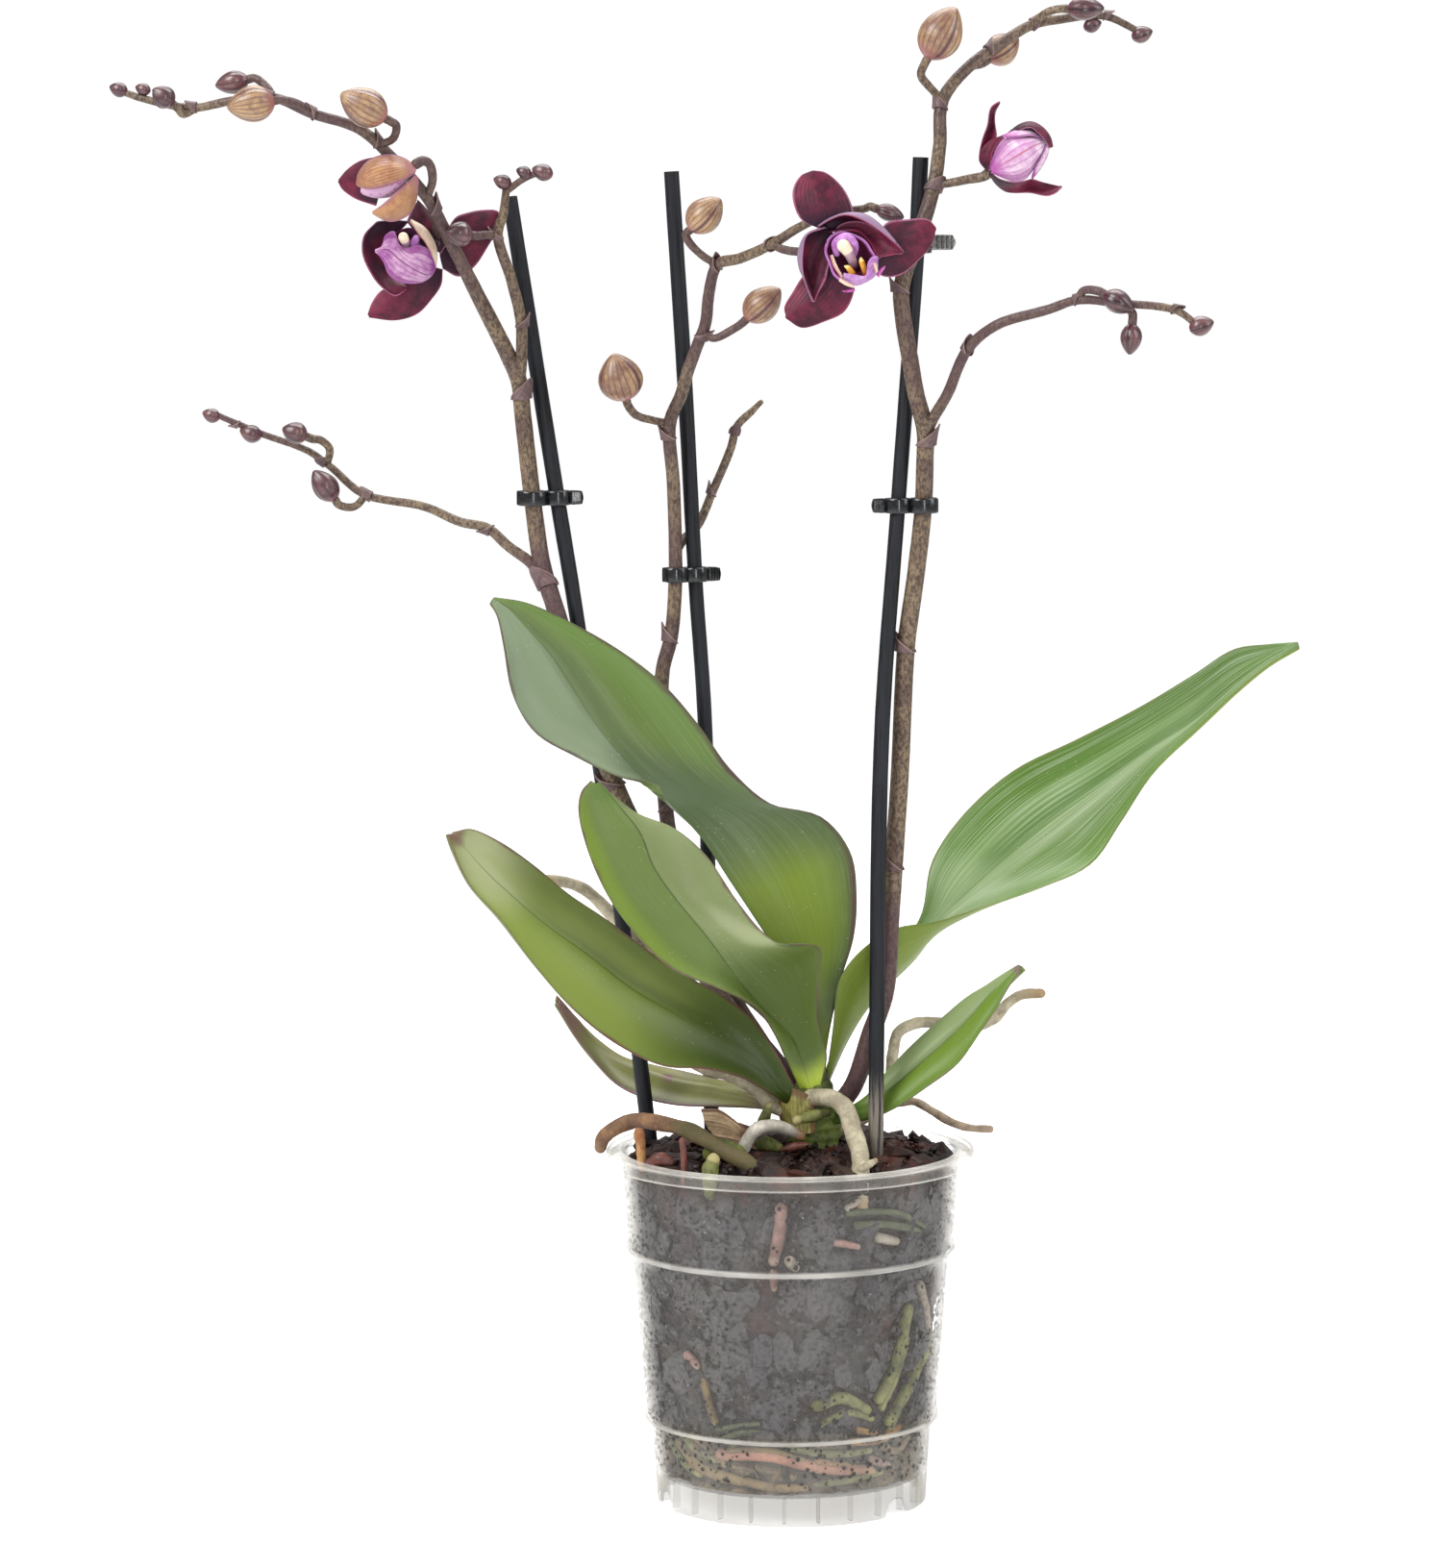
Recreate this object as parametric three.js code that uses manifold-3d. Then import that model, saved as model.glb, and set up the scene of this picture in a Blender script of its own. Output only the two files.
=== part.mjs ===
// A moth orchid in a clear plastic pot, in millimetres, +Z up.
//
// The plant's points are given about the pot's axis, from the surface that the
// pot stands on, with the front towards -Y. The last lines move the whole group
// so that its origin is the middle of the bottom of its box.

import * as THREE from 'three';
import Module from 'manifold-3d';
import { mergeVertices } from 'three/addons/utils/BufferGeometryUtils.js';

const wasm = await Module();
wasm.setup();

// ---------------------------------------------------------------- sizes, mm

const GAP = 0.3;
const FACET_TOLERANCE = 0.05;

const POT = {
  height: 116,
  rimRadius: 60,
  rimDepth: 4.2,
  rimSheet: 1.2,
  wall: 0.9,
  floor: 9,
  floorSheet: 1.1,
  sides: 30,
};
// Outer wall of the three tiers, as [radius, height] from the foot up.
const FOOT_TIER = [[44, 0], [46, 26.8]];
const MIDDLE_TIER = [[47.6, 28], [51.8, 82.2]];
const TOP_TIER = [[53.2, 83.8], [54.9, 111]];
const RING = { proud: 0.7, tall: 1 };
const FOOT_NOTCH = { turns: [-70, 50, 170], top: 5.5, width: 12, taper: 0.6 };
const FOOT_RIB = { count: 10, deep: 2.6, thick: 1, from: 0.4 };
const DRAIN_HOLE = { count: 6, ring: 29, radius: 4, sides: 8 };

const BARK = {
  edge: 113.2,
  heap: 5,
  rings: 2,
  lump: 1.3,
  chips: 9,
  chipReach: 42,
  chipLong: [14, 24],
  chipWide: [9, 15],
  chipThick: [4, 7],
  clearOfWall: 0.5,
};

const STICK = { radius: 2.5, sides: 8, steps: 5 };
const CLIP = { tall: 4.8, sheet: 1.3, play: 0.8, tab: 4.5, arc: 4 };
const LEAF = { rib: 2.4, margin: 1.1, dome: 0.13, half: 2 };
const PETAL = { thick: 0.9, steps: 4, half: 2, throat: 1.5 };
const BUD = { sides: 6, keel: 0.05, foot: 0.35 };
const FURLED_FOOT = 4.4;
const LIP = { wall: 0.9, sides: 10, off: 1.4 };
const COLUMN = { sides: 6, steps: 5 };
const STEM_SIDES = 6;
const STALK = { radius: 1.3, sides: 4, steps: 3 };
const NODE_SCALE = { long: 8, over: 1.45, sides: 3, lift: 0.35 };
const ROOT_SIDES = 5;
const WALL_ROOT = { radius: 2.1, clear: 0.55, sides: 7, stepTurn: 12 };

// ---------------------------------------------------------------- routes, mm

// Each stick from its top to its foot near the pot's floor.
const STICKS = {
  stick_left: [[-90, 38, 425], [-75, 28.5, 327], [-69, 25, 289], [-55, 19, 191], [-47, 16, 124], [-36, 13, 22]],
  stick_middle: [[-37, 41, 433], [-33, 39, 363], [-30, 37, 300], [-27, 35, 249], [-26, 36, 134], [-23, 31, 22]],
  stick_right: [[43, -6, 437], [41.7, -6.7, 409], [35.4, -9.3, 326], [30, -12, 254], [28, -15, 160], [27, -16, 22]],
};

// Flower stems. Each radius list runs along its stem from 0 to 1.
const STEMS = {
  spike_left: [
    {
      route: [
        [5, 4, 131], [-7, 8, 146], [-23, 13, 164], [-41, 15, 201], [-56, 16, 232], [-67, 17, 264],
        [-76, 21, 292], [-80, 25, 305], [-83, 27, 326], [-86, 26, 355], [-87, 25, 365], [-90, 22, 373],
        [-99, 14, 392], [-108, 6, 411], [-115, 0, 425], [-127, -5, 439], [-136, -8, 447],
        [-151, -10, 452], [-163, -10, 457], [-177, -9, 456], [-189, -7, 454], [-205, -4, 457],
        [-211, -2, 459],
      ],
      radius: [[0, 3.3], [0.5, 2.7], [0.62, 1.9], [0.8, 1.6], [1, 1.1]],
      steps: 24,
    },
    {
      route: [
        [-87, 25, 364], [-86, 21, 374], [-86, 19, 385], [-89, 15, 399], [-93, 12, 413],
        [-91, 11, 420], [-90, 9, 428],
      ],
      radius: [[0, 2], [0.7, 1.7], [1, 1.2]],
      steps: 7,
    },
    { route: [[-90, 9, 427], [-84, 6, 431], [-79, 5, 433]], radius: [[0, 1.2], [1, 1]], steps: 3 },
    {
      route: [
        [-80, 25, 301], [-84, 26, 306], [-91, 28, 311], [-98, 30, 317], [-107, 32, 319],
        [-119, 35, 324], [-139, 38, 328], [-150, 40, 337], [-157, 41, 342], [-173, 42, 348],
        [-187, 42, 354],
      ],
      radius: [[0, 1.9], [0.5, 1.4], [1, 1]],
      steps: 12,
    },
  ],
  spike_middle: [
    {
      route: [
        [4, 11, 130], [-9, 18, 148], [-25, 22, 174], [-36, 26, 203], [-40, 28, 223], [-41, 31, 250],
        [-41, 33, 269], [-38, 34, 281], [-36.5, 35, 300], [-36.5, 35, 312], [-37, 33, 332],
        [-38, 30, 351], [-34, 28, 361], [-32, 27, 368], [-29, 26, 376], [-26, 24, 384],
        [-25, 20, 393], [-22, 13, 403], [-15, 6, 405], [-4, -5, 410], [4, -12, 415],
        [13, -17, 419], [25, -20, 421],
      ],
      radius: [[0, 2.7], [0.45, 2.2], [0.8, 1.8], [1, 1.2]],
      steps: 24,
    },
    {
      route: [
        [-36.5, 35, 308], [-34, 41, 312], [-29, 44, 317], [-24, 46, 328], [-18, 48, 342],
        [-16, 49, 349], [-11, 50, 354], [-8, 50, 357],
      ],
      radius: [[0, 1.6], [0.8, 1.3], [1, 0.8]],
      steps: 7,
    },
  ],
  spike_right: [
    {
      route: [
        [15, 2, 128], [21, -1, 137], [26, -5, 153], [31, -7.5, 169], [32.5, -7, 191], [34, -6, 211],
        [36, -6, 241], [38, -8, 281], [41, -9, 303], [43.5, -9, 325], [44, -11, 340],
        [44, -13, 350], [41, -15, 362], [39, -15, 374], [37, -15, 386], [36.5, -15, 396],
        [40, -15, 407], [44, -14, 418], [47, -12, 428], [49, -9, 441], [50, -6, 455],
        [59, -1, 466], [69, 4, 473], [79, 8, 479], [89, 11, 481], [103, 14, 482], [114, 14, 477],
      ],
      radius: [[0, 3.2], [0.4, 2.8], [0.6, 2.6], [0.75, 2.1], [0.9, 1.6], [1, 1.1]],
      steps: 28,
    },
    {
      route: [
        [44, -13, 349], [47, -15, 355], [51, -18, 362], [57, -23, 376], [66, -28, 384],
        [82, -35, 389], [91, -38, 392], [104, -42, 391], [121, -47, 389], [127, -49, 385],
      ],
      radius: [[0, 1.9], [0.5, 1.6], [1, 1.1]],
      steps: 11,
    },
  ],
};

// Scale leaves clasp each stem's nodes: where it sits, and which way it points.
const NODE_SCALES = {
  spike_left: [
    [[-79, 25, 299], [-0.6, 0.1, 1]], [[-87, 25, 361], [0.2, -0.3, 1]], [[-114, 1, 422], [0.1, -0.2, 1]],
    [[-131, -6, 443], [0.2, 0, 1]], [[-86, 19, 384], [0.2, -0.2, 1]], [[-98, 30, 317], [-1, 0.2, 0.6]],
    [[-138, 38, 328], [-1, 0, 0.6]],
  ],
  spike_middle: [
    [[-38, 34, 280], [-0.1, 0.1, 1]], [[-38, 31, 348], [-1, 0, 0.6]], [[-27, 25, 379], [1, -0.2, 0.5]],
    [[-22, 13, 402], [-0.8, 0, 1]], [[-24, 46, 327], [0.4, 0.1, 1]],
  ],
  spike_right: [
    [[34, -6, 210], [0.1, 0, 1]], [[37.5, -8, 279], [-0.1, 0, 1]], [[44, -12.5, 347], [0.8, -0.4, 1]],
    [[50, -6.5, 453], [-0.6, 0, 1]], [[66, 3, 471], [0.4, 0.5, 1]], [[57, -23, 376], [0.5, -0.2, 1]],
  ],
};

// Unopened buds at the tips, grown into their stems: centre and radius.
const TIP_BUDS = {
  spike_left: [
    [[-213, -2, 460], 2.6], [[-205, -4, 460], 2.2], [[-200, -3, 459], 2], [[-91, 8, 430], 2.6],
    [[-84, 5, 433], 2.2], [[-78, 5, 433], 3], [[-189, 42, 354], 2.6], [[-176, 41, 348], 3.2],
  ],
  spike_middle: [],
  spike_right: [[[99, 14, 479], 2.6], [[115, 14, 476], 3], [[129, -49.5, 384], 3.4]],
};

// Buds on stalks: the stalk's route off its stem, and the bud from base to tip.
const BUDS = {
  bud_left_1: { stem: 'spike_left', stalk: [[-188, -7, 454], [-192, -8, 452]], base: [-195, -9, 455], tip: [-201, -12, 460], width: 7.5 },
  bud_left_2: { stem: 'spike_left', stalk: [[-163, -10, 457], [-165, -8, 460]], base: [-171, -5, 463], tip: [-182, -3, 461], width: 7.5 },
  bud_left_3: { stem: 'spike_left', stalk: [[-151, -10, 452], [-155, -13, 455]], base: [-162, -16, 456], tip: [-177, -19, 454], width: 12 },
  bud_left_4: { stem: 'spike_left', stalk: [[-130, -6, 442], [-125, -10, 444], [-124, -12, 448]], base: [-127, -14, 450], tip: [-141, -18, 458], width: 12.6 },
  bud_left_shoot: { stem: 'spike_left', stalk: [[-93, 12, 413], [-97, 8, 413]], base: [-101, 4, 413], tip: [-109, -1, 414], width: 8.2 },
  bud_branch_left_1: { stem: 'spike_left', stalk: [[-151, 40, 338], [-150, 38, 343], [-153, 36, 346]], base: [-157, 35, 347], tip: [-165, 33, 350], width: 7.5 },
  bud_branch_left_2: { stem: 'spike_left', stalk: [[-138, 38, 328], [-142, 37, 324]], base: [-148, 36, 326], tip: [-155, 34, 336], width: 8.6 },
  bud_middle_1: { stem: 'spike_middle', stalk: [[-38, 31, 351], [-43, 29, 352], [-49, 26, 354]], base: [-52, 24, 359], tip: [-56, 18, 374], width: 15 },
  bud_middle_2: { stem: 'spike_middle', stalk: [[-22, 13, 403], [-27, 12, 406], [-31, 12, 410]], base: [-31, 12, 414], tip: [-21, 8, 424], width: 11.6 },
  bud_middle_3: { stem: 'spike_middle', stalk: [[-26, 24, 380], [-23, 21, 379], [-17, 19, 382]], base: [-13, 18, 385], tip: [-2, 14, 395], width: 11.4 },
  bud_middle_4: { stem: 'spike_middle', stalk: [[20, -19, 420], [25, -20, 421]], base: [28, -21, 421], tip: [37, -23, 418], width: 5.6 },
  bud_right_1: { stem: 'spike_right', stalk: [[50, -6, 455], [46, -9, 459], [43, -10, 463]], base: [45, -11, 468], tip: [54, -13, 484], width: 14.4 },
  bud_right_2: { stem: 'spike_right', stalk: [[57, -1, 465], [60, 5, 466]], base: [65, 8, 468], tip: [75, 11, 475], width: 10.6 },
  bud_right_3: { stem: 'spike_right', stalk: [[79, 8, 479], [84, 4, 483]], base: [90, 2, 484], tip: [102, 1, 484], width: 7.8 },
  bud_branch_right_1: { stem: 'spike_right', stalk: [[91, -38, 392], [93, -39, 395]], base: [99, -42, 394], tip: [108, -46, 389], width: 7.6 },
  bud_branch_right_2: { stem: 'spike_right', stalk: [[104, -42, 391], [108, -43, 388]], base: [108, -43, 385], tip: [107, -44, 375], width: 7 },
};

// Leaves as three lines from base to tip: one margin, the rib, the other margin.
const LEAVES = {
  leaf_1: {
    left: [
      [6, 6, 139], [4, 10, 154], [2, 16, 165], [2, 20, 178], [0, 24, 188], [-9, 26, 204], [-22, 22, 218],
      [-41, 8, 234], [-55, 0, 238], [-69, -3, 245], [-82, -4, 253], [-89, -3, 265], [-92, 0, 281],
      [-94, 4, 290], [-96, 6, 294],
    ],
    rib: [
      [9, 3, 139], [7, 3, 153], [3, 4, 167], [-4, 5, 180], [-11, 6, 191], [-19, 7, 203], [-29, 7, 218],
      [-42, 6, 231], [-53, 6, 242], [-62, 6, 253], [-70, 6, 266], [-77, 6, 277], [-85, 6, 286],
      [-91, 7, 292], [-96, 7, 295],
    ],
    right: [
      [11, 4, 139], [13, 4, 153], [17, 3, 171], [21, 0, 185], [22, -1, 199], [20, 0, 213], [11, 3, 224],
      [-6, 10, 228], [-19, 15, 239], [-29, 17, 253], [-41, 17, 267], [-55, 16, 278], [-72, 14, 288],
      [-85, 11, 294], [-95, 8, 296],
    ],
  },
  leaf_2: {
    left: [
      [3, -2, 136], [-1, -6, 145], [-5, -12, 155], [-11, -20, 165], [-24, -28, 173], [-38, -36, 180],
      [-50, -42, 193], [-58, -45, 205], [-64, -46, 219], [-67, -45, 232], [-66, -42, 238], [-63, -40, 241],
    ],
    rib: [
      [7, -3, 135], [4, -4, 144], [1, -5, 152], [-7, -8, 160], [-17, -12, 173], [-27, -18, 188],
      [-37, -24, 201], [-44, -28, 212], [-48, -31, 223], [-53, -33, 230], [-57, -35, 235], [-61, -38, 240],
    ],
    right: [
      [10, -3, 136], [12, -5, 147], [9, -9, 160], [9, -14, 178], [3, -16, 185], [-8, -14, 188],
      [-17, -12, 199], [-27, -13, 214], [-37, -16, 223], [-48, -20, 228], [-55, -27, 234], [-60, -35, 239],
    ],
  },
  leaf_3: {
    left: [
      [-1, -6, 131], [-7, -12, 136], [-15, -20, 142], [-27, -31, 147], [-41, -43, 150], [-56, -53, 159],
      [-69, -60, 171], [-81, -64, 186], [-91, -65, 200], [-101, -62, 211], [-106, -58, 221], [-108, -54, 226],
    ],
    rib: [
      [3, -5, 131], [-3, -9, 136], [-10, -12, 144], [-22, -18, 153], [-36, -25, 163], [-51, -32, 173],
      [-65, -38, 185], [-78, -42, 195], [-89, -45, 205], [-97, -47, 213], [-103, -48, 220], [-107, -51, 225],
    ],
    right: [
      [5, -5, 132], [1, -8, 138], [-4, -9, 148], [-14, -10, 162], [-29, -12, 172], [-44, -15, 182],
      [-59, -19, 194], [-71, -24, 203], [-82, -29, 213], [-92, -35, 221], [-101, -41, 226], [-106, -48, 226],
    ],
  },
  leaf_4: {
    left: [
      [1, 6, 127], [-13, 13, 127], [-26, 16, 127], [-37, 19, 127], [-48, 22, 129], [-57, 26, 133],
      [-65, 31, 141], [-71, 36, 148], [-77, 42, 157],
    ],
    rib: [
      [2, 8, 127], [-13, 17, 130], [-25, 23, 132], [-36, 28, 133], [-47, 33, 136], [-56, 37, 139],
      [-64, 41, 144], [-70, 43, 151], [-77, 44, 158],
    ],
    right: [
      [3, 10, 128], [-11, 20, 133], [-22, 27, 134], [-35, 34, 136], [-45, 41, 137], [-55, 46, 139],
      [-63, 49, 144], [-70, 48, 151], [-77, 45, 160],
    ],
  },
  leaf_5: {
    left: [
      [10, 6, 136], [15, 14, 148], [19, 19, 159], [27, 23, 167], [37, 27, 178], [44, 32, 188], [48, 40, 205],
      [59, 47, 220], [76, 52, 234], [97, 54, 244], [118, 52, 255], [135, 46, 266], [148, 40, 275],
      [159, 35, 277], [168, 31, 278],
    ],
    rib: [
      [11, 4, 136], [17, 6, 149], [23, 8, 159], [30, 11, 167], [40, 15, 176], [49, 19, 187], [60, 23, 197],
      [73, 27, 208], [87, 30, 219], [103, 32, 230], [120, 33, 242], [134, 33, 251], [148, 32, 263],
      [158, 31, 271], [168, 30, 277],
    ],
    right: [
      [12, 1, 139], [14, -1, 155], [16, -3, 171], [22, -3, 180], [34, -2, 188], [48, 1, 190], [66, 5, 195],
      [83, 9, 200], [99, 13, 207], [109, 18, 220], [120, 23, 236], [135, 27, 250], [149, 29, 263],
      [159, 29, 271], [168, 29, 276],
    ],
  },
  leaf_6: {
    left: [
      [15, -3, 124], [26, -11, 127], [34, -14, 131], [44, -16, 138], [54, -18, 146], [61, -19, 156],
      [67, -19, 165], [71, -19, 172], [74, -18, 176],
    ],
    rib: [
      [15, -2, 126], [25, -8, 130], [33, -8, 136], [42, -9, 144], [51, -10, 152], [59, -12, 160],
      [65, -13, 167], [70, -15, 172], [75, -17, 177],
    ],
    right: [
      [16, -1, 127], [25, -6, 134], [32, -4, 142], [40, -2, 150], [50, -2, 159], [58, -4, 166],
      [64, -7, 170], [69, -11, 174], [74, -16, 178],
    ],
  },
};

const CROWN = { at: [8, 2], profile: [[7, 104], [9, 116], [8.6, 124], [7, 133], [4.6, 141], [2, 145]], sides: 10 };
const DRY_SHEATH = {
  left: [[-3, -4, 124], [-4, -5, 130], [-3, -6, 136]],
  rib: [[2, -9, 122], [1, -9, 130], [1, -8, 137]],
  right: [[8, -9, 122], [8, -9, 129], [7, -8, 134]],
};

// Roots above the bark, from where they grow or dive in to their tips.
const ROOTS = {
  root_rim_left: { radius: 2.7, route: [[-8, -38, 107], [-12, -35, 115], [-23, -30, 121], [-32, -22, 125], [-41, -12, 126], [-51, -2, 125], [-57, 4, 122], [-63, 10, 118]] },
  root_grey: { radius: 3, route: [[7, -5, 133], [14, -13, 134], [18, -17, 131], [20, -20, 125], [22, -27, 119], [22, -38, 115], [22, -44, 110], [22, -44.5, 104]] },
  root_hook: { radius: 2.2, route: [[-17, -16, 106], [-16, -18, 113], [-15, -21, 120], [-11, -23, 126], [-6, -22, 127], [-1, -18, 125], [3, -13, 122]] },
  root_under_leaf: { radius: 2.4, route: [[4, -1, 126], [-5, -4, 130], [-11, -6, 136], [-19, -7, 141], [-26, -8, 143], [-31, -8, 145]] },
  root_left_aerial: { radius: 2.2, route: [[4, 8, 131], [-8, 12, 139], [-22, 20, 150], [-38, 27, 165], [-49, 29, 179], [-58, 28, 189], [-67, 25, 198], [-74, 22, 201], [-81, 19, 202]] },
  root_right_arch: { radius: 2, route: [[12, 6, 124], [24, 9, 127], [33, 12, 135], [34, 15, 144], [36, 17, 151], [42, 18, 154], [50, 18, 154], [59, 16, 153], [67, 13, 156], [71, 10, 161], [76, 6, 165], [82, 2, 166]] },
  root_rim_right: { radius: 1.5, route: [[14, 9, 118], [24, 15, 122], [33, 17, 127], [41, 17, 128], [47, 16, 125], [53, 15, 121.5], [59, 15, 119.5], [66, 15, 119]] },
};

// Roots that press against the wall inside, as [turn from the front in degrees, height].
const WALL_ROOTS = {
  wall_root_vertical: [[-4, 105], [-5, 96], [-7, 88]],
  wall_root_green_outer: [[74, 56], [62, 47], [52, 38], [44, 32]],
  wall_root_green_inner: [[52, 68], [49, 58], [44, 48], [38, 40]],
  wall_root_green_short: [[10, 40], [20, 42], [32, 37]],
  wall_root_pink: [[-33, 22], [-11, 23], [11, 19], [37, 16]],
  wall_root_olive: [[-58, 23], [-46, 17], [-36, 15], [-24, 14]],
};

// Each clip holds a stick and a stem at one height; open is the lever's side.
const CLIPS = {
  clip_left: { stick: 'stick_left', stem: 'spike_left', height: 327, stemRadius: 3.3 },
  clip_middle: { stick: 'stick_middle', stem: 'spike_middle', height: 301, stemRadius: 2.4 },
  clip_right: { stick: 'stick_right', stem: 'spike_right', height: 326, stemRadius: 3.1 },
  clip_top: { stick: 'stick_right', stem: 'spike_right', height: 409, stemRadius: 3.4 },
};

// Flowers: the point that the tepals spread from, the way the flower faces, and
// each tepal by its turn clockwise from up, its length, its width, its lean off
// the facing direction from base to tip, and how far its edges curl inwards.
const FLOWERS = {
  bloom_a: {
    stem: 'spike_left',
    stalk: [[-113, 2, 421], [-113, 9, 417], [-113, 15, 413]],
    at: [-114, 13, 410],
    facing: [-0.35, -0.93, -0.05],
    tepals: [
      { turn: 58, length: 25, width: 17, lean: [88, 108], cup: -0.15 },
      { turn: 140, length: 17, width: 14, lean: [88, 108], cup: -0.15 },
      { turn: 222, length: 29, width: 18, lean: [80, 88], cup: -0.1 },
      { turn: 282, length: 25, width: 19, lean: [84, 20], cup: 0.25 },
      { turn: 352, length: 19, width: 15, lean: [70, 40], cup: 0.2 },
    ],
    lip: { radius: 8.6, deep: 15, lean: [-0.55, -0.8, -0.2], squash: 0.8 },
    column: { long: 13, radius: 2.3, lift: 5 },
  },
  bloom_b: {
    stem: 'spike_middle',
    stalk: [[-5, -4, 410], [-1, -10, 408], [8, -18, 407], [16, -23, 407]],
    at: [20, -29, 407],
    facing: [0.05, -0.99, -0.05],
    tepals: [
      { turn: 338, length: 27, width: 18.5, lean: [84, 96], cup: -0.12 },
      { turn: 80, length: 28, width: 18, lean: [84, 90], cup: -0.12 },
      { turn: 214, length: 29, width: 17.5, lean: [84, 94], cup: -0.12 },
      { turn: 262, length: 25, width: 18, lean: [82, 24], cup: 0.22 },
      { turn: 36, length: 25, width: 18, lean: [82, 34], cup: 0.22 },
    ],
    lip: { radius: 8.6, deep: 11, lean: [0.22, -0.95, -0.2], squash: 1 },
    column: { long: 12, radius: 2.5, lift: 3.6 },
  },
};

// Half-open flowers: an inner body of furled petals, and the tepals round it.
const HALF_OPEN = {
  half_open_c: {
    stem: 'spike_right',
    stalk: [[47, -12, 428], [53, -14, 429], [58, -16, 430]],
    base: [64, -18, 432],
    tip: [82, -26, 448],
    width: 16,
    tepals: [
      { turn: 285, length: 26, width: 14, lean: [66, -4], cup: 0.3 },
      { turn: 120, length: 28, width: 14, lean: [74, 34], cup: 0.3 },
      { turn: 20, length: 27, width: 14, lean: [60, -6], cup: 0.4 },
    ],
  },
  half_open_d: {
    stem: 'spike_left',
    stalk: [[-115, 0, 425], [-113, -4, 431], [-114, -7, 436]],
    base: [-117.5, -9, 436],
    tip: [-135, -17, 427],
    width: 15,
    tepals: [
      { turn: 20, length: 23, width: 19, lean: [62, -22], cup: 0.45 },
      { turn: 150, length: 21, width: 16, lean: [66, -8], cup: 0.4 },
      { turn: 265, length: 27, width: 16, lean: [60, 4], cup: 0.35 },
    ],
  },
};

const COLOURS = {
  pot: [0xdfe3e4, 0.25],
  bark: [0x2a1a14, 0.9],
  crown: [0x8a9a3a, 0.5],
  leaf: [0x4f7a2c, 0.35],
  youngLeaf: [0x6d9236, 0.38],
  stick: [0x23272d, 0.5],
  clip: [0x14161a, 0.25],
  stem: [0x5d4740, 0.6],
  bud: [0x9a7d55, 0.5],
  tepal: [0x4d1026, 0.55],
  lip: [0xb45cae, 0.45],
  column: [0xefe6cf, 0.45],
  petal: [0xd3a0cf, 0.5],
  root: [0xa39c84, 0.75],
  wallRoot: [0x8c9447, 0.6],
  sheath: [0xa98a58, 0.8],
};

// ---------------------------------------------------------------- small maths

const vec = (point) => new THREE.Vector3(...point);
const smooth = (points) => new THREE.CatmullRomCurve3(points.map(vec), false, 'centripetal');
const mix = (a, b, t) => a + (b - a) * t;
const radians = THREE.MathUtils.degToRad;

// Reads a value off a list of [position, value] pairs in rising position.
function along(pairs, t) {
  for (let i = 1; i < pairs.length; i += 1) {
    if (t <= pairs[i][0]) {
      const [from, a] = pairs[i - 1];
      const [to, b] = pairs[i];
      return mix(a, b, (t - from) / (to - from));
    }
  }
  return pairs[pairs.length - 1][1];
}

// A repeatable random number source.
function seeded(seed) {
  let state = seed;
  return () => {
    state = (state * 1664525 + 1013904223) % 4294967296;
    return state / 4294967296;
  };
}

// The point of a route at one height.
function pointAtHeight(route, height) {
  const samples = smooth(route).getPoints(400);
  const off = (point) => Math.abs(point.z - height);
  return samples.reduce((best, point) => (off(point) < off(best) ? point : best));
}

// ---------------------------------------------------------------- solids

function solidFromGeometry(geometry) {
  const bare = new THREE.BufferGeometry();
  bare.setAttribute('position', geometry.getAttribute('position').clone());
  if (geometry.index) bare.setIndex(geometry.index.clone());
  const merged = mergeVertices(bare, 1e-4);
  const at = merged.getAttribute('position').array;
  const corners = [];
  const { array } = merged.index;
  for (let i = 0; i < array.length; i += 3) {
    const [a, b, c] = [array[i], array[i + 1], array[i + 2]];
    if (a !== b && b !== c && c !== a) corners.push(a, b, c);
  }
  if (signedVolume(at, corners) < 0) corners.reverse();
  const mesh = new wasm.Mesh({
    numProp: 3,
    vertProperties: new Float32Array(at),
    triVerts: new Uint32Array(corners),
  });
  const solid = new wasm.Manifold(mesh);
  if (solid.isEmpty()) throw new Error(`a solid of ${corners.length / 3} faces isn't closed`);
  return solid;
}

function signedVolume(at, corners) {
  let sum = 0;
  const corner = (i) => new THREE.Vector3().fromArray(at, 3 * corners[i]);
  for (let i = 0; i < corners.length; i += 3) {
    sum += corner(i).dot(corner(i + 1).cross(corner(i + 2)));
  }
  return sum;
}

function geometryFromSolid(solid) {
  const mesh = solid.getMesh();
  const geometry = new THREE.BufferGeometry();
  geometry.setAttribute('position', new THREE.BufferAttribute(Float32Array.from(mesh.vertProperties), 3));
  geometry.setIndex(new THREE.BufferAttribute(Uint32Array.from(mesh.triVerts), 1));
  geometry.computeVertexNormals();
  return geometry;
}

const fuse = (solids) => solids.reduce((whole, solid) => whole.add(solid));

// Cuts what stands in a piece's way, and drops the loose scraps.
function clearOf(solid, obstacles) {
  const cut = obstacles.reduce((rest, obstacle) => rest.subtract(obstacle), solid);
  const bodies = cut.simplify(FACET_TOLERANCE).decompose();
  return bodies.reduce((big, body) => (body.volume() > big.volume() ? body : big));
}

function geometryFrom(points, faces) {
  const geometry = new THREE.BufferGeometry();
  geometry.setAttribute('position', new THREE.Float32BufferAttribute(points.flatMap((p) => [p.x, p.y, p.z]), 3));
  geometry.setIndex(faces);
  return geometry;
}

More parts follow.
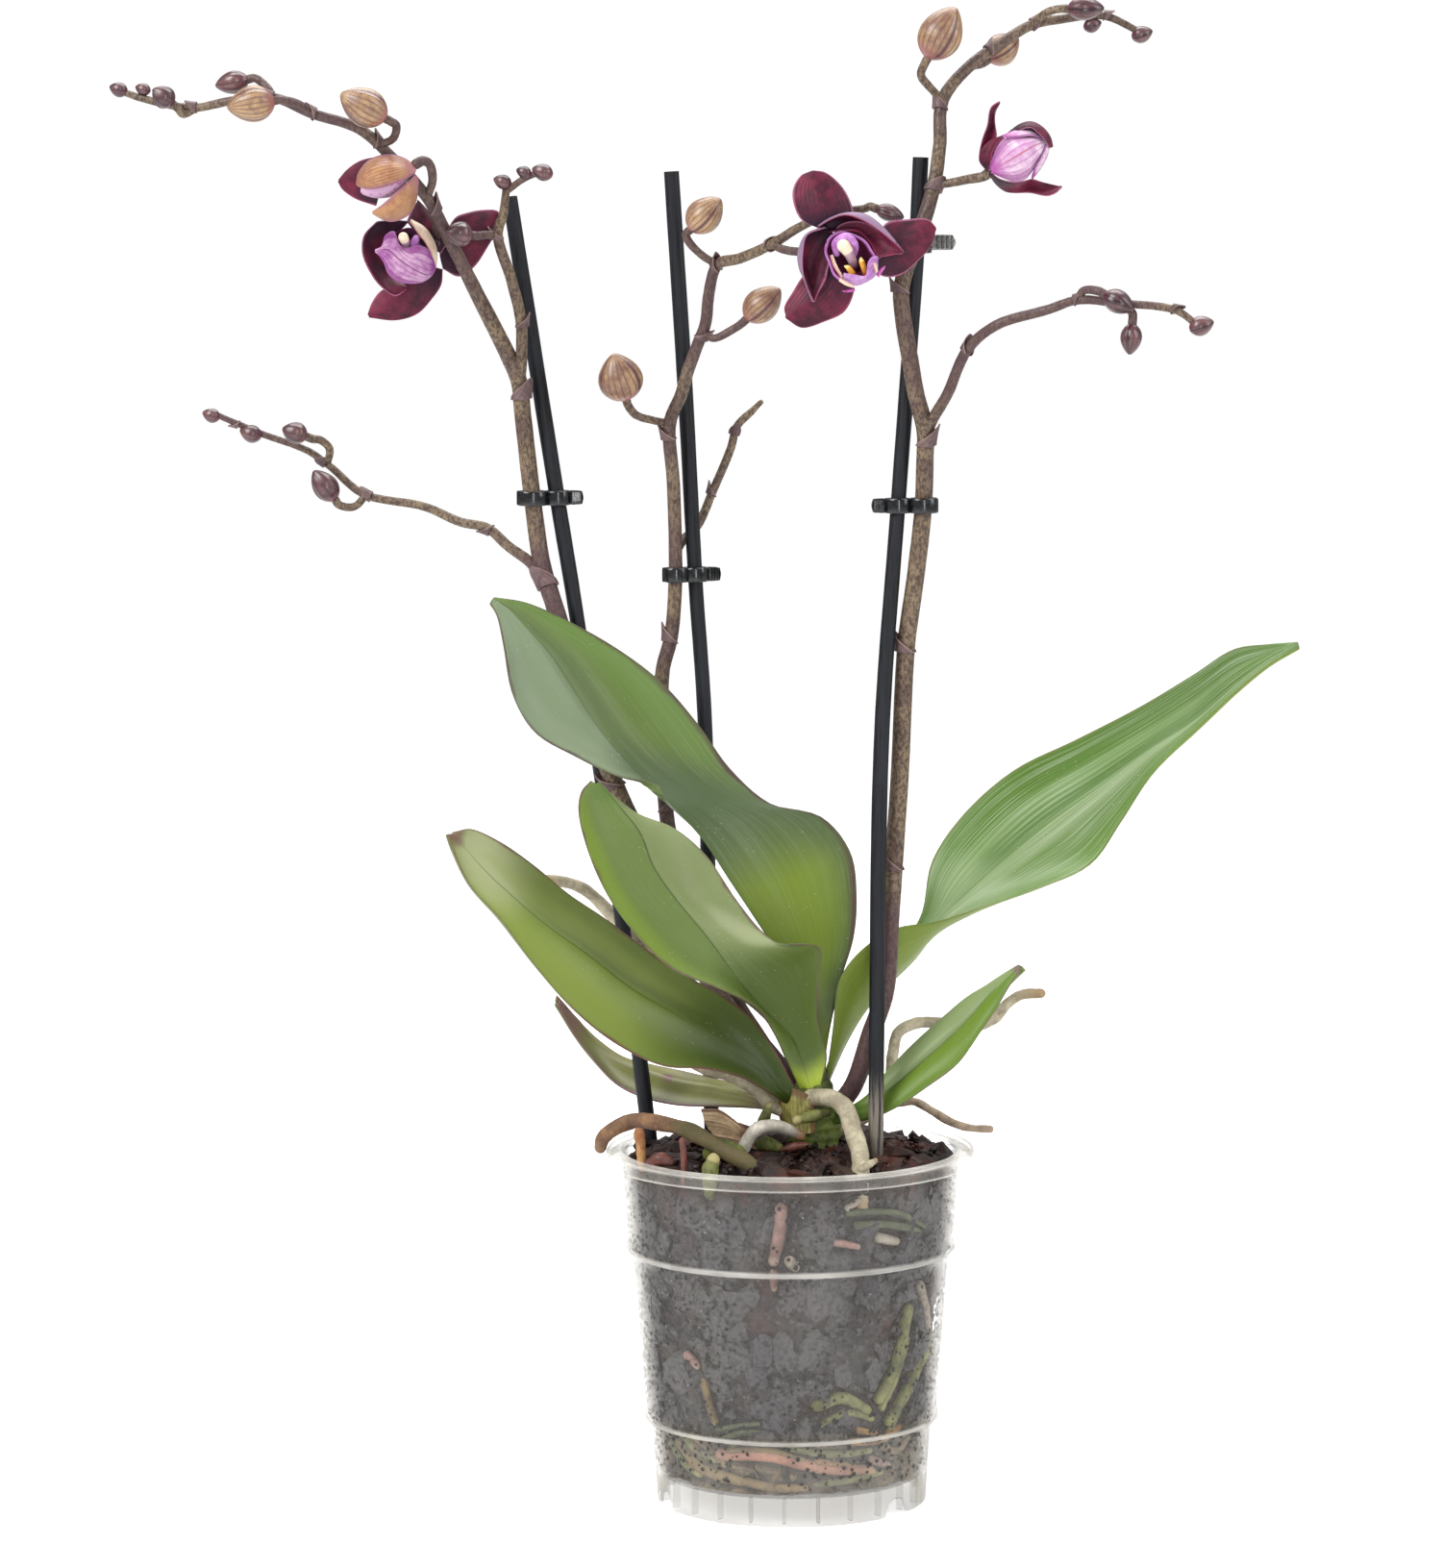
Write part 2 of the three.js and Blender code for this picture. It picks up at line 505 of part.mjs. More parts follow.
// A closed skin over rings of equal count, with both ends filled.
function loft(rings) {
  const count = rings[0].length;
  const points = rings.flat();
  const faces = [];
  for (let i = 0; i + 1 < rings.length; i += 1) {
    for (let j = 0; j < count; j += 1) {
      const a = i * count + j;
      const b = i * count + ((j + 1) % count);
      faces.push(a, b, b + count, a, b + count, a + count);
    }
  }
  const middle = (ring) => ring.reduce((sum, p) => sum.add(p), new THREE.Vector3()).divideScalar(count);
  const first = points.push(middle(rings[0])) - 1;
  const last = points.push(middle(rings[rings.length - 1])) - 1;
  const end = (rings.length - 1) * count;
  for (let j = 0; j < count; j += 1) {
    const next = (j + 1) % count;
    faces.push(first, next, j, last, end + j, end + next);
  }
  return solidFromGeometry(geometryFrom(points, faces));
}

// A round rod of changing radius along a route, with its ends drawn in.
function rod({ route, radius, sides, steps, grow = 0, blunt = false }) {
  const curve = smooth(route);
  const size = (t) => (Array.isArray(radius) ? along(radius, t) : radius) + grow;
  const centres = curve.getPoints(steps);
  centres[0].addScaledVector(curve.getTangent(0), -grow);
  centres[steps].addScaledVector(curve.getTangent(1), grow);
  const rings = [];
  let side = null;
  centres.forEach((centre, i) => {
    const ahead = centres[Math.min(i + 1, steps)].clone().sub(centres[Math.max(i - 1, 0)]).normalize();
    if (!side) side = new THREE.Vector3(0.31, 0.87, 0.38);
    side = side.clone().addScaledVector(ahead, -side.dot(ahead)).normalize();
    const other = new THREE.Vector3().crossVectors(ahead, side);
    const ring = (middle, r) => Array.from({ length: sides }, (_, j) => {
      const turn = (2 * Math.PI * j) / sides;
      return middle.clone().addScaledVector(side, r * Math.cos(turn)).addScaledVector(other, r * Math.sin(turn));
    });
    const r = size(i / steps);
    rings.push(ring(centre, r));
    if (!blunt && i === steps) rings.push(ring(centre.clone().addScaledVector(ahead, 0.7 * r), 0.55 * r));
  });
  return loft(rings);
}

// A thin sheet over a grid of points: both faces are split into triangles alike.
function sheet(grid, thickness, grow = 0) {
  const rows = grid.length;
  const stretch = (row, next) => row.forEach((point, j) => {
    point.addScaledVector(point.clone().sub(next[j]).normalize(), grow);
  });
  stretch(grid[0], grid[1]);
  stretch(grid[rows - 1], grid[rows - 2]);
  const columns = grid[0].length;
  const at = (i, j) => grid[Math.min(Math.max(i, 0), rows - 1)][Math.min(Math.max(j, 0), columns - 1)];
  const faceUp = [];
  const faceDown = [];
  for (let i = 0; i < rows; i += 1) {
    for (let j = 0; j < columns; j += 1) {
      const down = at(i + 1, j).clone().sub(at(i - 1, j));
      const across = at(i, j + 1).clone().sub(at(i, j - 1));
      const normal = down.cross(across).normalize();
      const half = thickness((2 * j) / (columns - 1) - 1) / 2 + grow;
      faceUp.push(at(i, j).clone().addScaledVector(normal, half));
      faceDown.push(at(i, j).clone().addScaledVector(normal, -half));
    }
  }
  const under = rows * columns;
  const faces = [];
  const wall = (a, b) => faces.push(a, b, b + under, a, b + under, a + under);
  for (let i = 0; i + 1 < rows; i += 1) {
    for (let j = 0; j + 1 < columns; j += 1) {
      const a = i * columns + j;
      const b = a + columns;
      faces.push(a, b, b + 1, a, b + 1, a + 1);
      faces.push(a + under, b + 1 + under, b + under, a + under, a + 1 + under, b + 1 + under);
    }
    wall(i * columns + columns, i * columns);
    wall(i * columns + columns - 1, i * columns + 2 * columns - 1);
  }
  for (let j = 0; j + 1 < columns; j += 1) {
    wall(j, j + 1);
    wall((rows - 1) * columns + j + 1, (rows - 1) * columns + j);
  }
  return solidFromGeometry(geometryFrom([...faceUp, ...faceDown], faces));
}

// A blade between two margins and a rib, each half a little domed.
function blade({ left, rib, right }, { ribThick, edgeThick, dome, steps, half, grow = 0 }) {
  const lines = [left, rib, right].map((line) => smooth(line).getPoints(steps));
  const grid = lines[1].map((middle, i) => {
    const edges = [lines[0][i], lines[2][i]].map((edge) => {
      const out = edge.clone().sub(middle);
      return edge.clone().addScaledVector(out.clone().normalize(), grow);
    });
    const before = lines[1][Math.max(i - 1, 0)];
    const after = lines[1][Math.min(i + 1, steps)];
    const normal = after.clone().sub(before).cross(edges[1].clone().sub(edges[0])).normalize();
    return Array.from({ length: 2 * half + 1 }, (_, j) => {
      const s = (j - half) / half;
      const edge = s < 0 ? edges[0] : edges[1];
      const reach = Math.abs(s);
      const rise = 4 * reach * (1 - reach) * dome * edge.distanceTo(middle);
      return middle.clone().lerp(edge, reach).addScaledVector(normal, rise);
    });
  });
  return sheet(grid, (s) => mix(ribThick, edgeThick, s * s), grow);
}

function leaf(lines, grow) {
  const { rib, margin, dome, half } = LEAF;
  const steps = lines.rib.length - 1;
  return blade(lines, { ribThick: rib, edgeThick: margin, dome, steps, half, grow });
}

// A plump bud with three rounded keels, from its base to its tip.
function bud({ base, tip, width }, grow = 0, foot = BUD.foot) {
  const { sides, keel } = BUD;
  const start = vec(base);
  const axis = vec(tip).sub(start);
  const long = axis.length();
  axis.normalize();
  const side = new THREE.Vector3(0.2, -0.9, 0.4).cross(axis).normalize();
  const other = new THREE.Vector3().crossVectors(axis, side);
  const levels = [0, 0.16, 0.4, 0.66, 0.88, 1];
  const rings = levels.map((level) => {
    const swell = Math.sin(Math.PI * (0.1 + 0.86 * level ** 0.9)) ** 0.72;
    const reach = foot - grow + (long - foot + 2 * grow) * level;
    const middle = start.clone().addScaledVector(axis, reach);
    return Array.from({ length: sides }, (_, j) => {
      const turn = (2 * Math.PI * j) / sides;
      const r = (width / 2) * swell * (1 + keel * Math.cos(3 * turn)) + grow;
      return middle.clone().addScaledVector(side, r * Math.cos(turn)).addScaledVector(other, r * Math.sin(turn));
    });
  });
  return loft(rings);
}

// ---------------------------------------------------------------- the pot

function turned(profile, sides) {
  const outline = profile.map(([radius, height]) => new THREE.Vector2(radius, height));
  return solidFromGeometry(new THREE.LatheGeometry(outline, sides).rotateX(Math.PI / 2));
}

function boxSolid([x, y, z], place) {
  const geometry = new THREE.BoxGeometry(x, y, z);
  place(geometry);
  return solidFromGeometry(geometry);
}

function ringRidge([radius, height]) {
  const { proud, tall } = RING;
  return [[radius + proud, height + 0.2], [radius + proud, height + 0.2 + tall]];
}

const inward = (points) => points.map(([radius, height]) => [radius - POT.wall, height]);

function potWall() {
  const { height, rimRadius, rimDepth, rimSheet, wall, floor, floorSheet, sides } = POT;
  const neck = TOP_TIER[1][0];
  const outside = [
    ...FOOT_TIER, ...ringRidge(MIDDLE_TIER[0]).map(([r, z]) => [r, z - 1]),
    ...MIDDLE_TIER, ...ringRidge(TOP_TIER[0]).map(([r, z]) => [r, z - 1]),
    ...TOP_TIER, [neck, height - rimSheet],
  ];
  const lip = [
    [rimRadius - wall, height - rimSheet], [rimRadius - wall, height - rimDepth],
    [rimRadius, height - rimDepth], [rimRadius, height], [neck - wall, height],
  ];
  const inside = [
    ...inward(TOP_TIER).reverse(), ...inward(MIDDLE_TIER).reverse(),
    [FOOT_TIER[1][0] - wall, FOOT_TIER[1][1]], [bore(floor + floorSheet), floor + floorSheet],
  ];
  const foot = FOOT_TIER[0][0] - wall;
  const profile = [
    [0, floor], [foot, floor], [foot, 0], ...outside, ...lip, ...inside, [0, floor + floorSheet],
  ];
  return turned(profile, sides);
}

function footNotches() {
  const { turns, top, width, taper } = FOOT_NOTCH;
  return turns.map((turn) => {
    const outline = new THREE.Shape([
      new THREE.Vector2(-width / 2, -1), new THREE.Vector2(width / 2, -1),
      new THREE.Vector2((taper * width) / 2, top), new THREE.Vector2((-taper * width) / 2, top),
    ]);
    const wedge = new THREE.ExtrudeGeometry(outline, { depth: 14, bevelEnabled: false });
    wedge.rotateX(Math.PI / 2).translate(0, -FOOT_TIER[0][0] + 8, 0).rotateZ(radians(turn));
    return solidFromGeometry(wedge);
  });
}

function footRibs() {
  const { count, deep, thick, from } = FOOT_RIB;
  const outer = FOOT_TIER[0][0] - POT.wall + 0.3;
  return Array.from({ length: count }, (_, i) => boxSolid([thick, deep, POT.floor - from + 0.3], (box) => {
    box.translate(0, -outer + deep / 2, (POT.floor + from + 0.3) / 2);
    box.rotateZ((2 * Math.PI * (i + 0.4)) / count);
  }));
}

function drainHoles() {
  const { count, ring, radius, sides } = DRAIN_HOLE;
  return Array.from({ length: count }, (_, i) => {
    const drill = new THREE.CylinderGeometry(radius, radius, POT.floor, sides).rotateX(Math.PI / 2);
    drill.translate(0, ring, POT.floor).rotateZ((2 * Math.PI * i) / count);
    return solidFromGeometry(drill);
  });
}

function pot() {
  const body = fuse([potWall(), ...footRibs()]);
  return [...footNotches(), ...drainHoles()].reduce((rest, cutter) => rest.subtract(cutter), body);
}

// ---------------------------------------------------------------- the bark

// Inside radius of the pot at one height.
function bore(height) {
  const tiers = [FOOT_TIER, MIDDLE_TIER, TOP_TIER];
  const tier = tiers.find(([, top]) => height <= top[1] + 0.6) ?? TOP_TIER;
  const [[low, from], [high, to]] = tier;
  return mix(low, high, THREE.MathUtils.clamp((height - from) / (to - from), 0, 1)) - POT.wall;
}

function barkCore() {
  const { edge, heap, rings, lump, clearOfWall } = BARK;
  const { sides, floor, floorSheet } = POT;
  const random = seeded(7);
  const bottom = floor + floorSheet + GAP;
  const [below, above] = [0.3, 1.2];
  const walls = [
    bottom, FOOT_TIER[1][1] + below, MIDDLE_TIER[0][1] + above,
    MIDDLE_TIER[1][1] + below, TOP_TIER[0][1] + above, TOP_TIER[1][1],
  ];
  const around = (radius, height) => Array.from({ length: sides }, (_, j) => {
    const turn = (2 * Math.PI * j) / sides;
    return new THREE.Vector3(radius * Math.sin(turn), radius * Math.cos(turn), height());
  });
  const layers = walls.map((height) => around(bore(height) - clearOfWall, () => height));
  for (let k = 0; k <= rings; k += 1) {
    const reach = 1 - k / (rings + 0.6);
    const radius = (bore(edge) - clearOfWall) * reach;
    const level = edge + heap * (1 - reach * reach);
    layers.push(around(radius, () => level + (k ? lump * (random() - 0.5) * 2 : 0)));
  }
  return loft(layers);
}

function barkChips() {
  const { edge, heap, chips, chipReach, chipLong, chipWide, chipThick } = BARK;
  const random = seeded(23);
  const between = ([low, high]) => mix(low, high, random());
  return Array.from({ length: chips }, () => {
    const size = [between(chipLong), between(chipWide), between(chipThick)];
    const reach = Math.sqrt(random()) * chipReach;
    const turn = 2 * Math.PI * random();
    const tilt = [0.5 * (random() - 0.5), 0.5 * (random() - 0.5), Math.PI * random()];
    const level = edge + heap * (1 - (reach / bore(edge)) ** 2) + 0.4 * size[2] * (random() - 0.4);
    return boxSolid(size, (box) => {
      box.rotateX(tilt[0]).rotateY(tilt[1]).rotateZ(tilt[2]);
      box.translate(reach * Math.cos(turn), reach * Math.sin(turn), level);
    });
  });
}

function bark() {
  return fuse([barkCore(), ...barkChips()]);
}

// ---------------------------------------------------------------- the plant

function crown(grow) {
  const { at, profile, sides } = CROWN;
  const last = profile.length - 1;
  const spread = [-grow, ...Array(last - 1).fill(0), grow];
  const wide = profile.map(([radius, height], i) => [radius + grow, height + spread[i]]);
  return turned([[0, wide[0][1]], ...wide, [0, wide[last][1]]], sides).translate([at[0], at[1], 0]);
}

function drySheath(grow) {
  return blade(DRY_SHEATH, { ribThick: 0.8, edgeThick: 0.7, dome: 0.1, steps: 3, half: 1, grow });
}

function stick(name, grow) {
  const { radius, sides, steps } = STICK;
  return rod({ route: STICKS[name], radius, sides, steps, grow, blunt: true });
}

// A stalk that ends square to the bud or flower that it carries.
function stalk(route, base, tip, grow) {
  const end = vec(base);
  const axis = vec(tip).sub(end).normalize();
  const before = end.clone().addScaledVector(axis, -1.8);
  const points = [...route, before.toArray(), end.toArray()];
  return rod({ route: points, radius: STALK.radius, sides: STALK.sides, steps: STALK.steps, grow, blunt: true });
}

// A pointed scale leaf standing a little off its stem's node.
function nodeScale([at, facing], radius, grow) {
  const { long, over, sides, lift } = NODE_SCALE;
  const cone = new THREE.ConeGeometry(radius * over + grow, long, sides).translate(0, 0.5 * long - 2, 0);
  const axis = vec(facing).normalize();
  cone.applyQuaternion(new THREE.Quaternion().setFromUnitVectors(new THREE.Vector3(0, 1, 0), axis));
  const place = vec(at).addScaledVector(axis, lift);
  return solidFromGeometry(cone.translate(place.x, place.y, place.z));
}

function tipBud([centre, radius], grow) {
  const ball = new THREE.IcosahedronGeometry(radius + grow);
  ball.scale(1.15, 0.95, 0.95);
  return solidFromGeometry(ball.translate(...centre));
}

// How thick a flower stem is where a scale leaf clasps it.
function stemRadiusAt(parts, at) {
  let best = { gap: Infinity, radius: 0 };
  parts.forEach(({ route, radius }) => {
    const curve = smooth(route);
    for (let i = 0; i <= 120; i += 1) {
      const gap = curve.getPoint(i / 120).distanceTo(vec(at));
      if (gap < best.gap) best = { gap, radius: along(radius, i / 120) };
    }
  });
  return best.radius;
}

function spike(name, grow) {
  const parts = STEMS[name];
  const stems = parts.map((part) => rod({ ...part, sides: STEM_SIDES, grow }));
  const scales = NODE_SCALES[name].map((scale) => nodeScale(scale, stemRadiusAt(parts, scale[0]), grow));
  const tips = TIP_BUDS[name].map((tip) => tipBud(tip, grow));
  const carried = (table) => Object.values(table).filter((entry) => entry.stem === name);
  const stalks = [
    ...carried(BUDS).map((entry) => stalk(entry.stalk, entry.base, entry.tip, grow)),
    ...carried(HALF_OPEN).map((entry) => stalk(entry.stalk, entry.base, entry.tip, grow)),
    ...carried(FLOWERS).map((entry) => {
      const back = vec(entry.at).addScaledVector(vec(entry.facing).normalize(), -3.2);
      return stalk(entry.stalk, back.toArray(), entry.at, grow);
    }),
  ];
  return fuse([...stems, ...scales, ...tips, ...stalks]);
}

function root(name, grow) {
  const { route, radius } = ROOTS[name];
  const taper = [[0, radius], [0.7, radius * 0.95], [1, radius * 0.75]];
  return rod({ route, radius: taper, sides: ROOT_SIDES, steps: Math.round(1.4 * route.length), grow });
}

function wallRoot(name, grow) {
  const { radius, clear, sides, stepTurn } = WALL_ROOT;
  const points = WALL_ROOTS[name];
  const route = points.map(([turn, height]) => {
    const reach = bore(height) - clear - radius;
    return [reach * Math.sin(radians(turn)), -reach * Math.cos(radians(turn)), height];
  });
  const swept = Math.abs(points[points.length - 1][0] - points[0][0]);
  const steps = Math.max(2, Math.ceil(swept / stepTurn));
  return rod({ route, radius, sides, steps, grow });
}

// ---------------------------------------------------------------- flowers

// Directions of a flower: the way it faces, up across its face, and to its right.
function flowerFrame(facing) {
  const out = vec(facing).normalize();
  const up = new THREE.Vector3(0, 0, 1);
  up.addScaledVector(out, -up.dot(out)).normalize();
  return { out, up, right: new THREE.Vector3().crossVectors(up, out) };
}

function tepal(at, facing, { turn, length, width, lean, cup }, grow) {
  const { thick, steps, half, throat } = PETAL;
  const { out, up, right } = flowerFrame(facing);
  const away = up.clone().multiplyScalar(Math.cos(radians(turn))).addScaledVector(right, Math.sin(radians(turn)));
  const across = new THREE.Vector3().crossVectors(out, away);
  const rib = vec(at).addScaledVector(away, throat);
  const grid = [];
  for (let i = 0; i <= steps; i += 1) {
    const s = i / steps;
    const tilt = radians(mix(lean[0], lean[1], s));
    const inner = out.clone().multiplyScalar(Math.sin(tilt)).addScaledVector(away, -Math.cos(tilt));
    const wide = (width / 2) * Math.sin(Math.PI * (0.03 + 0.92 * s ** 0.8)) ** 0.7 + grow;
    grid.push(Array.from({ length: 2 * half + 1 }, (_, j) => {
      const x = (j - half) / half;
      return rib.clone().addScaledVector(across, x * wide).addScaledVector(inner, cup * wide * x * x);
    }));
    const ahead = out.clone().multiplyScalar(Math.cos(tilt)).addScaledVector(away, Math.sin(tilt));
    rib.addScaledVector(ahead, length / steps);
  }
  return sheet(grid, () => thick, grow);
}

function ball(at, radius, grow) {
  return solidFromGeometry(new THREE.IcosahedronGeometry(radius + grow).translate(...at));
}

function tepals(name, grow) {
  const { at, facing, tepals: spread } = FLOWERS[name];
  return fuse([ball(at, 2.4, grow), ...spread.map((one) => tepal(at, facing, one, grow))]);
}

// Turns something made about +Y to face the way given, and sets it in place.
function aim(geometry, facing, place) {
  const turn = new THREE.Quaternion().setFromUnitVectors(new THREE.Vector3(0, 1, 0), vec(facing).normalize());
  geometry.applyQuaternion(turn);
  return solidFromGeometry(geometry.translate(place.x, place.y, place.z));
}

// An open cup with a thin wall.
function lip(name, grow) {
  const { at, lip: cup } = FLOWERS[name];
  const { radius, deep, squash } = cup;
  const wide = radius + grow;
  const thick = LIP.wall + 2 * grow;
  const outline = [
    [0, -grow], [0.5 * wide, 0.05 * deep - grow], [0.9 * wide, 0.4 * deep], [wide, deep + grow],
    [wide - thick, deep + grow], [0.9 * wide - thick, 0.45 * deep], [0.5 * wide - thick / 2, 0.05 * deep + thick - grow],
    [0, thick - grow],
  ].map(([r, h]) => new THREE.Vector2(r, h));
  const shell = new THREE.LatheGeometry(outline, LIP.sides);
  const place = vec(at).addScaledVector(vec(cup.lean).normalize(), LIP.off);
  return aim(shell.scale(1, 1, squash), cup.lean, place);
}

function column(name, grow) {
  const { at, facing, column: post } = FLOWERS[name];
  const { up, out } = flowerFrame(facing);
  const foot = vec(at).addScaledVector(up, post.lift).addScaledVector(out, 0.5);
  const top = foot.clone().addScaledVector(out, post.long);
  const route = [foot.toArray(), foot.clone().lerp(top, 0.5).addScaledVector(up, 0.6).toArray(), top.toArray()];
  const swell = [[0, 1.6], [0.6, 1.8], [0.85, post.radius], [1, post.radius * 0.8]];
  return rod({ route, radius: swell, ...COLUMN, grow });
}

function halfOpenTepals(name, grow) {
  const { base, tip, tepals: spread } = HALF_OPEN[name];
  const facing = vec(tip).sub(vec(base)).normalize();
  const at = vec(base).addScaledVector(facing, 1.9).toArray();
  return fuse([ball(at, 1.9, grow), ...spread.map((one) => tepal(at, facing.toArray(), one, grow))]);
}

function furledPetals(name, grow) {
  const { base, tip, width } = HALF_OPEN[name];
  return bud({ base, tip, width }, grow, FURLED_FOOT);
}

// ---------------------------------------------------------------- the clips

// Two joined rings, one round the stick and one round the stem, with a tab.
function clip(name) {
  const { stick: stickName, stem, height, stemRadius } = CLIPS[name];
  const { tall, sheet: wall, play, tab, arc } = CLIP;
  const held = pointAtHeight(STICKS[stickName], height);
  const grown = pointAtHeight(STEMS[stem][0].route, height);
  const span = Math.hypot(grown.x - held.x, grown.y - held.y);
  const stickHole = STICK.radius + play;
  const stemHole = stemRadius + play;
  const side = stickHole + wall;
  const far = stemHole + wall;
  const outline = new THREE.Shape();
  outline.absarc(0, 0, side, Math.PI / 2, Math.PI * 0.93, false);
  outline.lineTo(-side - tab, 1.4);
  outline.lineTo(-side - tab, -1.4);
  outline.absarc(0, 0, side, Math.PI * 1.07, Math.PI * 1.5, false);
  outline.absarc(span, 0, far, Math.PI * 1.5, Math.PI * 2.5, false);
  outline.closePath();
  const hole = (x, radius) => new THREE.Path().absarc(x, 0, radius, 0, 2 * Math.PI, true);
  outline.holes = [hole(0, stickHole), hole(span, stemHole)];
  const plate = new THREE.ExtrudeGeometry(outline, { depth: tall, bevelEnabled: false, curveSegments: arc });
  plate.translate(0, 0, -tall / 2).rotateZ(Math.atan2(grown.y - held.y, grown.x - held.x));
  return solidFromGeometry(plate.translate(held.x, held.y, height));
}

// ---------------------------------------------------------------- assembly

// Every piece: its colour, how it is made (grown by a clearance when it is used
// to cut its neighbours), and the neighbours that it gives way to.
function listPieces() {
  const pieces = [];
  const add = (name, colour, make, givesWayTo = []) => pieces.push({ name, colour, make, givesWayTo });
  const stems = Object.keys(STEMS);
  const sticks = Object.keys(STICKS);
  const leaves = Object.keys(LEAVES);
  const roots = Object.keys(ROOTS);
  const wallRoots = Object.keys(WALL_ROOTS);
  add('pot', 'pot', pot);
  add('crown', 'crown', crown);
  sticks.forEach((name) => add(name, 'stick', (grow) => stick(name, grow)));
  stems.forEach((name, i) => {
    add(name, 'stem', (grow) => spike(name, grow), ['crown', ...stems.slice(0, i)]);
  });
  leaves.forEach((name, i) => {
    const colour = i < 5 ? 'leaf' : 'youngLeaf';
    add(name, colour, (grow) => leaf(LEAVES[name], grow), ['crown', ...stems, ...leaves.slice(0, i)]);
  });
  roots.forEach((name, i) => {
    add(name, 'root', (grow) => root(name, grow), ['crown', ...stems, ...leaves, ...roots.slice(0, i)]);
  });
  add('dry_sheath', 'sheath', drySheath, ['crown', ...leaves, ...roots]);
  wallRoots.forEach((name) => add(name, 'wallRoot', (grow) => wallRoot(name, grow)));
  const inBark = ['crown', ...sticks, ...stems, ...leaves, ...roots, ...wallRoots, 'dry_sheath'];
  add('bark', 'bark', bark, inBark);
  Object.keys(CLIPS).forEach((name) => add(name, 'clip', () => clip(name)));
  Object.keys(BUDS).forEach((name) => {
    add(name, 'bud', (grow) => bud(BUDS[name], grow), [BUDS[name].stem]);
  });
  Object.keys(FLOWERS).forEach((name) => {
    const whorl = `${name}_tepals`;
    add(whorl, 'tepal', (grow) => tepals(name, grow), stems);
    add(`${name}_lip`, 'lip', (grow) => lip(name, grow), [whorl]);
    add(`${name}_column`, 'column', (grow) => column(name, grow), [...stems, whorl, `${name}_lip`]);
  });
  Object.keys(HALF_OPEN).forEach((name) => {
    const core = `${name}_petals`;
    const colour = name === 'half_open_d' ? 'bud' : 'tepal';
    add(core, 'petal', (grow) => furledPetals(name, grow), stems);
    add(`${name}_tepals`, colour, (grow) => halfOpenTepals(name, grow), [...stems, core]);
  });
  return pieces;
}

function assemble() {
  const plant = new THREE.Group();
  const pieces = listPieces();
  const byName = new Map(pieces.map((piece) => [piece.name, piece]));
  const grown = new Map();
  const cutter = (name) => {
    if (!grown.has(name)) grown.set(name, byName.get(name).make(GAP));
    return grown.get(name);
  };
  pieces.forEach(({ name, colour, make, givesWayTo }) => {
    const solid = clearOf(make(0), givesWayTo.map(cutter));
    const [tint, roughness] = COLOURS[colour];
    const material = new THREE.MeshStandardMaterial({ color: tint, roughness, metalness: 0 });
    const mesh = new THREE.Mesh(geometryFromSolid(solid), material);
    mesh.name = name;
    plant.add(mesh);
  });
  const box = new THREE.Box3().setFromObject(plant);
  plant.position.set(-(box.min.x + box.max.x) / 2, -(box.min.y + box.max.y) / 2, 0);
  const whole = new THREE.Group();
  whole.add(plant);
  return whole;
}

const orchid = assemble();

export default orchid;
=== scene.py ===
"""A moth orchid in a clear plastic pot, dressed over its solids.

Shapes are given in millimetres about the pot's axis, from the surface that the
pot stands on, with the front towards -Y, and become metres when a piece is made.
"""

import math

import bmesh
import bpy
import numpy as np
from mathutils import Matrix, Vector


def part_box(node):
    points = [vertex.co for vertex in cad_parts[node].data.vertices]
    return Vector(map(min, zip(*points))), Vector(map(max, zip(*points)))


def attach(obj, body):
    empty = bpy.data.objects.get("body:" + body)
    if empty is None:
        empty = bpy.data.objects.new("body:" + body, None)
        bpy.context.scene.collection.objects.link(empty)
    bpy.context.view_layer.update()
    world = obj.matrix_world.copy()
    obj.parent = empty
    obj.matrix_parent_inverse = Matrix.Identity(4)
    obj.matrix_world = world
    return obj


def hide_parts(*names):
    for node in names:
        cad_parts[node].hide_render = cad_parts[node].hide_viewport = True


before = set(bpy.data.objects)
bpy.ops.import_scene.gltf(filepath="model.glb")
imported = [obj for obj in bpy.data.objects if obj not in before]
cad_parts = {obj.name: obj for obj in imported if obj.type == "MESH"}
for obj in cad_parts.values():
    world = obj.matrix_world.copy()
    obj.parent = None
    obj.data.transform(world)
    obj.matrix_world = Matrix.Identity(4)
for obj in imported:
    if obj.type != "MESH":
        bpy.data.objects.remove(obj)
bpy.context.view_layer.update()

MM = 0.001

# ---------------------------------------------------------------- camera

PHOTO = {"width": 1500, "height": 1631}
CAMERA = {"place": (-21.9, -1800, 431), "pitch": 6.2, "roll": 0.33, "focal_pixels": 5808, "film": 36}


def pot_axis():
    low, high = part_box("pot")
    return np.array([(low.x + high.x) / 2, (low.y + high.y) / 2, 0.0])


AXIS = pot_axis()


def metres(points):
    return np.asarray(points, dtype=float) * MM + AXIS


def add_camera():
    data = bpy.data.cameras.new("camera")
    data.sensor_width = CAMERA["film"]
    data.lens = CAMERA["focal_pixels"] / PHOTO["height"] * CAMERA["film"]
    data.clip_end = 50
    camera = bpy.data.objects.new("camera", data)
    look = Matrix.Rotation(math.radians(90 - CAMERA["pitch"]), 4, "X")
    roll = Matrix.Rotation(math.radians(-CAMERA["roll"]), 4, "Z")
    camera.matrix_world = Matrix.Translation(metres(CAMERA["place"])) @ look @ roll
    bpy.context.collection.objects.link(camera)
    bpy.context.scene.camera = camera


# ---------------------------------------------------------------- routes, mm

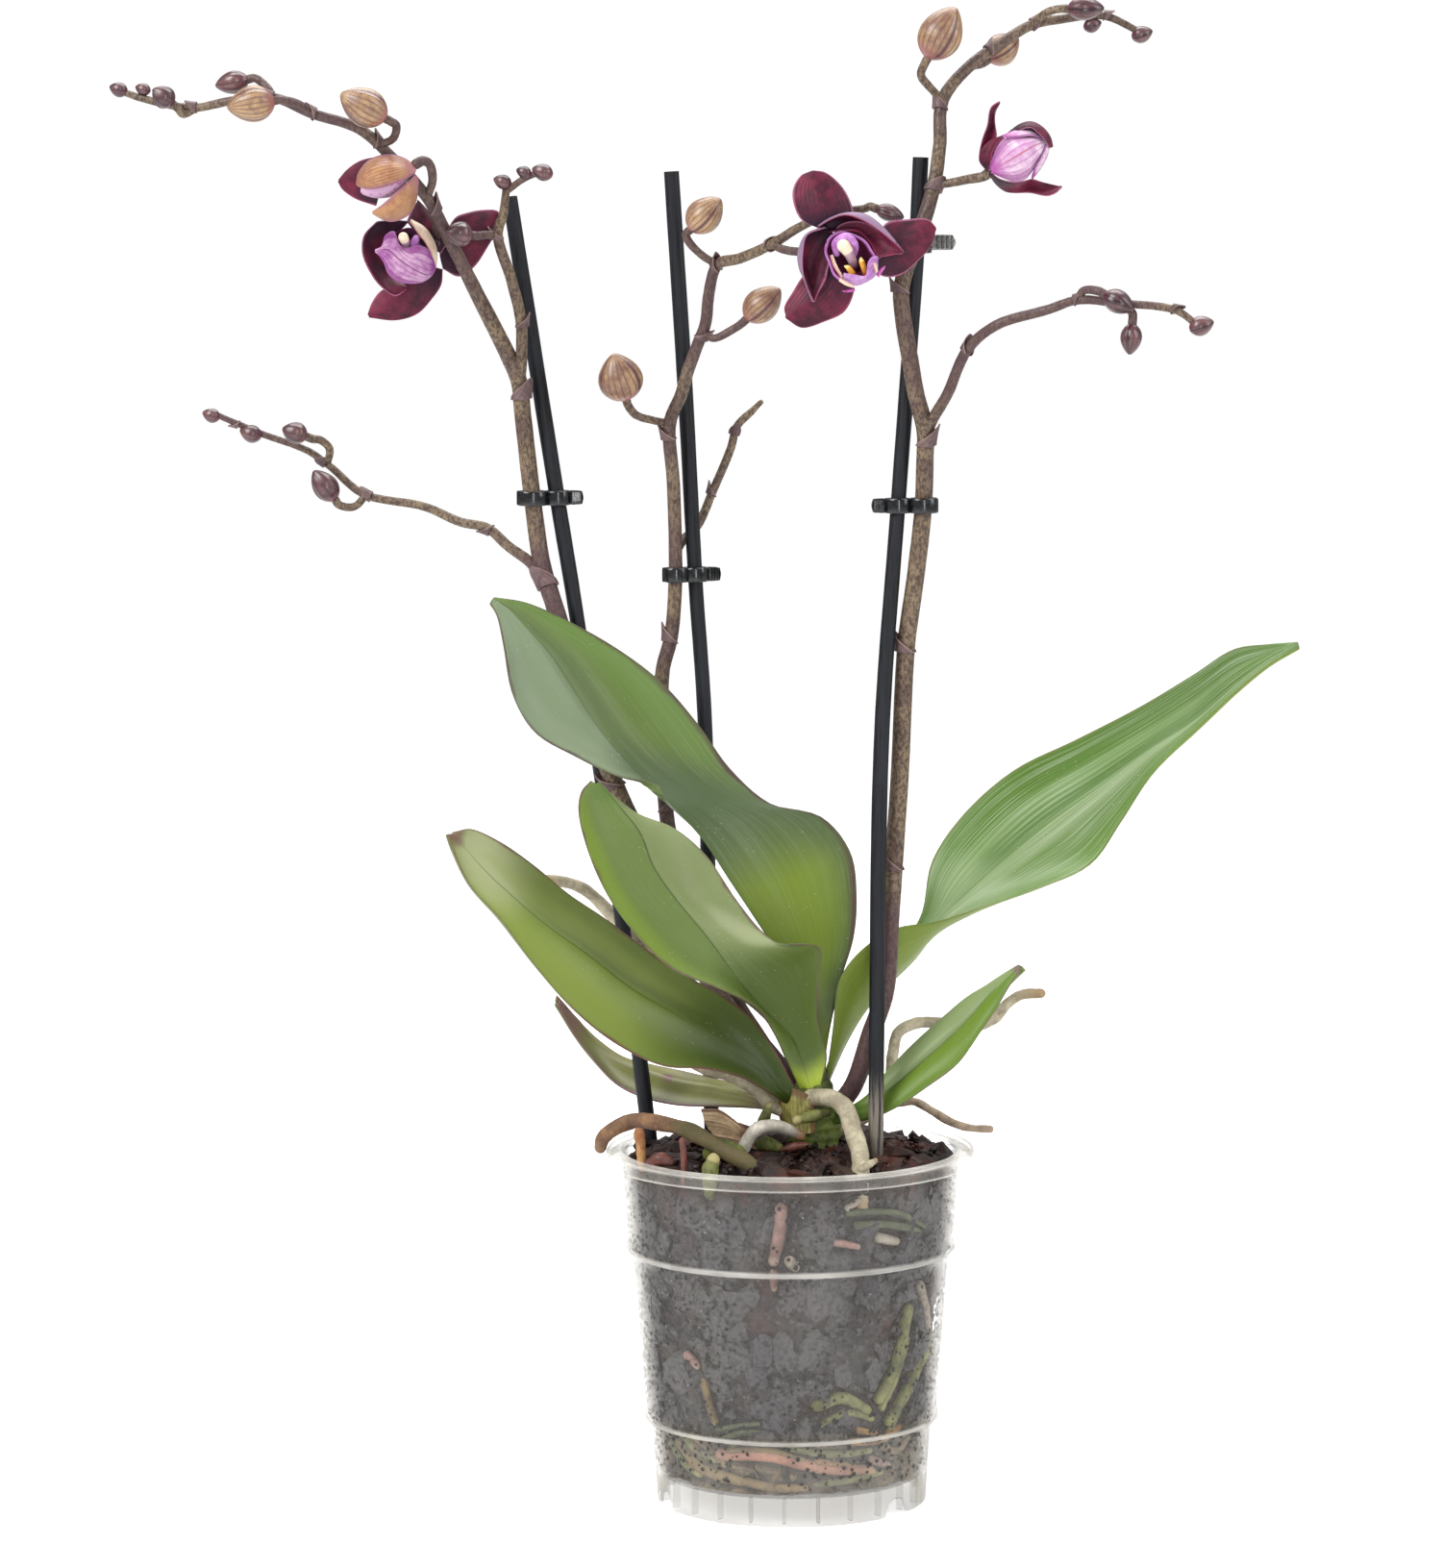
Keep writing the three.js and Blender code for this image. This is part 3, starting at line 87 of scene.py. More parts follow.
POT = {"height": 116, "rim": 60, "rim_depth": 4.2, "wall": 0.9, "floor": 9, "floor_sheet": 1.1}
FOOT_TIER = [(44, 0), (46, 26.8)]
MIDDLE_TIER = [(47.6, 28), (51.8, 82.2)]
TOP_TIER = [(53.2, 83.8), (54.9, 111)]
RIDGE = {"proud": 0.7, "tall": 1.0}
NOTCH = {"turns": (-70, 50, 170), "top": 5.5, "width": 12}
DRAIN = {"count": 6, "ring": 29, "radius": 4}
FOOT_RIBS = {"count": 24, "deep": 2.4, "thick": 0.8}

STICKS = {
    "stick_left": [(-90, 38, 425), (-75, 28.5, 327), (-69, 25, 289), (-55, 19, 191), (-47, 16, 124), (-36, 13, 22)],
    "stick_middle": [(-37, 41, 433), (-33, 39, 363), (-30, 37, 300), (-27, 35, 249), (-26, 36, 134), (-23, 31, 22)],
    "stick_right": [
        (43, -6, 437), (41.7, -6.7, 409), (35.4, -9.3, 326), (30, -12, 254), (28, -15, 160), (27, -16, 22),
    ],
}
STICK_RADIUS = 2.5

# Flower stems: each run is a route with its radius from start to end.
STEMS = {
    "spike_left": [
        ([(5, 4, 131), (-7, 8, 146), (-23, 13, 164), (-41, 15, 201), (-56, 16, 232), (-67, 17, 264),
          (-76, 21, 292), (-80, 25, 305), (-83, 27, 326), (-86, 26, 355), (-87, 25, 365), (-90, 22, 373),
          (-99, 14, 392), (-108, 6, 411), (-115, 0, 425), (-127, -5, 439), (-136, -8, 447), (-151, -10, 452),
          (-163, -10, 457), (-177, -9, 456), (-189, -7, 454), (-205, -4, 457), (-211, -2, 459)],
         [(0, 3.3), (0.5, 2.7), (0.62, 1.9), (0.8, 1.6), (1, 1.1)]),
        ([(-87, 25, 364), (-86, 21, 374), (-86, 19, 385), (-89, 15, 399), (-93, 12, 413), (-91, 11, 420),
          (-90, 9, 428)], [(0, 2), (0.7, 1.7), (1, 1.2)]),
        ([(-90, 9, 427), (-84, 6, 431), (-79, 5, 433)], [(0, 1.2), (1, 1)]),
        ([(-80, 25, 301), (-84, 26, 306), (-91, 28, 311), (-98, 30, 317), (-107, 32, 319), (-119, 35, 324),
          (-139, 38, 328), (-150, 40, 337), (-157, 41, 342), (-173, 42, 348), (-187, 42, 354)],
         [(0, 1.9), (0.5, 1.4), (1, 1)]),
    ],
    "spike_middle": [
        ([(4, 11, 130), (-9, 18, 148), (-25, 22, 174), (-36, 26, 203), (-40, 28, 223), (-41, 31, 250),
          (-41, 33, 269), (-38, 34, 281), (-36.5, 35, 300), (-36.5, 35, 312), (-37, 33, 332), (-38, 30, 351),
          (-34, 28, 361), (-32, 27, 368), (-29, 26, 376), (-26, 24, 384), (-25, 20, 393), (-22, 13, 403),
          (-15, 6, 405), (-4, -5, 410), (4, -12, 415), (13, -17, 419), (25, -20, 421)],
         [(0, 2.7), (0.45, 2.2), (0.8, 1.8), (1, 1.2)]),
        ([(-36.5, 35, 308), (-34, 41, 312), (-29, 44, 317), (-24, 46, 328), (-18, 48, 342), (-16, 49, 349),
          (-11, 50, 354), (-8, 50, 357)], [(0, 1.6), (0.8, 1.3), (1, 0.8)]),
    ],
    "spike_right": [
        ([(15, 2, 128), (21, -1, 137), (26, -5, 153), (31, -7.5, 169), (32.5, -7, 191), (34, -6, 211),
          (36, -6, 241), (38, -8, 281), (41, -9, 303), (43.5, -9, 325), (44, -11, 340), (44, -13, 350),
          (41, -15, 362), (39, -15, 374), (37, -15, 386), (36.5, -15, 396), (40, -15, 407), (44, -14, 418),
          (47, -12, 428), (49, -9, 441), (50, -6, 455), (59, -1, 466), (69, 4, 473), (79, 8, 479),
          (89, 11, 481), (103, 14, 482), (114, 14, 477)],
         [(0, 3.2), (0.4, 2.8), (0.6, 2.6), (0.75, 2.1), (0.9, 1.6), (1, 1.1)]),
        ([(44, -13, 349), (47, -15, 355), (51, -18, 362), (57, -23, 376), (66, -28, 384), (82, -35, 389),
          (91, -38, 392), (104, -42, 391), (121, -47, 389), (127, -49, 385)], [(0, 1.9), (0.5, 1.6), (1, 1.1)]),
    ],
}

# Bracts clasp each stem's nodes: where one sits, which way it points, its length.
BRACTS = {
    "spike_left": [
        ((-79, 25, 299), (-0.6, 0.1, 1), 12), ((-87, 25, 361), (0.2, -0.3, 1), 11),
        ((-114, 1, 422), (0.1, -0.2, 1), 9), ((-131, -6, 443), (0.2, 0, 1), 7), ((-86, 19, 384), (0.2, -0.2, 1), 7),
        ((-98, 30, 317), (-1, 0.2, 0.6), 7), ((-138, 38, 328), (-1, 0, 0.6), 7), ((-150, -10, 452), (-1, 0, 0.5), 7),
        ((-163, -10, 457), (-1, 0, 0.2), 6), ((-188, -7, 454), (-1, 0, 0.4), 6), ((-93, 12, 412), (-0.4, -0.2, 1), 7),
        ((-152, 40, 338), (-1, 0, 0.7), 6), ((-181, 42, 352), (-1, 0, 0.5), 5), ((-57, 16, 234), (-0.4, 0, 1), 10),
    ],
    "spike_middle": [
        ((-38, 34, 280), (-0.1, 0.1, 1), 10), ((-38, 31, 348), (-1, 0, 0.6), 8), ((-27, 25, 379), (1, -0.2, 0.5), 7),
        ((-22, 13, 402), (-0.8, 0, 1), 7), ((-24, 46, 327), (0.4, 0.1, 1), 7), ((-5, -4, 409), (1, -0.4, 0.6), 6),
        ((-17, 48, 347), (0.3, 0, 1), 6), ((-40, 28, 224), (0, 0.1, 1), 9),
    ],
    "spike_right": [
        ((34, -6, 210), (0.1, 0, 1), 12), ((37.5, -8, 279), (-0.1, 0, 1), 11), ((44, -12.5, 347), (0.8, -0.4, 1), 11),
        ((50, -6.5, 453), (-0.6, 0, 1), 8), ((66, 3, 471), (0.4, 0.5, 1), 7), ((57, -23, 376), (0.5, -0.2, 1), 8),
        ((36.5, -15, 395), (-0.4, 0, 1), 8), ((46.5, -12, 427), (0.6, -0.2, 1), 8), ((80, 8, 479), (0.7, -0.2, 1), 7),
        ((91, -38, 392), (0.6, 0, 1), 6), ((120, -47, 389), (1, 0, 0.1), 6), ((104, 14, 482), (1, 0, 0.2), 5),
    ],
}

# Unopened buds at the tips: centre and radius.
TIP_BUDS = {
    "spike_left": [
        ((-213, -2, 460), 2.6), ((-205, -4, 460), 2.2), ((-200, -3, 459), 2), ((-91, 8, 430), 2.6),
        ((-84, 5, 433), 2.2), ((-78, 5, 433), 3), ((-189, 42, 354), 2.6), ((-176, 41, 348), 3.2),
    ],
    "spike_middle": [],
    "spike_right": [((99, 14, 479), 2.6), ((115, 14, 476), 3), ((129, -49.5, 384), 3.4)],
}

# Buds: the stem, the stalk's route off it, the base, the tip, the width and the colouring.
BUDS = {
    "bud_left_1": ("spike_left", [(-188, -7, 454), (-192, -8, 452)], (-195, -9, 455), (-201, -12, 460), 7.5, "maroon"),
    "bud_left_2": ("spike_left", [(-163, -10, 457), (-165, -8, 460)], (-171, -5, 463), (-182, -3, 461), 7.5, "maroon"),
    "bud_left_3": ("spike_left", [(-151, -10, 452), (-155, -13, 455)], (-162, -16, 456), (-177, -19, 454), 12, "tan"),
    "bud_left_4": (
        "spike_left", [(-130, -6, 442), (-125, -10, 444), (-124, -12, 448)], (-127, -14, 450), (-141, -18, 458), 12.6,
        "tan",
    ),
    "bud_left_shoot": ("spike_left", [(-93, 12, 413), (-97, 8, 413)], (-101, 4, 413), (-109, -1, 414), 8.2, "maroon"),
    "bud_branch_left_1": (
        "spike_left", [(-151, 40, 338), (-150, 38, 343), (-153, 36, 346)], (-157, 35, 347), (-165, 33, 350), 7.5,
        "maroon",
    ),
    "bud_branch_left_2": (
        "spike_left", [(-138, 38, 328), (-142, 37, 324)], (-148, 36, 326), (-155, 34, 336), 8.6, "maroon",
    ),
    "bud_middle_1": (
        "spike_middle", [(-38, 31, 351), (-43, 29, 352), (-49, 26, 354)], (-52, 24, 359), (-56, 18, 374), 15, "tan",
    ),
    "bud_middle_2": (
        "spike_middle", [(-22, 13, 403), (-27, 12, 406), (-31, 12, 410)], (-31, 12, 414), (-21, 8, 424), 11.6, "tan",
    ),
    "bud_middle_3": (
        "spike_middle", [(-26, 24, 380), (-23, 21, 379), (-17, 19, 382)], (-13, 18, 385), (-2, 14, 395), 11.4, "tan",
    ),
    "bud_middle_4": ("spike_middle", [(20, -19, 420), (25, -20, 421)], (28, -21, 421), (37, -23, 418), 5.6, "maroon"),
    "bud_right_1": (
        "spike_right", [(50, -6, 455), (46, -9, 459), (43, -10, 463)], (45, -11, 468), (54, -13, 484), 14.4, "tan",
    ),
    "bud_right_2": ("spike_right", [(57, -1, 465), (60, 5, 466)], (65, 8, 468), (75, 11, 475), 10.6, "tan"),
    "bud_right_3": ("spike_right", [(79, 8, 479), (84, 4, 483)], (90, 2, 484), (102, 1, 484), 7.8, "maroon"),
    "bud_branch_right_1": (
        "spike_right", [(91, -38, 392), (93, -39, 395)], (99, -42, 394), (108, -46, 389), 7.6, "maroon",
    ),
    "bud_branch_right_2": (
        "spike_right", [(104, -42, 391), (108, -43, 388)], (108, -43, 385), (107, -44, 375), 7, "maroon",
    ),
}

# Leaves as three lines from base to tip: one margin, the rib, the other margin.
LEAVES = {
    "leaf_1": (
        [(6, 6, 139), (4, 10, 154), (2, 16, 165), (2, 20, 178), (0, 24, 188), (-9, 26, 204), (-22, 22, 218),
         (-41, 8, 234), (-55, 0, 238), (-69, -3, 245), (-82, -4, 253), (-89, -3, 265), (-92, 0, 281),
         (-94, 4, 290), (-96, 6, 294)],
        [(9, 3, 139), (7, 3, 153), (3, 4, 167), (-4, 5, 180), (-11, 6, 191), (-19, 7, 203), (-29, 7, 218),
         (-42, 6, 231), (-53, 6, 242), (-62, 6, 253), (-70, 6, 266), (-77, 6, 277), (-85, 6, 286),
         (-91, 7, 292), (-96, 7, 295)],
        [(11, 4, 139), (13, 4, 153), (17, 3, 171), (21, 0, 185), (22, -1, 199), (20, 0, 213), (11, 3, 224),
         (-6, 10, 228), (-19, 15, 239), (-29, 17, 253), (-41, 17, 267), (-55, 16, 278), (-72, 14, 288),
         (-85, 11, 294), (-95, 8, 296)],
    ),
    "leaf_2": (
        [(3, -2, 136), (-1, -6, 145), (-5, -12, 155), (-11, -20, 165), (-24, -28, 173), (-38, -36, 180),
         (-50, -42, 193), (-58, -45, 205), (-64, -46, 219), (-67, -45, 232), (-66, -42, 238), (-63, -40, 241)],
        [(7, -3, 135), (4, -4, 144), (1, -5, 152), (-7, -8, 160), (-17, -12, 173), (-27, -18, 188),
         (-37, -24, 201), (-44, -28, 212), (-48, -31, 223), (-53, -33, 230), (-57, -35, 235), (-61, -38, 240)],
        [(10, -3, 136), (12, -5, 147), (9, -9, 160), (9, -13, 173), (10, -17, 184), (4, -18, 185.5), (-3, -15, 185),
         (-9, -12, 189), (-17, -12, 199), (-27, -13, 214), (-37, -16, 223), (-48, -20, 228), (-55, -27, 234), (-60, -35, 239)],
    ),
    "leaf_3": (
        [(-1, -6, 131), (-7, -12, 136), (-15, -20, 142), (-27, -31, 147), (-41, -43, 150), (-56, -53, 159),
         (-69, -60, 171), (-81, -64, 186), (-91, -65, 200), (-101, -62, 211), (-106, -58, 221), (-108, -54, 226)],
        [(3, -5, 131), (-3, -9, 136), (-10, -12, 144), (-22, -18, 153), (-36, -25, 163), (-51, -32, 173),
         (-65, -38, 185), (-78, -42, 195), (-89, -45, 205), (-97, -47, 213), (-103, -48, 220), (-107, -51, 225)],
        [(5, -5, 132), (1, -8, 138), (-4, -9, 148), (-14, -10, 162), (-29, -12, 172), (-44, -15, 182),
         (-59, -19, 194), (-71, -24, 203), (-82, -29, 213), (-92, -35, 221), (-101, -41, 226), (-106, -48, 226)],
    ),
    "leaf_4": (
        [(1, 6, 127), (-13, 13, 127), (-26, 16, 127), (-37, 19, 127), (-48, 22, 129), (-57, 26, 133),
         (-65, 31, 141), (-71, 36, 148), (-77, 42, 157)],
        [(2, 8, 127), (-13, 17, 130), (-25, 23, 132), (-36, 28, 133), (-47, 33, 136), (-56, 37, 139),
         (-64, 41, 144), (-70, 43, 151), (-77, 44, 158)],
        [(3, 10, 128), (-11, 20, 133), (-22, 27, 134), (-35, 34, 136), (-45, 41, 137), (-55, 46, 139),
         (-63, 49, 144), (-70, 48, 151), (-77, 45, 160)],
    ),
    "leaf_5": (
        [(10, 6, 136), (15, 14, 148), (19, 19, 159), (27, 23, 167), (37, 27, 178), (44, 32, 188), (48, 40, 205),
         (59, 47, 220), (76, 52, 234), (97, 54, 244), (118, 52, 255), (135, 46, 266), (148, 40, 275),
         (159, 35, 277), (168, 31, 278)],
        [(11, 4, 136), (17, 6, 149), (23, 8, 159), (30, 11, 167), (40, 15, 176), (49, 19, 187), (60, 23, 197),
         (73, 27, 208), (87, 30, 219), (103, 32, 230), (120, 33, 242), (134, 33, 251), (148, 32, 263),
         (158, 31, 271), (168, 30, 277)],
        [(12, 1, 139), (14, -1, 155), (16, -3, 171), (22, -3, 180), (34, -2, 188), (48, 1, 190), (66, 5, 195),
         (83, 9, 200), (99, 13, 207), (109, 18, 220), (120, 23, 236), (135, 27, 250), (149, 29, 263),
         (159, 29, 271), (168, 29, 276)],
    ),
    "leaf_6": (
        [(15, -3, 124), (26, -11, 127), (34, -14, 131), (44, -16, 138), (54, -18, 146), (61, -19, 156),
         (67, -19, 165), (71, -19, 172), (74, -18, 176)],
        [(15, -2, 126), (25, -8, 130), (33, -8, 136), (42, -9, 144), (51, -10, 152), (59, -12, 160),
         (65, -13, 167), (70, -15, 172), (75, -17, 177)],
        [(16, -1, 127), (25, -6, 134), (32, -4, 142), (40, -2, 150), (50, -2, 159), (58, -4, 166),
         (64, -7, 170), (69, -11, 174), (74, -16, 178)],
    ),
}
LEAF = {"rib": 2.2, "margin": 1.1, "dome": 0.13, "groove": 0.45, "rows": 72, "half": 14}

CROWN = {"at": (8, 2), "profile": [(7, 104), (9, 116), (8.6, 124), (7, 133), (4.6, 141), (2, 145)]}
DRY_SHEATH = (
    [(-3, -4, 124), (-4, -5, 130), (-3, -6, 136)],
    [(2, -9, 122), (1, -9, 130), (1, -8, 137)],
    [(8, -9, 122), (8, -9, 129), (7, -8, 134)],
)

# Roots above the bark: radius and route.
ROOTS = {
    "root_rim_left": (2.7, [(-8, -38, 107), (-12, -35, 115), (-23, -30, 121), (-32, -22, 125), (-41, -12, 126),
                            (-51, -3, 125.5), (-57, -2, 123), (-61, 0, 119.5), (-62, 2, 116)]),
    "root_grey": (3, [(7, -5, 133), (14, -13, 134), (18, -17, 131), (20, -20, 125), (22, -27, 119), (22, -38, 115),
                      (22, -44, 110), (22, -44.5, 104)]),
    "root_hook": (2.2, [(-17, -16, 106), (-16, -18, 113), (-15, -21, 120), (-11, -23, 126), (-6, -22, 127),
                        (-1, -18, 125), (3, -13, 122)]),
    "root_under_leaf": (2.4, [(4, -1, 126), (-5, -4, 130), (-11, -6, 136), (-19, -7, 141), (-26, -8, 143),
                              (-31, -8, 145)]),
    "root_left_aerial": (2.2, [(4, 8, 131), (-8, 12, 139), (-22, 20, 150), (-38, 27, 165), (-49, 29, 179),
                               (-58, 28, 189), (-67, 25, 198), (-74, 22, 201), (-81, 19, 202)]),
    "root_right_arch": (2, [(12, 6, 124), (24, 9, 127), (33, 12, 135), (34, 15, 144), (36, 17, 151), (42, 18, 154),
                            (50, 18, 154), (59, 16, 153), (67, 13, 156), (71, 10, 161), (76, 6, 165), (82, 2, 166)]),
    "root_rim_right": (1.5, [(14, 9, 118), (24, 15, 122), (33, 17, 127), (41, 17, 128), (47, 16, 125),
                             (53, 15, 121.5), (59, 15, 119.5), (66, 15, 119)]),
}

# Roots against the wall inside: radius, and [turn from the front in degrees, height].
WALL_ROOTS = {
    "wall_root_vertical": (2.1, [(-4, 105), (-5, 96), (-7, 88)]),
    "wall_root_green_outer": (2.1, [(74, 56), (62, 47), (52, 38), (44, 32)]),
    "wall_root_green_inner": (2.1, [(52, 68), (49, 58), (44, 48), (38, 40)]),
    "wall_root_green_short": (2.1, [(10, 40), (20, 42), (32, 37)]),
    "wall_root_pink": (2.1, [(-33, 22), (-11, 23), (11, 19), (37, 16)]),
    "wall_root_olive": (2.1, [(-58, 23), (-46, 17), (-36, 15), (-24, 14)]),
}
THIN_WALL_ROOTS = [
    (1.5, "green", [(51, 58), (46, 47), (39, 37)]),
    (1.4, "green", [(74, 52), (56, 43), (44, 26)]),
    (1.2, "green", [(12, 34), (22, 37), (34, 34)]),
    (1.1, "moss", [(20, 103), (30, 103), (42, 101), (56, 95)]),
    (1.3, "moss", [(23, 99), (37, 98), (53, 94)]),
    (1.7, "pale", [(33, 94), (41, 92)]),
    (1.3, "pink", [(15, 94), (24, 92)]),
    (1.7, "pale", [(59, 75), (65, 67), (70, 59)]),
    (1.4, "tan", [(-38, 46), (-36, 39), (-33, 33)]),
    (1.5, "pink", [(-7, 84), (-7, 79)]),
    (1.9, "pale", [(-1, 88), (1, 86)]),
    (1.5, "pink", [(-46, 54), (-41, 51)]),
    (1.0, "moss", [(-30, 28), (-20, 31), (-12, 31)]),
    (0.9, "moss", [(-32, 31), (-22, 33), (-14, 34)]),
    (1.1, "orange", [(27, 31), (36, 29)]),
    (1.2, "green", [(-2, 26), (10, 24), (23, 23), (35, 23)]),
    (1.0, "tan", [(-28, 24), (-10, 25), (4, 22)]),
    (1.3, "orange", [(11, 21), (24, 19)]),
    (1.3, "pink", [(36, 20), (46, 17)]),
    (1.4, "orange", [(25, 27), (38, 26), (50, 29)]),
    (1.3, "green", [(-56, 27), (-47, 22.5), (-36, 20)]),
    (1.1, "green", [(10, 13.5), (24, 14), (42, 15)]),
    (1.2, "green", [(-65, 22), (-56, 17), (-45, 14)]),
    (1.5, "tan", [(-21, 14), (-9, 12.6), (5, 12.4)]),
    (1.3, "tan", [(44, 23), (52, 21), (60, 24)]),
    (1.2, "tan", [(-48, 27), (-40, 24), (-31, 19)]),
    (1.2, "pale", [(20, 105), (24, 107)]),
]

# Stubs, nubs and scraps on top of the bark: finish, radii from end to end, and route.
STUBS = [
    ("nub_orange", (1.9, 1.6, 1.2), [(-49, -18, 124), (-48.5, -18, 119), (-48, -18, 110)]),
    ("nub_red", (0.9, 1.1, 0.9), [(-35, -37, 125), (-34.6, -38, 121), (-34.5, -37, 110)]),
    ("nub_green", (2.2, 2.7, 2.0), [(-26, -44, 109), (-26, -45, 117), (-25, -45, 120)]),
    ("nub_red", (1.6, 2.3, 1.5), [(-46, -25, 115), (-42, -26, 117), (-39, -27, 116)]),
    ("nub_green", (1.3, 2.0, 1.5), [(12, -13, 129.5), (7, -16, 129), (2, -18, 128)]),
    ("nub_red", (0.8, 1.5, 0.7), [(-3, -18, 118.5), (1, -19, 119.5), (5.5, -18, 120)]),
    ("root_grey", (1.1, 1.3, 0.9), [(22, -42, 116), (25, -43, 118), (26.5, -43, 119)]),
    ("root_grey", (1.2, 1.0, 0.5), [(20.5, -44, 113), (19, -46, 110), (18, -47, 108)]),
    ("moss", (2.6, 3.4, 2.4), [(-26, -22, 118), (-22, -25, 120), (-17, -26, 119)]),
    ("moss", (1.6, 2.4, 1.6), [(-12, -17, 119), (-8, -18, 120.5), (-4, -17, 119)]),
    ("nub_green", (1.5, 1.9, 1.2), [(-10, -7, 124), (-8, -8, 128), (-7, -8, 131)]),
]
HUSK = (
    [(-29, -13, 131), (-23, -15, 131), (-17, -17, 127), (-12, -18, 123)],
    [(-28, -18, 128), (-21, -20, 127), (-14, -21, 123)],
    [(-24, -20, 122), (-17, -21, 121), (-11, -21, 119)],
)

# Each clip: its stick, its stem, its height and the stem's radius there.
CLIPS = {
    "clip_left": ("stick_left", "spike_left", 327, 3.3),
    "clip_middle": ("stick_middle", "spike_middle", 301, 2.4),
    "clip_right": ("stick_right", "spike_right", 326, 3.1),
    "clip_top": ("stick_right", "spike_right", 409, 3.4),
}
CLIP = {"tall": 4.8, "sheet": 1.3, "play": 0.8, "tab": 4.5}
TOP_LEVER = {"span": ((43.5, -8, 410), (54, -9.5, 410)), "thick": 1.8, "tall": 5, "slots": 4}

# Flowers: the stem and stalk that carry each, where it opens from, and its facing.
FLOWERS = {
    "bloom_a": {
        "stem": "spike_left",
        "stalk": [(-113, 2, 421), (-113, 9, 417), (-113, 15, 413)],
        "at": (-114, 13, 410),
        "facing": (-0.35, -0.93, -0.05),
    },
    "bloom_b": {
        "stem": "spike_middle",
        "stalk": [(-5, -4, 410), (-1, -10, 408), (8, -18, 407), (16, -23, 407)],
        "at": (20, -29, 407),
        "facing": (0.05, -0.99, -0.05),
    },
}
HALF_OPEN = {
    "half_open_c": {
        "stem": "spike_right",
        "stalk": [(47, -12, 428), (53, -14, 429), (58, -16, 430)],
        "base": (64, -18, 432),
        "tip": (78.5, -25, 444.5),
        "width": 12,
    },
    "half_open_d": {
        "stem": "spike_left",
        "stalk": [(-115, 0, 425), (-113, -4, 431), (-114, -7, 436)],
        "base": (-117.5, -9, 436),
        "tip": (-135, -17, 427),
        "width": 11.5,
    },
}

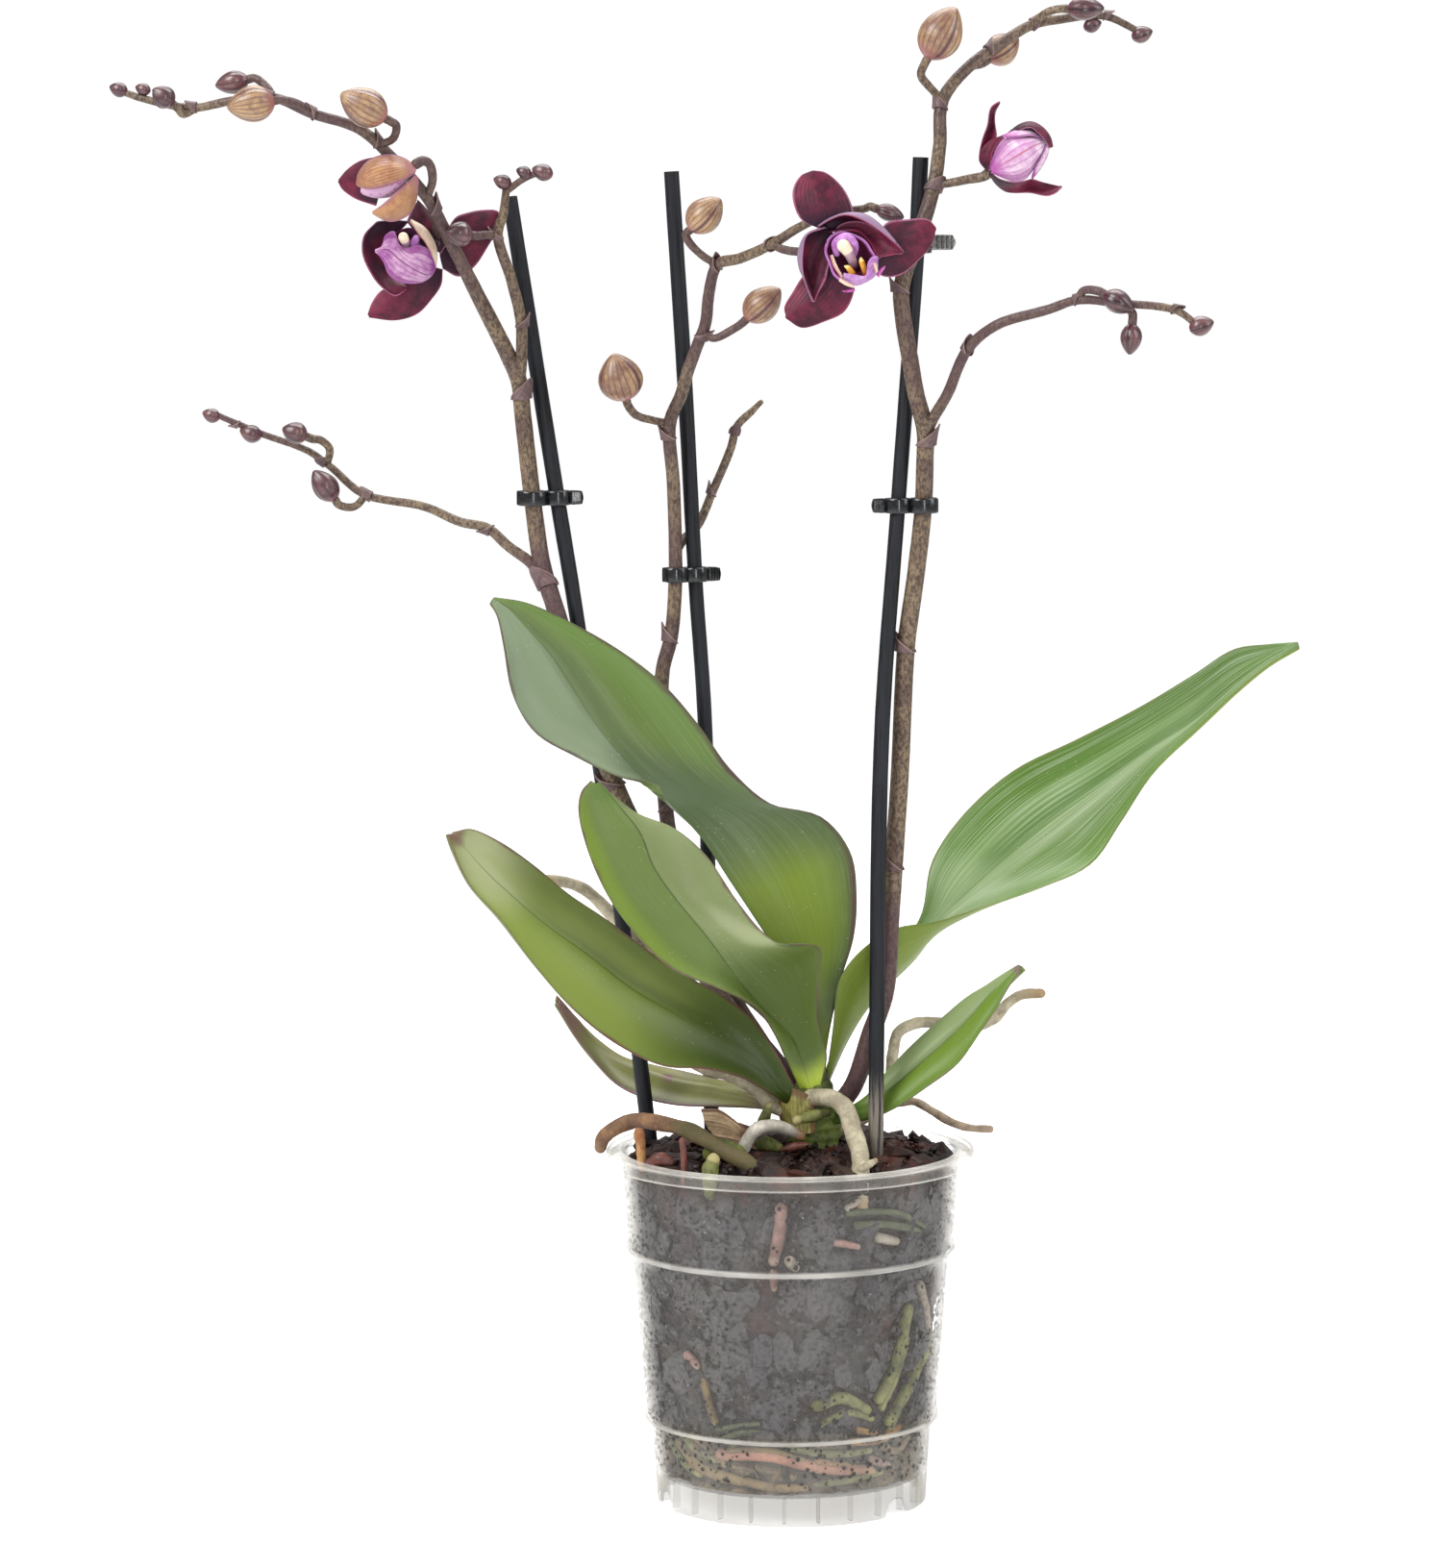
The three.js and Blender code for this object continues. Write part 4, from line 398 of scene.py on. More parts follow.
# Petals, each a fan of lines from its foot to its tip: right, up and forward
# from the place that its flower opens from. They are grouped by finish.
PETALS = {
    "bloom_a": {
        "tepal": [
            [[(-8.5, -14, -1), (-16.5, -14.5, -2), (-20, -18.5, -2), (-21.5, -22.5, -1)],
             [(-3, -7, 0), (-7, -14.5, 0), (-13, -20, -1), (-21, -23, -1)],
             [(3, -8, -2), (2.5, -13, -2), (-0.5, -17.5, -2), (-5.5, -22.5, -3), (-12.5, -24.5, -3), (-21, -23.5, -1)]],
            [[(-7.5, 7.5, 0), (-11.5, 3, -1), (-14, -1.5, -1), (-13, -6, -1), (-10.5, -10.5, 0), (-8.5, -14, 4)],
             [(-13, 8, 1), (-17, 4, 1), (-18.5, -0.5, 1), (-17, -6.5, 2), (-14.5, -11.5, 3), (-8, -14, 5)],
             [(-18, 7.5, 4), (-22, 3, 6), (-22.5, -3, 6), (-19, -10.5, 7), (-16, -14, 7), (-12, -16.5, 7), (-8, -14, 5)]],
            [[(2, -0.5, -3), (7, 8.5, -5), (10.5, 10, -6), (16, 11, -6), (21, 10.5, -5), (21.5, 7.5, -5)],
             [(2, -3.5, -3), (9, 0.5, -4), (16, 5, -4.5), (21.5, 7.5, -5)],
             [(3, -8, -3), (8, -10.5, -4), (13, -7.5, -5), (17.5, -1, -6), (21, 5, -6), (21.5, 7, -5)]],
            [[(-8.5, 7.5, -1), (-7, 11, -2), (-5, 14, -3)],
             [(-3, 0.5, 0), (-1.5, 7, -1), (-5, 14, -3)],
             [(2.5, -3, -2), (5.5, 2.5, -4), (3.5, 5, -4), (-0.5, 9.5, -4), (-5, 14.5, -3)]],
        ],
        "lip": [
            [[(-18, -1.5, 9), (-16, -0.5, 9.5), (-15, 3, 9), (-12, 4.5, 8), (-10.5, 0.5, 9), (-7.5, -1, 10), (-5, 0, 10),
              (-1.5, -1, 10), (0, -3, 10), (1, -7, 8)],
             [(-18, -2, 9.5), (-14, -1.5, 11), (-9.5, -5, 13), (-5, -8, 13), (-1, -9.5, 11), (1, -7.5, 8.5)],
             [(-18, -2, 9), (-15.5, -5.5, 10), (-14, -9.5, 9), (-10.5, -12, 8), (-6.5, -12.5, 8), (-3, -12, 8),
              (0, -9.5, 8), (1, -7.5, 8)]],
        ],
        "cavity": [
            [[(-12, 4, 6), (-7.5, 5.5, 4), (-4, 4, 4), (-2.5, 0.5, 6)],
             [(-12, 1.5, 3), (-7.5, 2, 1), (-3.5, 0.5, 3), (-1, -1.5, 5)],
             [(-10.5, -2, 5), (-7, -3, 3), (-3, -2.5, 5), (0, -3.5, 7)]],
        ],
        "cream": [
            [[(-7, 7.5, 5), (-4.5, 3.5, 7), (-2, 0.5, 8.5), (-0.5, -3, 9), (0.5, -7, 8)],
             [(-7, 7.5, 4), (-3.5, 5, 6), (-0.5, 1.5, 7.5), (1, -3, 8), (1, -7, 7.5)],
             [(-7, 8, 2), (-2.5, 5.5, 3), (0.5, 1, 4), (1.5, -3.5, 5), (1, -7.5, 6)]],
        ],
    },
    "bloom_b": {
        "tepal": [
            [[(-7, 1, 1), (-4, 8.5, 1), (3, 10, 1.5), (10, 5.5, 2), (11.5, 2, 2)],
             [(-5, -1, 0), (0, 4, 0), (5, 4, 0), (8.5, 3, 1), (11, 1, 2)],
             [(-4, -4, 0), (2, -3, 0), (7, -3.5, 0), (9, -2, 1), (10.5, 0, 2)]],
            [[(-10.5, 8, -1), (-15.5, 10.5, -2), (-18, 16, -3), (-18, 20.5, -3.5), (-15.5, 24.5, -3), (-12, 26, -2)],
             [(-7, 8, 0), (-8, 14, 0.5), (-10, 21, -1), (-12, 26, -2)],
             [(-1.5, 8, -1), (1, 12, -2), (-0.5, 17.5, -2.5), (-3.5, 22, -3), (-8, 25.5, -3), (-12, 26, -2)]],
            [[(8.5, 5, -2), (11.5, 9.5, -3), (18, 10.5, -3), (24.5, 10.5, -2), (27, 8, -1)],
             [(7.5, -2, 0), (14, 0.5, 0), (21.5, 4, 0), (27, 7.5, -1)],
             [(7.5, -5.5, -1), (10.5, -7.5, -2), (16, -7, -2), (21.5, -2.5, -2), (25.5, 2, -2), (27, 7, -1)]],
            [[(-8.5, -2, -1), (-14.5, -6.5, -2), (-18.5, -12.5, -3), (-21, -17, -2), (-20.5, -20, -1)],
             [(-3.5, -3.5, 0), (-7, -10, 0), (-13, -16.5, 0), (-20.5, -20.5, -1)],
             [(1, -7.5, -1), (1, -12.5, -2), (-2, -18.5, -2), (-8, -21.5, -3), (-15.5, -23.5, -2), (-20.5, -20.5, -1)]],
            [[(-3.5, 5.5, 2), (-5.5, 0, 1), (-7, -4.5, 1), (-8, -8.5, 2), (-10, -12, 3), (-11.5, -15, 5)],
             [(-6, 6.5, -1), (-10.5, 3.5, -1), (-13, -2, -1), (-13, -7.5, 0), (-12, -15, 4.5)],
             [(-8.5, 8, 0), (-14, 5.5, 2), (-16.4, 0, 2), (-16.1, -4, 2), (-14.4, -8, 3), (-12, -15, 5)],
             [(-8, 8, 4), (-13.8, 5.8, 6), (-15, 1, 6), (-15.1, -5.5, 6), (-14, -10, 6), (-12, -15, 5.5)]],
            [[(-7, 6.5, 1), (-2, 7, 2), (2.5, 6.5, 3), (6.5, 2.5, 3), (8.5, -1, 4), (14, -0.5, 5), (16.5, 0, 5)],
             [(-8.5, 8, -1), (-4.5, 9.5, -1), (1, 9.5, -1), (6.5, 6.5, 0), (10.5, 3.5, 2), (14, 1, 4), (16.5, 0, 5)],
             [(-9.8, 8.7, 1), (-6, 11, 2), (-1, 12.4, 2), (4.5, 12, 3), (9, 9, 4), (12.8, 4.8, 5), (16.5, 0, 5)],
             [(-10.5, 8, 3), (-6.5, 10.5, 5), (-2, 12, 5), (3, 10.5, 6), (8, 7.5, 6.5), (12.5, 4, 7), (16.5, 0.5, 5.5)]],
        ],
        "lobe": [
            [[(-2.5, -6, 12), (1, -6.5, 12.5), (4.5, -7, 12.5), (5, -3, 12), (6.5, -1, 11), (8, -1, 10)],
             [(-2.5, -7, 12.5), (1, -8.5, 13.5), (4.5, -7.5, 13.5), (6.5, -5.5, 13), (7.5, -3, 12), (8, -1, 10.5)],
             [(-2.5, -7.5, 12), (1, -10, 12), (4.5, -9, 12.5), (7.5, -7, 12), (8, -5.5, 11), (8, -1.5, 10.5)]],
        ],
        "cream": [
            [[(-3.5, -7.5, 13.5), (-2, -8.5, 14), (1, -10, 14)], [(-4, -8.5, 13), (-1.5, -10, 13.5), (0.5, -10.5, 13.5)]],
            [[(6.5, -3, 14), (7, -4.5, 14), (7.5, -6, 13.5)], [(7.5, -3, 13.5), (8, -4.5, 13.5), (8, -5.5, 13)]],
            [[(-6.5, -0.5, 10), (-5.5, -4, 11), (-3, -7.5, 12)], [(-6, -0.5, 9.5), (-4.5, -4, 10.5), (-3, -7, 11.5)]],
        ],
        "tip": [
            [[(1, -11, 10), (-1.5, -11.5, 11), (-3, -11.5, 12)], [(1, -11.5, 9), (-0.5, -12, 10), (-2.5, -12, 11.5)]],
            [[(8, -7, 9), (8.5, -5.5, 10), (10.5, -4, 12)], [(8.5, -7.5, 8), (9.5, -6, 9.5), (10.5, -4.5, 11.5)]],
        ],
    },
    "half_open_c": {
        "tepal": [
            [[(0, 0.5, 0), (1.5, 6, -0.5), (5, 11.5, 0.5), (10, 15, 2.5), (15, 14, 4.5)],
             [(0, 0, -0.5), (4, 4, -3.4), (8, 8, -3.8), (12, 11.5, -1), (15.2, 13.6, 4)],
             [(0.5, -0.5, 0), (6, 0.5, -0.5), (11, 4, -0.2), (14.5, 9, 1.5), (15.5, 13, 4)]],
            [[(0, 0, 0), (-3, 3.5, 3), (-3, 6.5, 4), (-2, 11, 5), (-0.5, 15, 6), (0.5, 20.5, 7), (3.5, 22.5, 6)],
             [(0, 0.5, 1), (-1, 4.5, 1), (-0.5, 8.5, 2), (0.5, 13, 3), (1.5, 18.5, 4), (3.5, 22.5, 6)],
             [(0, 0.5, 2), (0, 4.5, 4), (1, 8, 5), (2.5, 11, 5), (2, 16, 4), (2, 19.5, 5), (3.5, 22.5, 6)]],
            [[(2.5, 8, -2), (8, 13.6, -1), (10.5, 15.2, 0), (13, 15.6, 0), (15.6, 14.6, 1), (18, 12.6, 1),
              (19.6, 9.6, 2), (19.6, 8, 3)],
             [(3.5, 8, 4), (8.5, 13.9, 6), (13, 15.5, 8), (16.2, 14, 9), (18.7, 11, 9), (19.8, 8, 7)],
             [(4, 8, 7), (9, 12.8, 9), (12.8, 14, 11), (15, 12.4, 11.5), (17.4, 9.8, 11), (18.8, 7.6, 9)]],
            [[(0.5, 0, 3), (3.5, -2, 8), (8, -3, 9), (11.5, -2.5, 8), (13.5, -2, 6), (17, -3, 4), (23, -4.5, 5)],
             [(0.5, -0.5, 1), (3.5, -4, 4), (8, -5, 5), (13, -4.5, 3), (18, -5.5, 4), (23, -4.5, 5)],
             [(0.5, -0.5, 0), (2.5, -3.5, 1), (5.5, -6, 3), (8, -6.5, 4), (13, -6.5, 5), (18.5, -7.5, 7), (21, -6.5, 8),
              (23, -4.5, 6)]],
            [[(0, 1, 8), (0.5, 3, 8), (1, 6.5, 9), (3.5, 10, 9), (6.5, 11, 9)],
             [(0, 0.5, 6), (-0.5, 3.5, 6), (0.5, 7, 6), (2.5, 10, 6), (5.5, 11.5, 7)],
             [(-0.5, 0.5, 3), (-2.5, 3.5, 4), (-2.5, 7, 5), (0, 10, 5), (4, 11.5, 6)]],
        ],
        "petal": [
            [[(0, 1.5, 7), (1, 5, 9), (2.5, 8.5, 10), (5, 11, 10), (9, 11, 10.5), (13.5, 11, 10), (17.5, 10, 7)],
             [(1, 0.5, 8), (5.5, 3.5, 13), (10.5, 6.5, 14), (14, 8.5, 12), (18, 9.5, 7.5)],
             [(0.5, 0, 7), (3.5, -1.5, 9), (8, -3, 9), (11.5, -2, 9), (14, 1, 9), (16.5, 4.5, 8), (18, 9, 7)]],
            [[(4, 11.5, 7), (6.5, 12.6, 7), (9.5, 13.6, 6), (12.6, 13.8, 5), (14.8, 12.8, 4), (17.4, 9.8, 4)],
             [(4.5, 11, 10), (7.5, 11.8, 10), (11, 12.6, 10), (13.8, 12.2, 9), (16, 11, 8), (17.6, 9.4, 6)],
             [(5.5, 11, 11.5), (9, 11, 11.5), (13, 11.5, 11.5), (15.5, 11, 10), (18, 9.5, 7)]],
            [[(13.5, -2, 6), (16, 1, 8), (18, 4.5, 8), (19, 8, 6)], [(13.5, -1.5, 9), (15, 2, 10), (17, 5.5, 9.5), (18.5, 8.5, 8)],
             [(13.5, -1, 9.5), (14.5, 2, 10.5), (16.5, 5.5, 10), (18, 9, 8.5)]],
        ],
    },
    "half_open_d": {
        "tan_sepal": [
            [[(-0.5, -1.5, 0), (-3.5, 1.5, 1), (-9, 3, 1), (-15, 1.5, 1), (-18.5, -2.5, 3), (-19, -6, 5)],
             [(-0.5, -2, 2), (-4.5, -1.5, 8), (-9.5, -2, 11), (-14, -3.5, 11.5), (-17.5, -5.5, 9), (-19, -6.5, 6)],
             [(-0.5, -3, 4), (-2.5, -4.5, 8), (-8.5, -7, 10.5), (-13, -8, 10.5), (-16.5, -8, 9), (-18.5, -7, 6.5)]],
            [[(-0.5, -3.5, 4), (-3.5, -6.5, 8), (-7, -9.5, 9.5), (-11, -13, 9), (-14, -15, 7)],
             [(0, -5, 3), (-2, -10, 7), (-5, -13, 9), (-9.5, -15.5, 9), (-14, -15.5, 7)],
             [(0, -6.5, 0), (-0.5, -12, 1), (-3, -16.5, 2), (-8.5, -18.5, 4), (-12.5, -17, 6), (-13.5, -16, 6.5)]],
        ],
        "tepal": [
            [[(-11.5, 2.5, -3), (-18.5, 1, -4), (-23, -2, -4), (-25.5, -5, -3)],
             [(-11.5, -5, -2), (-18, -5, -3), (-23, -5.5, -3), (-25.5, -5.5, -3)],
             [(-13.5, -13.5, -2), (-20.5, -11, -4), (-24.5, -8, -4), (-25.5, -6, -3)]],
        ],
    },
}
LIP_CUP = {
    "rim": [(-7.5, 4.5, 7), (-8.5, 1, 8), (-7, -3.5, 9), (-5.5, -7, 10), (-2.5, -9, 11), (1, -10, 11.5), (4.5, -8.5, 12),
            (7.5, -6, 11), (8, -2, 10), (6.5, 1, 8), (4.5, 4, 7), (1, 6, 6), (-3, 7, 5), (-6, 6, 6)],
    "foot": (-0.5, -0.5, 0),
}

# Fleshy parts inside the open flowers: finish, radii from end to end, and route.
FLESH = {
    "bloom_a_column_head": ("cap", "column", "bloom_a_column", (1.6, 1.5, 1.1), [(-9, 2.5, 10), (-8.5, 1, 8.5), (-7, -1, 5)]),
    "bloom_a_hood": ("hood", "lip", None, (1.3, 1.5, 1.2), [(-5, -1, 6), (-5.5, 0.5, 8), (-5, 2, 7)]),
    "bloom_b_column_head": (
        "cap", "column", "bloom_b_column", (2.1, 1.6, 1.3), [(-2.5, 2.5, 9.5), (-1, 0.5, 9), (0, -1.5, 8), (1, -4, 5)],
    ),
    "bloom_b_hood": (
        "hood", "lip", None, (1.1, 1.5, 1.1), [(-4.5, 0, 7), (-5, 3, 8), (-3.5, 4.5, 8.5), (-1, 5, 8.5), (1, 3, 8), (1, 0, 6)],
    ),
    "bloom_b_horn_left": ("horn", "lip", None, (0.35, 0.9, 1.1), [(-2, -4, 10.5), (-1, -4.5, 10), (0.5, -6.5, 9)]),
    "bloom_b_horn_right": ("horn", "lip", None, (0.35, 0.9, 1), [(3, -1.5, 10.5), (3.2, -2.5, 10), (4.5, -6, 9)]),
}
FURLED_FOOT = 4.4

# ---------------------------------------------------------------- small maths


def unit(vector):
    vector = np.asarray(vector, dtype=float)
    return vector / max(np.linalg.norm(vector), 1e-9)


def unit_rows(vectors):
    return vectors / np.maximum(np.linalg.norm(vectors, axis=-1, keepdims=True), 1e-9)


def mix(a, b, t):
    return a + (b - a) * t


def smooth(points, steps):
    """A centripetal Catmull-Rom curve through the points, as the solids use."""
    given = np.asarray(points, dtype=float)
    line = np.vstack([2 * given[0] - given[1], given, 2 * given[-1] - given[-2]])
    spots = []
    for k in range(steps + 1):
        where = k / steps * (len(given) - 1)
        i = min(int(where), len(given) - 2)
        t = where - i
        p0, p1, p2, p3 = line[i:i + 4]
        d0, d1, d2 = (max(math.sqrt(np.linalg.norm(b - a)), 1e-4) for a, b in ((p0, p1), (p1, p2), (p2, p3)))
        out = ((p1 - p0) / d0 - (p2 - p0) / (d0 + d1) + (p2 - p1) / d1) * d1
        into = ((p2 - p1) / d1 - (p3 - p1) / (d1 + d2) + (p3 - p2) / d2) * d1
        spots.append(p1 + out * t + (3 * (p2 - p1) - 2 * out - into) * t ** 2 + (2 * (p1 - p2) + out + into) * t ** 3)
    return np.array(spots)


def read_along(pairs, t):
    return np.interp(t, [pair[0] for pair in pairs], [pair[1] for pair in pairs])


def bore(height):
    """Inside radius of the pot at one height."""
    tier = next((one for one in (FOOT_TIER, MIDDLE_TIER, TOP_TIER) if height <= one[1][1] + 0.6), TOP_TIER)
    (low, start), (high, end) = tier
    return mix(low, high, min(max((height - start) / (end - start), 0), 1)) - POT["wall"]


# ---------------------------------------------------------------- meshes


class Shape:
    """Points, faces and named marks on the points, gathered for one piece."""

    def __init__(self):
        self.points = []
        self.faces = []
        self.marks = []
        self.count = 0

    def add(self, points, faces, **marks):
        points = np.asarray(points, dtype=float).reshape(-1, 3)
        self.faces += [[corner + self.count for corner in face] for face in faces]
        self.points.append(points)
        self.marks.append((len(points), marks))
        self.count += len(points)
        return self

    def skin(self, rings, closed=True, **marks):
        """A closed skin over rings of equal count, its ends filled."""
        rings = np.asarray(rings, dtype=float)
        rows, count, _ = rings.shape
        faces = []
        for i in range(rows - 1):
            for j in range(count):
                a, b = i * count + j, i * count + (j + 1) % count
                faces.append((a, b, b + count, a + count))
        points = rings.reshape(-1, 3)
        if closed:
            faces += [(rows * count, (j + 1) % count, j) for j in range(count)]
            last = (rows - 1) * count
            faces += [(rows * count + 1, last + j, last + (j + 1) % count) for j in range(count)]
            points = np.vstack([points, rings[0].mean(0), rings[-1].mean(0)])
            marks = {
                name: np.concatenate([
                    np.broadcast_to(value, (rows, count)).ravel(),
                    [np.mean(np.broadcast_to(value, (rows, count))[0])],
                    [np.mean(np.broadcast_to(value, (rows, count))[-1])],
                ])
                for name, value in marks.items()
            }
        return self.add(points, faces, **marks)

    def mesh(self, name):
        data = bpy.data.meshes.new(name)
        data.from_pydata(np.vstack(self.points).tolist(), [], self.faces)
        for mark in sorted({mark for _, marks in self.marks for mark in marks}):
            column = np.concatenate([
                np.broadcast_to(np.asarray(marks.get(mark, 0.0), dtype=float).ravel(), (count,))
                for count, marks in self.marks
            ])
            data.attributes.new(mark, "FLOAT", "POINT").data.foreach_set("value", column)
        data.update()
        return data


def outwards(data):
    work = bmesh.new()
    work.from_mesh(data)
    bmesh.ops.recalc_face_normals(work, faces=work.faces)
    work.to_mesh(data)
    work.free()


def add_object(name, data):
    thing = bpy.data.objects.new(name, data)
    bpy.context.collection.objects.link(thing)
    return thing


def finish(name, data, material, slot, replaces=(), flat=False, angle=40):
    """Moves a mesh in millimetres to its place in metres, and enters it as a piece."""
    data.transform(Matrix.Translation(AXIS) @ Matrix.Scale(MM, 4))
    if material:
        data.materials.clear()
        data.materials.append(material)
    data.polygons.foreach_set("use_smooth", [not flat] * len(data.polygons))
    if not flat and hasattr(data, "set_sharp_from_angle"):
        data.set_sharp_from_angle(angle=math.radians(angle))
    piece = add_object(name, data)
    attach(piece, "root")
    if replaces:
        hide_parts(*replaces)
    return piece


def finish_shape(name, shape, material, slot, replaces=(), **options):
    data = shape.mesh(name)
    outwards(data)
    return finish(name, data, material, slot, replaces, **options)


# ---------------------------------------------------------------- Geometry Nodes


class Tree:
    """Builds a Geometry Nodes tree with named inputs."""

    def __init__(self, name, **inputs):
        self.tree = bpy.data.node_groups.new(name, "GeometryNodeTree")
        face = self.tree.interface
        face.new_socket("Geometry", in_out="INPUT", socket_type="NodeSocketGeometry")
        kinds = {int: "NodeSocketInt", float: "NodeSocketFloat", "material": "NodeSocketMaterial",
                 "object": "NodeSocketObject", "collection": "NodeSocketCollection"}
        for label, kind in inputs.items():
            face.new_socket(label.replace("_", " "), in_out="INPUT", socket_type=kinds[kind])
        face.new_socket("Geometry", in_out="OUTPUT", socket_type="NodeSocketGeometry")
        self.source = self.tree.nodes.new("NodeGroupInput")

    def given(self, label):
        return self.source.outputs[label]

    def node(self, kind, settings=None, **inputs):
        made = self.tree.nodes.new(kind)
        for key, value in (settings or {}).items():
            setattr(made, key, value)
        for key, value in inputs.items():
            socket = self.socket(made, key.replace("_", " "))
            if isinstance(value, bpy.types.NodeSocket):
                self.tree.links.new(value, socket)
            else:
                socket.default_value = value
        return made

    @staticmethod
    def socket(made, label):
        return next(one for one in made.inputs if one.enabled and label in (one.name, one.identifier))

    def close(self, geometry):
        """Ends a tree with real geometry and its material."""
        real = self.node("GeometryNodeRealizeInstances", Geometry=geometry)
        painted = self.node("GeometryNodeSetMaterial", Geometry=real.outputs[0], Material=self.given("Material"))
        self.node("NodeGroupOutput", Geometry=painted.outputs[0])
        return self.tree


def grow(source, tree, values):
    """Runs a tree over a mesh and hands back the plain mesh that it makes."""
    carrier = add_object("carrier", source)
    modifier = carrier.modifiers.new("grow", "NODES")
    modifier.node_group = tree
    for item in tree.interface.items_tree:
        if item.in_out == "INPUT" and item.name in values:
            modifier[item.identifier] = values[item.name]
    graph = bpy.context.evaluated_depsgraph_get()
    made = bpy.data.meshes.new_from_object(carrier.evaluated_get(graph), depsgraph=graph)
    carrier.modifiers.clear()
    bpy.data.objects.remove(carrier)
    return made


def tube_tree():
    """A round tube of changing radius along a line of points, a little uneven."""
    tree = Tree("tube along a route", Sides=int, Bump_height=float, Bump_size=float, Seed=float, Material="material")
    line = tree.node("GeometryNodeMeshToCurve", Mesh=tree.given("Geometry"))
    ring = tree.node("GeometryNodeCurvePrimitiveCircle", Resolution=tree.given("Sides"), Radius=1.0)
    radius = tree.node("GeometryNodeInputNamedAttribute", {"data_type": "FLOAT"}, Name="radius")
    tube = tree.node(
        "GeometryNodeCurveToMesh", Curve=line.outputs[0], Profile_Curve=ring.outputs[0],
        Scale=radius.outputs["Attribute"], Fill_Caps=True,
    )
    fine = tree.node("ShaderNodeTexNoise", {"noise_dimensions": "4D"}, W=tree.given("Seed"), Detail=3.0)
    place = tree.node("GeometryNodeInputPosition")
    size = tree.node("ShaderNodeMath", {"operation": "DIVIDE"}, Value=1.0)
    tree.tree.links.new(tree.given("Bump size"), size.inputs[1])
    tree.tree.links.new(place.outputs[0], fine.inputs["Vector"])
    tree.tree.links.new(size.outputs[0], fine.inputs["Scale"])
    swing = tree.node("ShaderNodeMath", {"operation": "SUBTRACT"})
    tree.tree.links.new(fine.outputs["Fac"], swing.inputs[0])
    swing.inputs[1].default_value = 0.5
    lift = tree.node("ShaderNodeMath", {"operation": "MULTIPLY"})
    tree.tree.links.new(swing.outputs[0], lift.inputs[0])
    tree.tree.links.new(tree.given("Bump height"), lift.inputs[1])
    normal = tree.node("GeometryNodeInputNormal")
    push = tree.node("ShaderNodeVectorMath", {"operation": "SCALE"})
    tree.tree.links.new(normal.outputs[0], push.inputs[0])
    tree.tree.links.new(lift.outputs[0], push.inputs["Scale"])
    moved = tree.node("GeometryNodeSetPosition", Geometry=tube.outputs[0], Offset=push.outputs[0])
    return tree.close(moved.outputs[0])


def scatter_tree():
    """Strews the things of a collection over a surface, turned and sized at random."""
    tree = Tree(
        "strew over a surface", Things="collection", Density=float, Seed=int, Smallest=float, Largest=float,
        Tilt=float, Sink=float, Patchiness=float, Patch_size=float, Material="material",
    )
    spots = tree.node(
        "GeometryNodeDistributePointsOnFaces", Mesh=tree.given("Geometry"), Density=tree.given("Density"),
        Seed=tree.given("Seed"),
    )
    things = tree.node(
        "GeometryNodeCollectionInfo", Collection=tree.given("Things"), Separate_Children=True, Reset_Children=True,
    )
    patches = tree.node("ShaderNodeTexNoise", Detail=2.0)
    place = tree.node("GeometryNodeInputPosition")
    size = tree.node("ShaderNodeMath", {"operation": "DIVIDE"}, Value=1.0)
    tree.tree.links.new(tree.given("Patch size"), size.inputs[1])
    tree.tree.links.new(place.outputs[0], patches.inputs["Vector"])
    tree.tree.links.new(size.outputs[0], patches.inputs["Scale"])
    keep = tree.node("FunctionNodeCompare", {"data_type": "FLOAT", "operation": "GREATER_THAN"})
    tree.tree.links.new(patches.outputs["Fac"], keep.inputs["A"])
    tree.tree.links.new(tree.given("Patchiness"), keep.inputs["B"])
    back = tree.node("ShaderNodeVectorMath", {"operation": "SCALE"})
    tree.tree.links.new(spots.outputs["Normal"], back.inputs[0])
    tree.tree.links.new(tree.given("Sink"), back.inputs["Scale"])
    sunk = tree.node("GeometryNodeSetPosition", Geometry=spots.outputs["Points"], Offset=back.outputs[0])
    spin = tree.node("FunctionNodeRandomValue", {"data_type": "FLOAT_VECTOR"}, Seed=tree.given("Seed"))
    most = tree.node("ShaderNodeCombineXYZ", Z=math.pi)
    least = tree.node("ShaderNodeCombineXYZ", Z=-math.pi)
    tilt_back = tree.node("ShaderNodeMath", {"operation": "MULTIPLY"})
    tree.tree.links.new(tree.given("Tilt"), tilt_back.inputs[0])
    tilt_back.inputs[1].default_value = -1.0
    for axis in ("X", "Y"):
        tree.tree.links.new(tree.given("Tilt"), most.inputs[axis])
        tree.tree.links.new(tilt_back.outputs[0], least.inputs[axis])
    tree.tree.links.new(least.outputs[0], tree.socket(spin, "Min"))
    tree.tree.links.new(most.outputs[0], tree.socket(spin, "Max"))
    own = tree.node("FunctionNodeEulerToRotation", Euler=spin.outputs[0])
    turned = tree.node(
        "FunctionNodeRotateRotation", {"rotation_space": "LOCAL"}, Rotation=spots.outputs["Rotation"],
        Rotate_By=own.outputs[0],
    )
    big = tree.node(
        "FunctionNodeRandomValue", {"data_type": "FLOAT"}, Min=tree.given("Smallest"), Max=tree.given("Largest"),
        Seed=tree.given("Seed"),
    )
    strewn = tree.node(
        "GeometryNodeInstanceOnPoints", Points=sunk.outputs[0], Instance=things.outputs[0], Pick_Instance=True,
        Selection=keep.outputs[0], Rotation=turned.outputs[0],
    )
    tree.tree.links.new(next(o for o in big.outputs if o.enabled), strewn.inputs["Scale"])
    return tree.close(strewn.outputs[0])


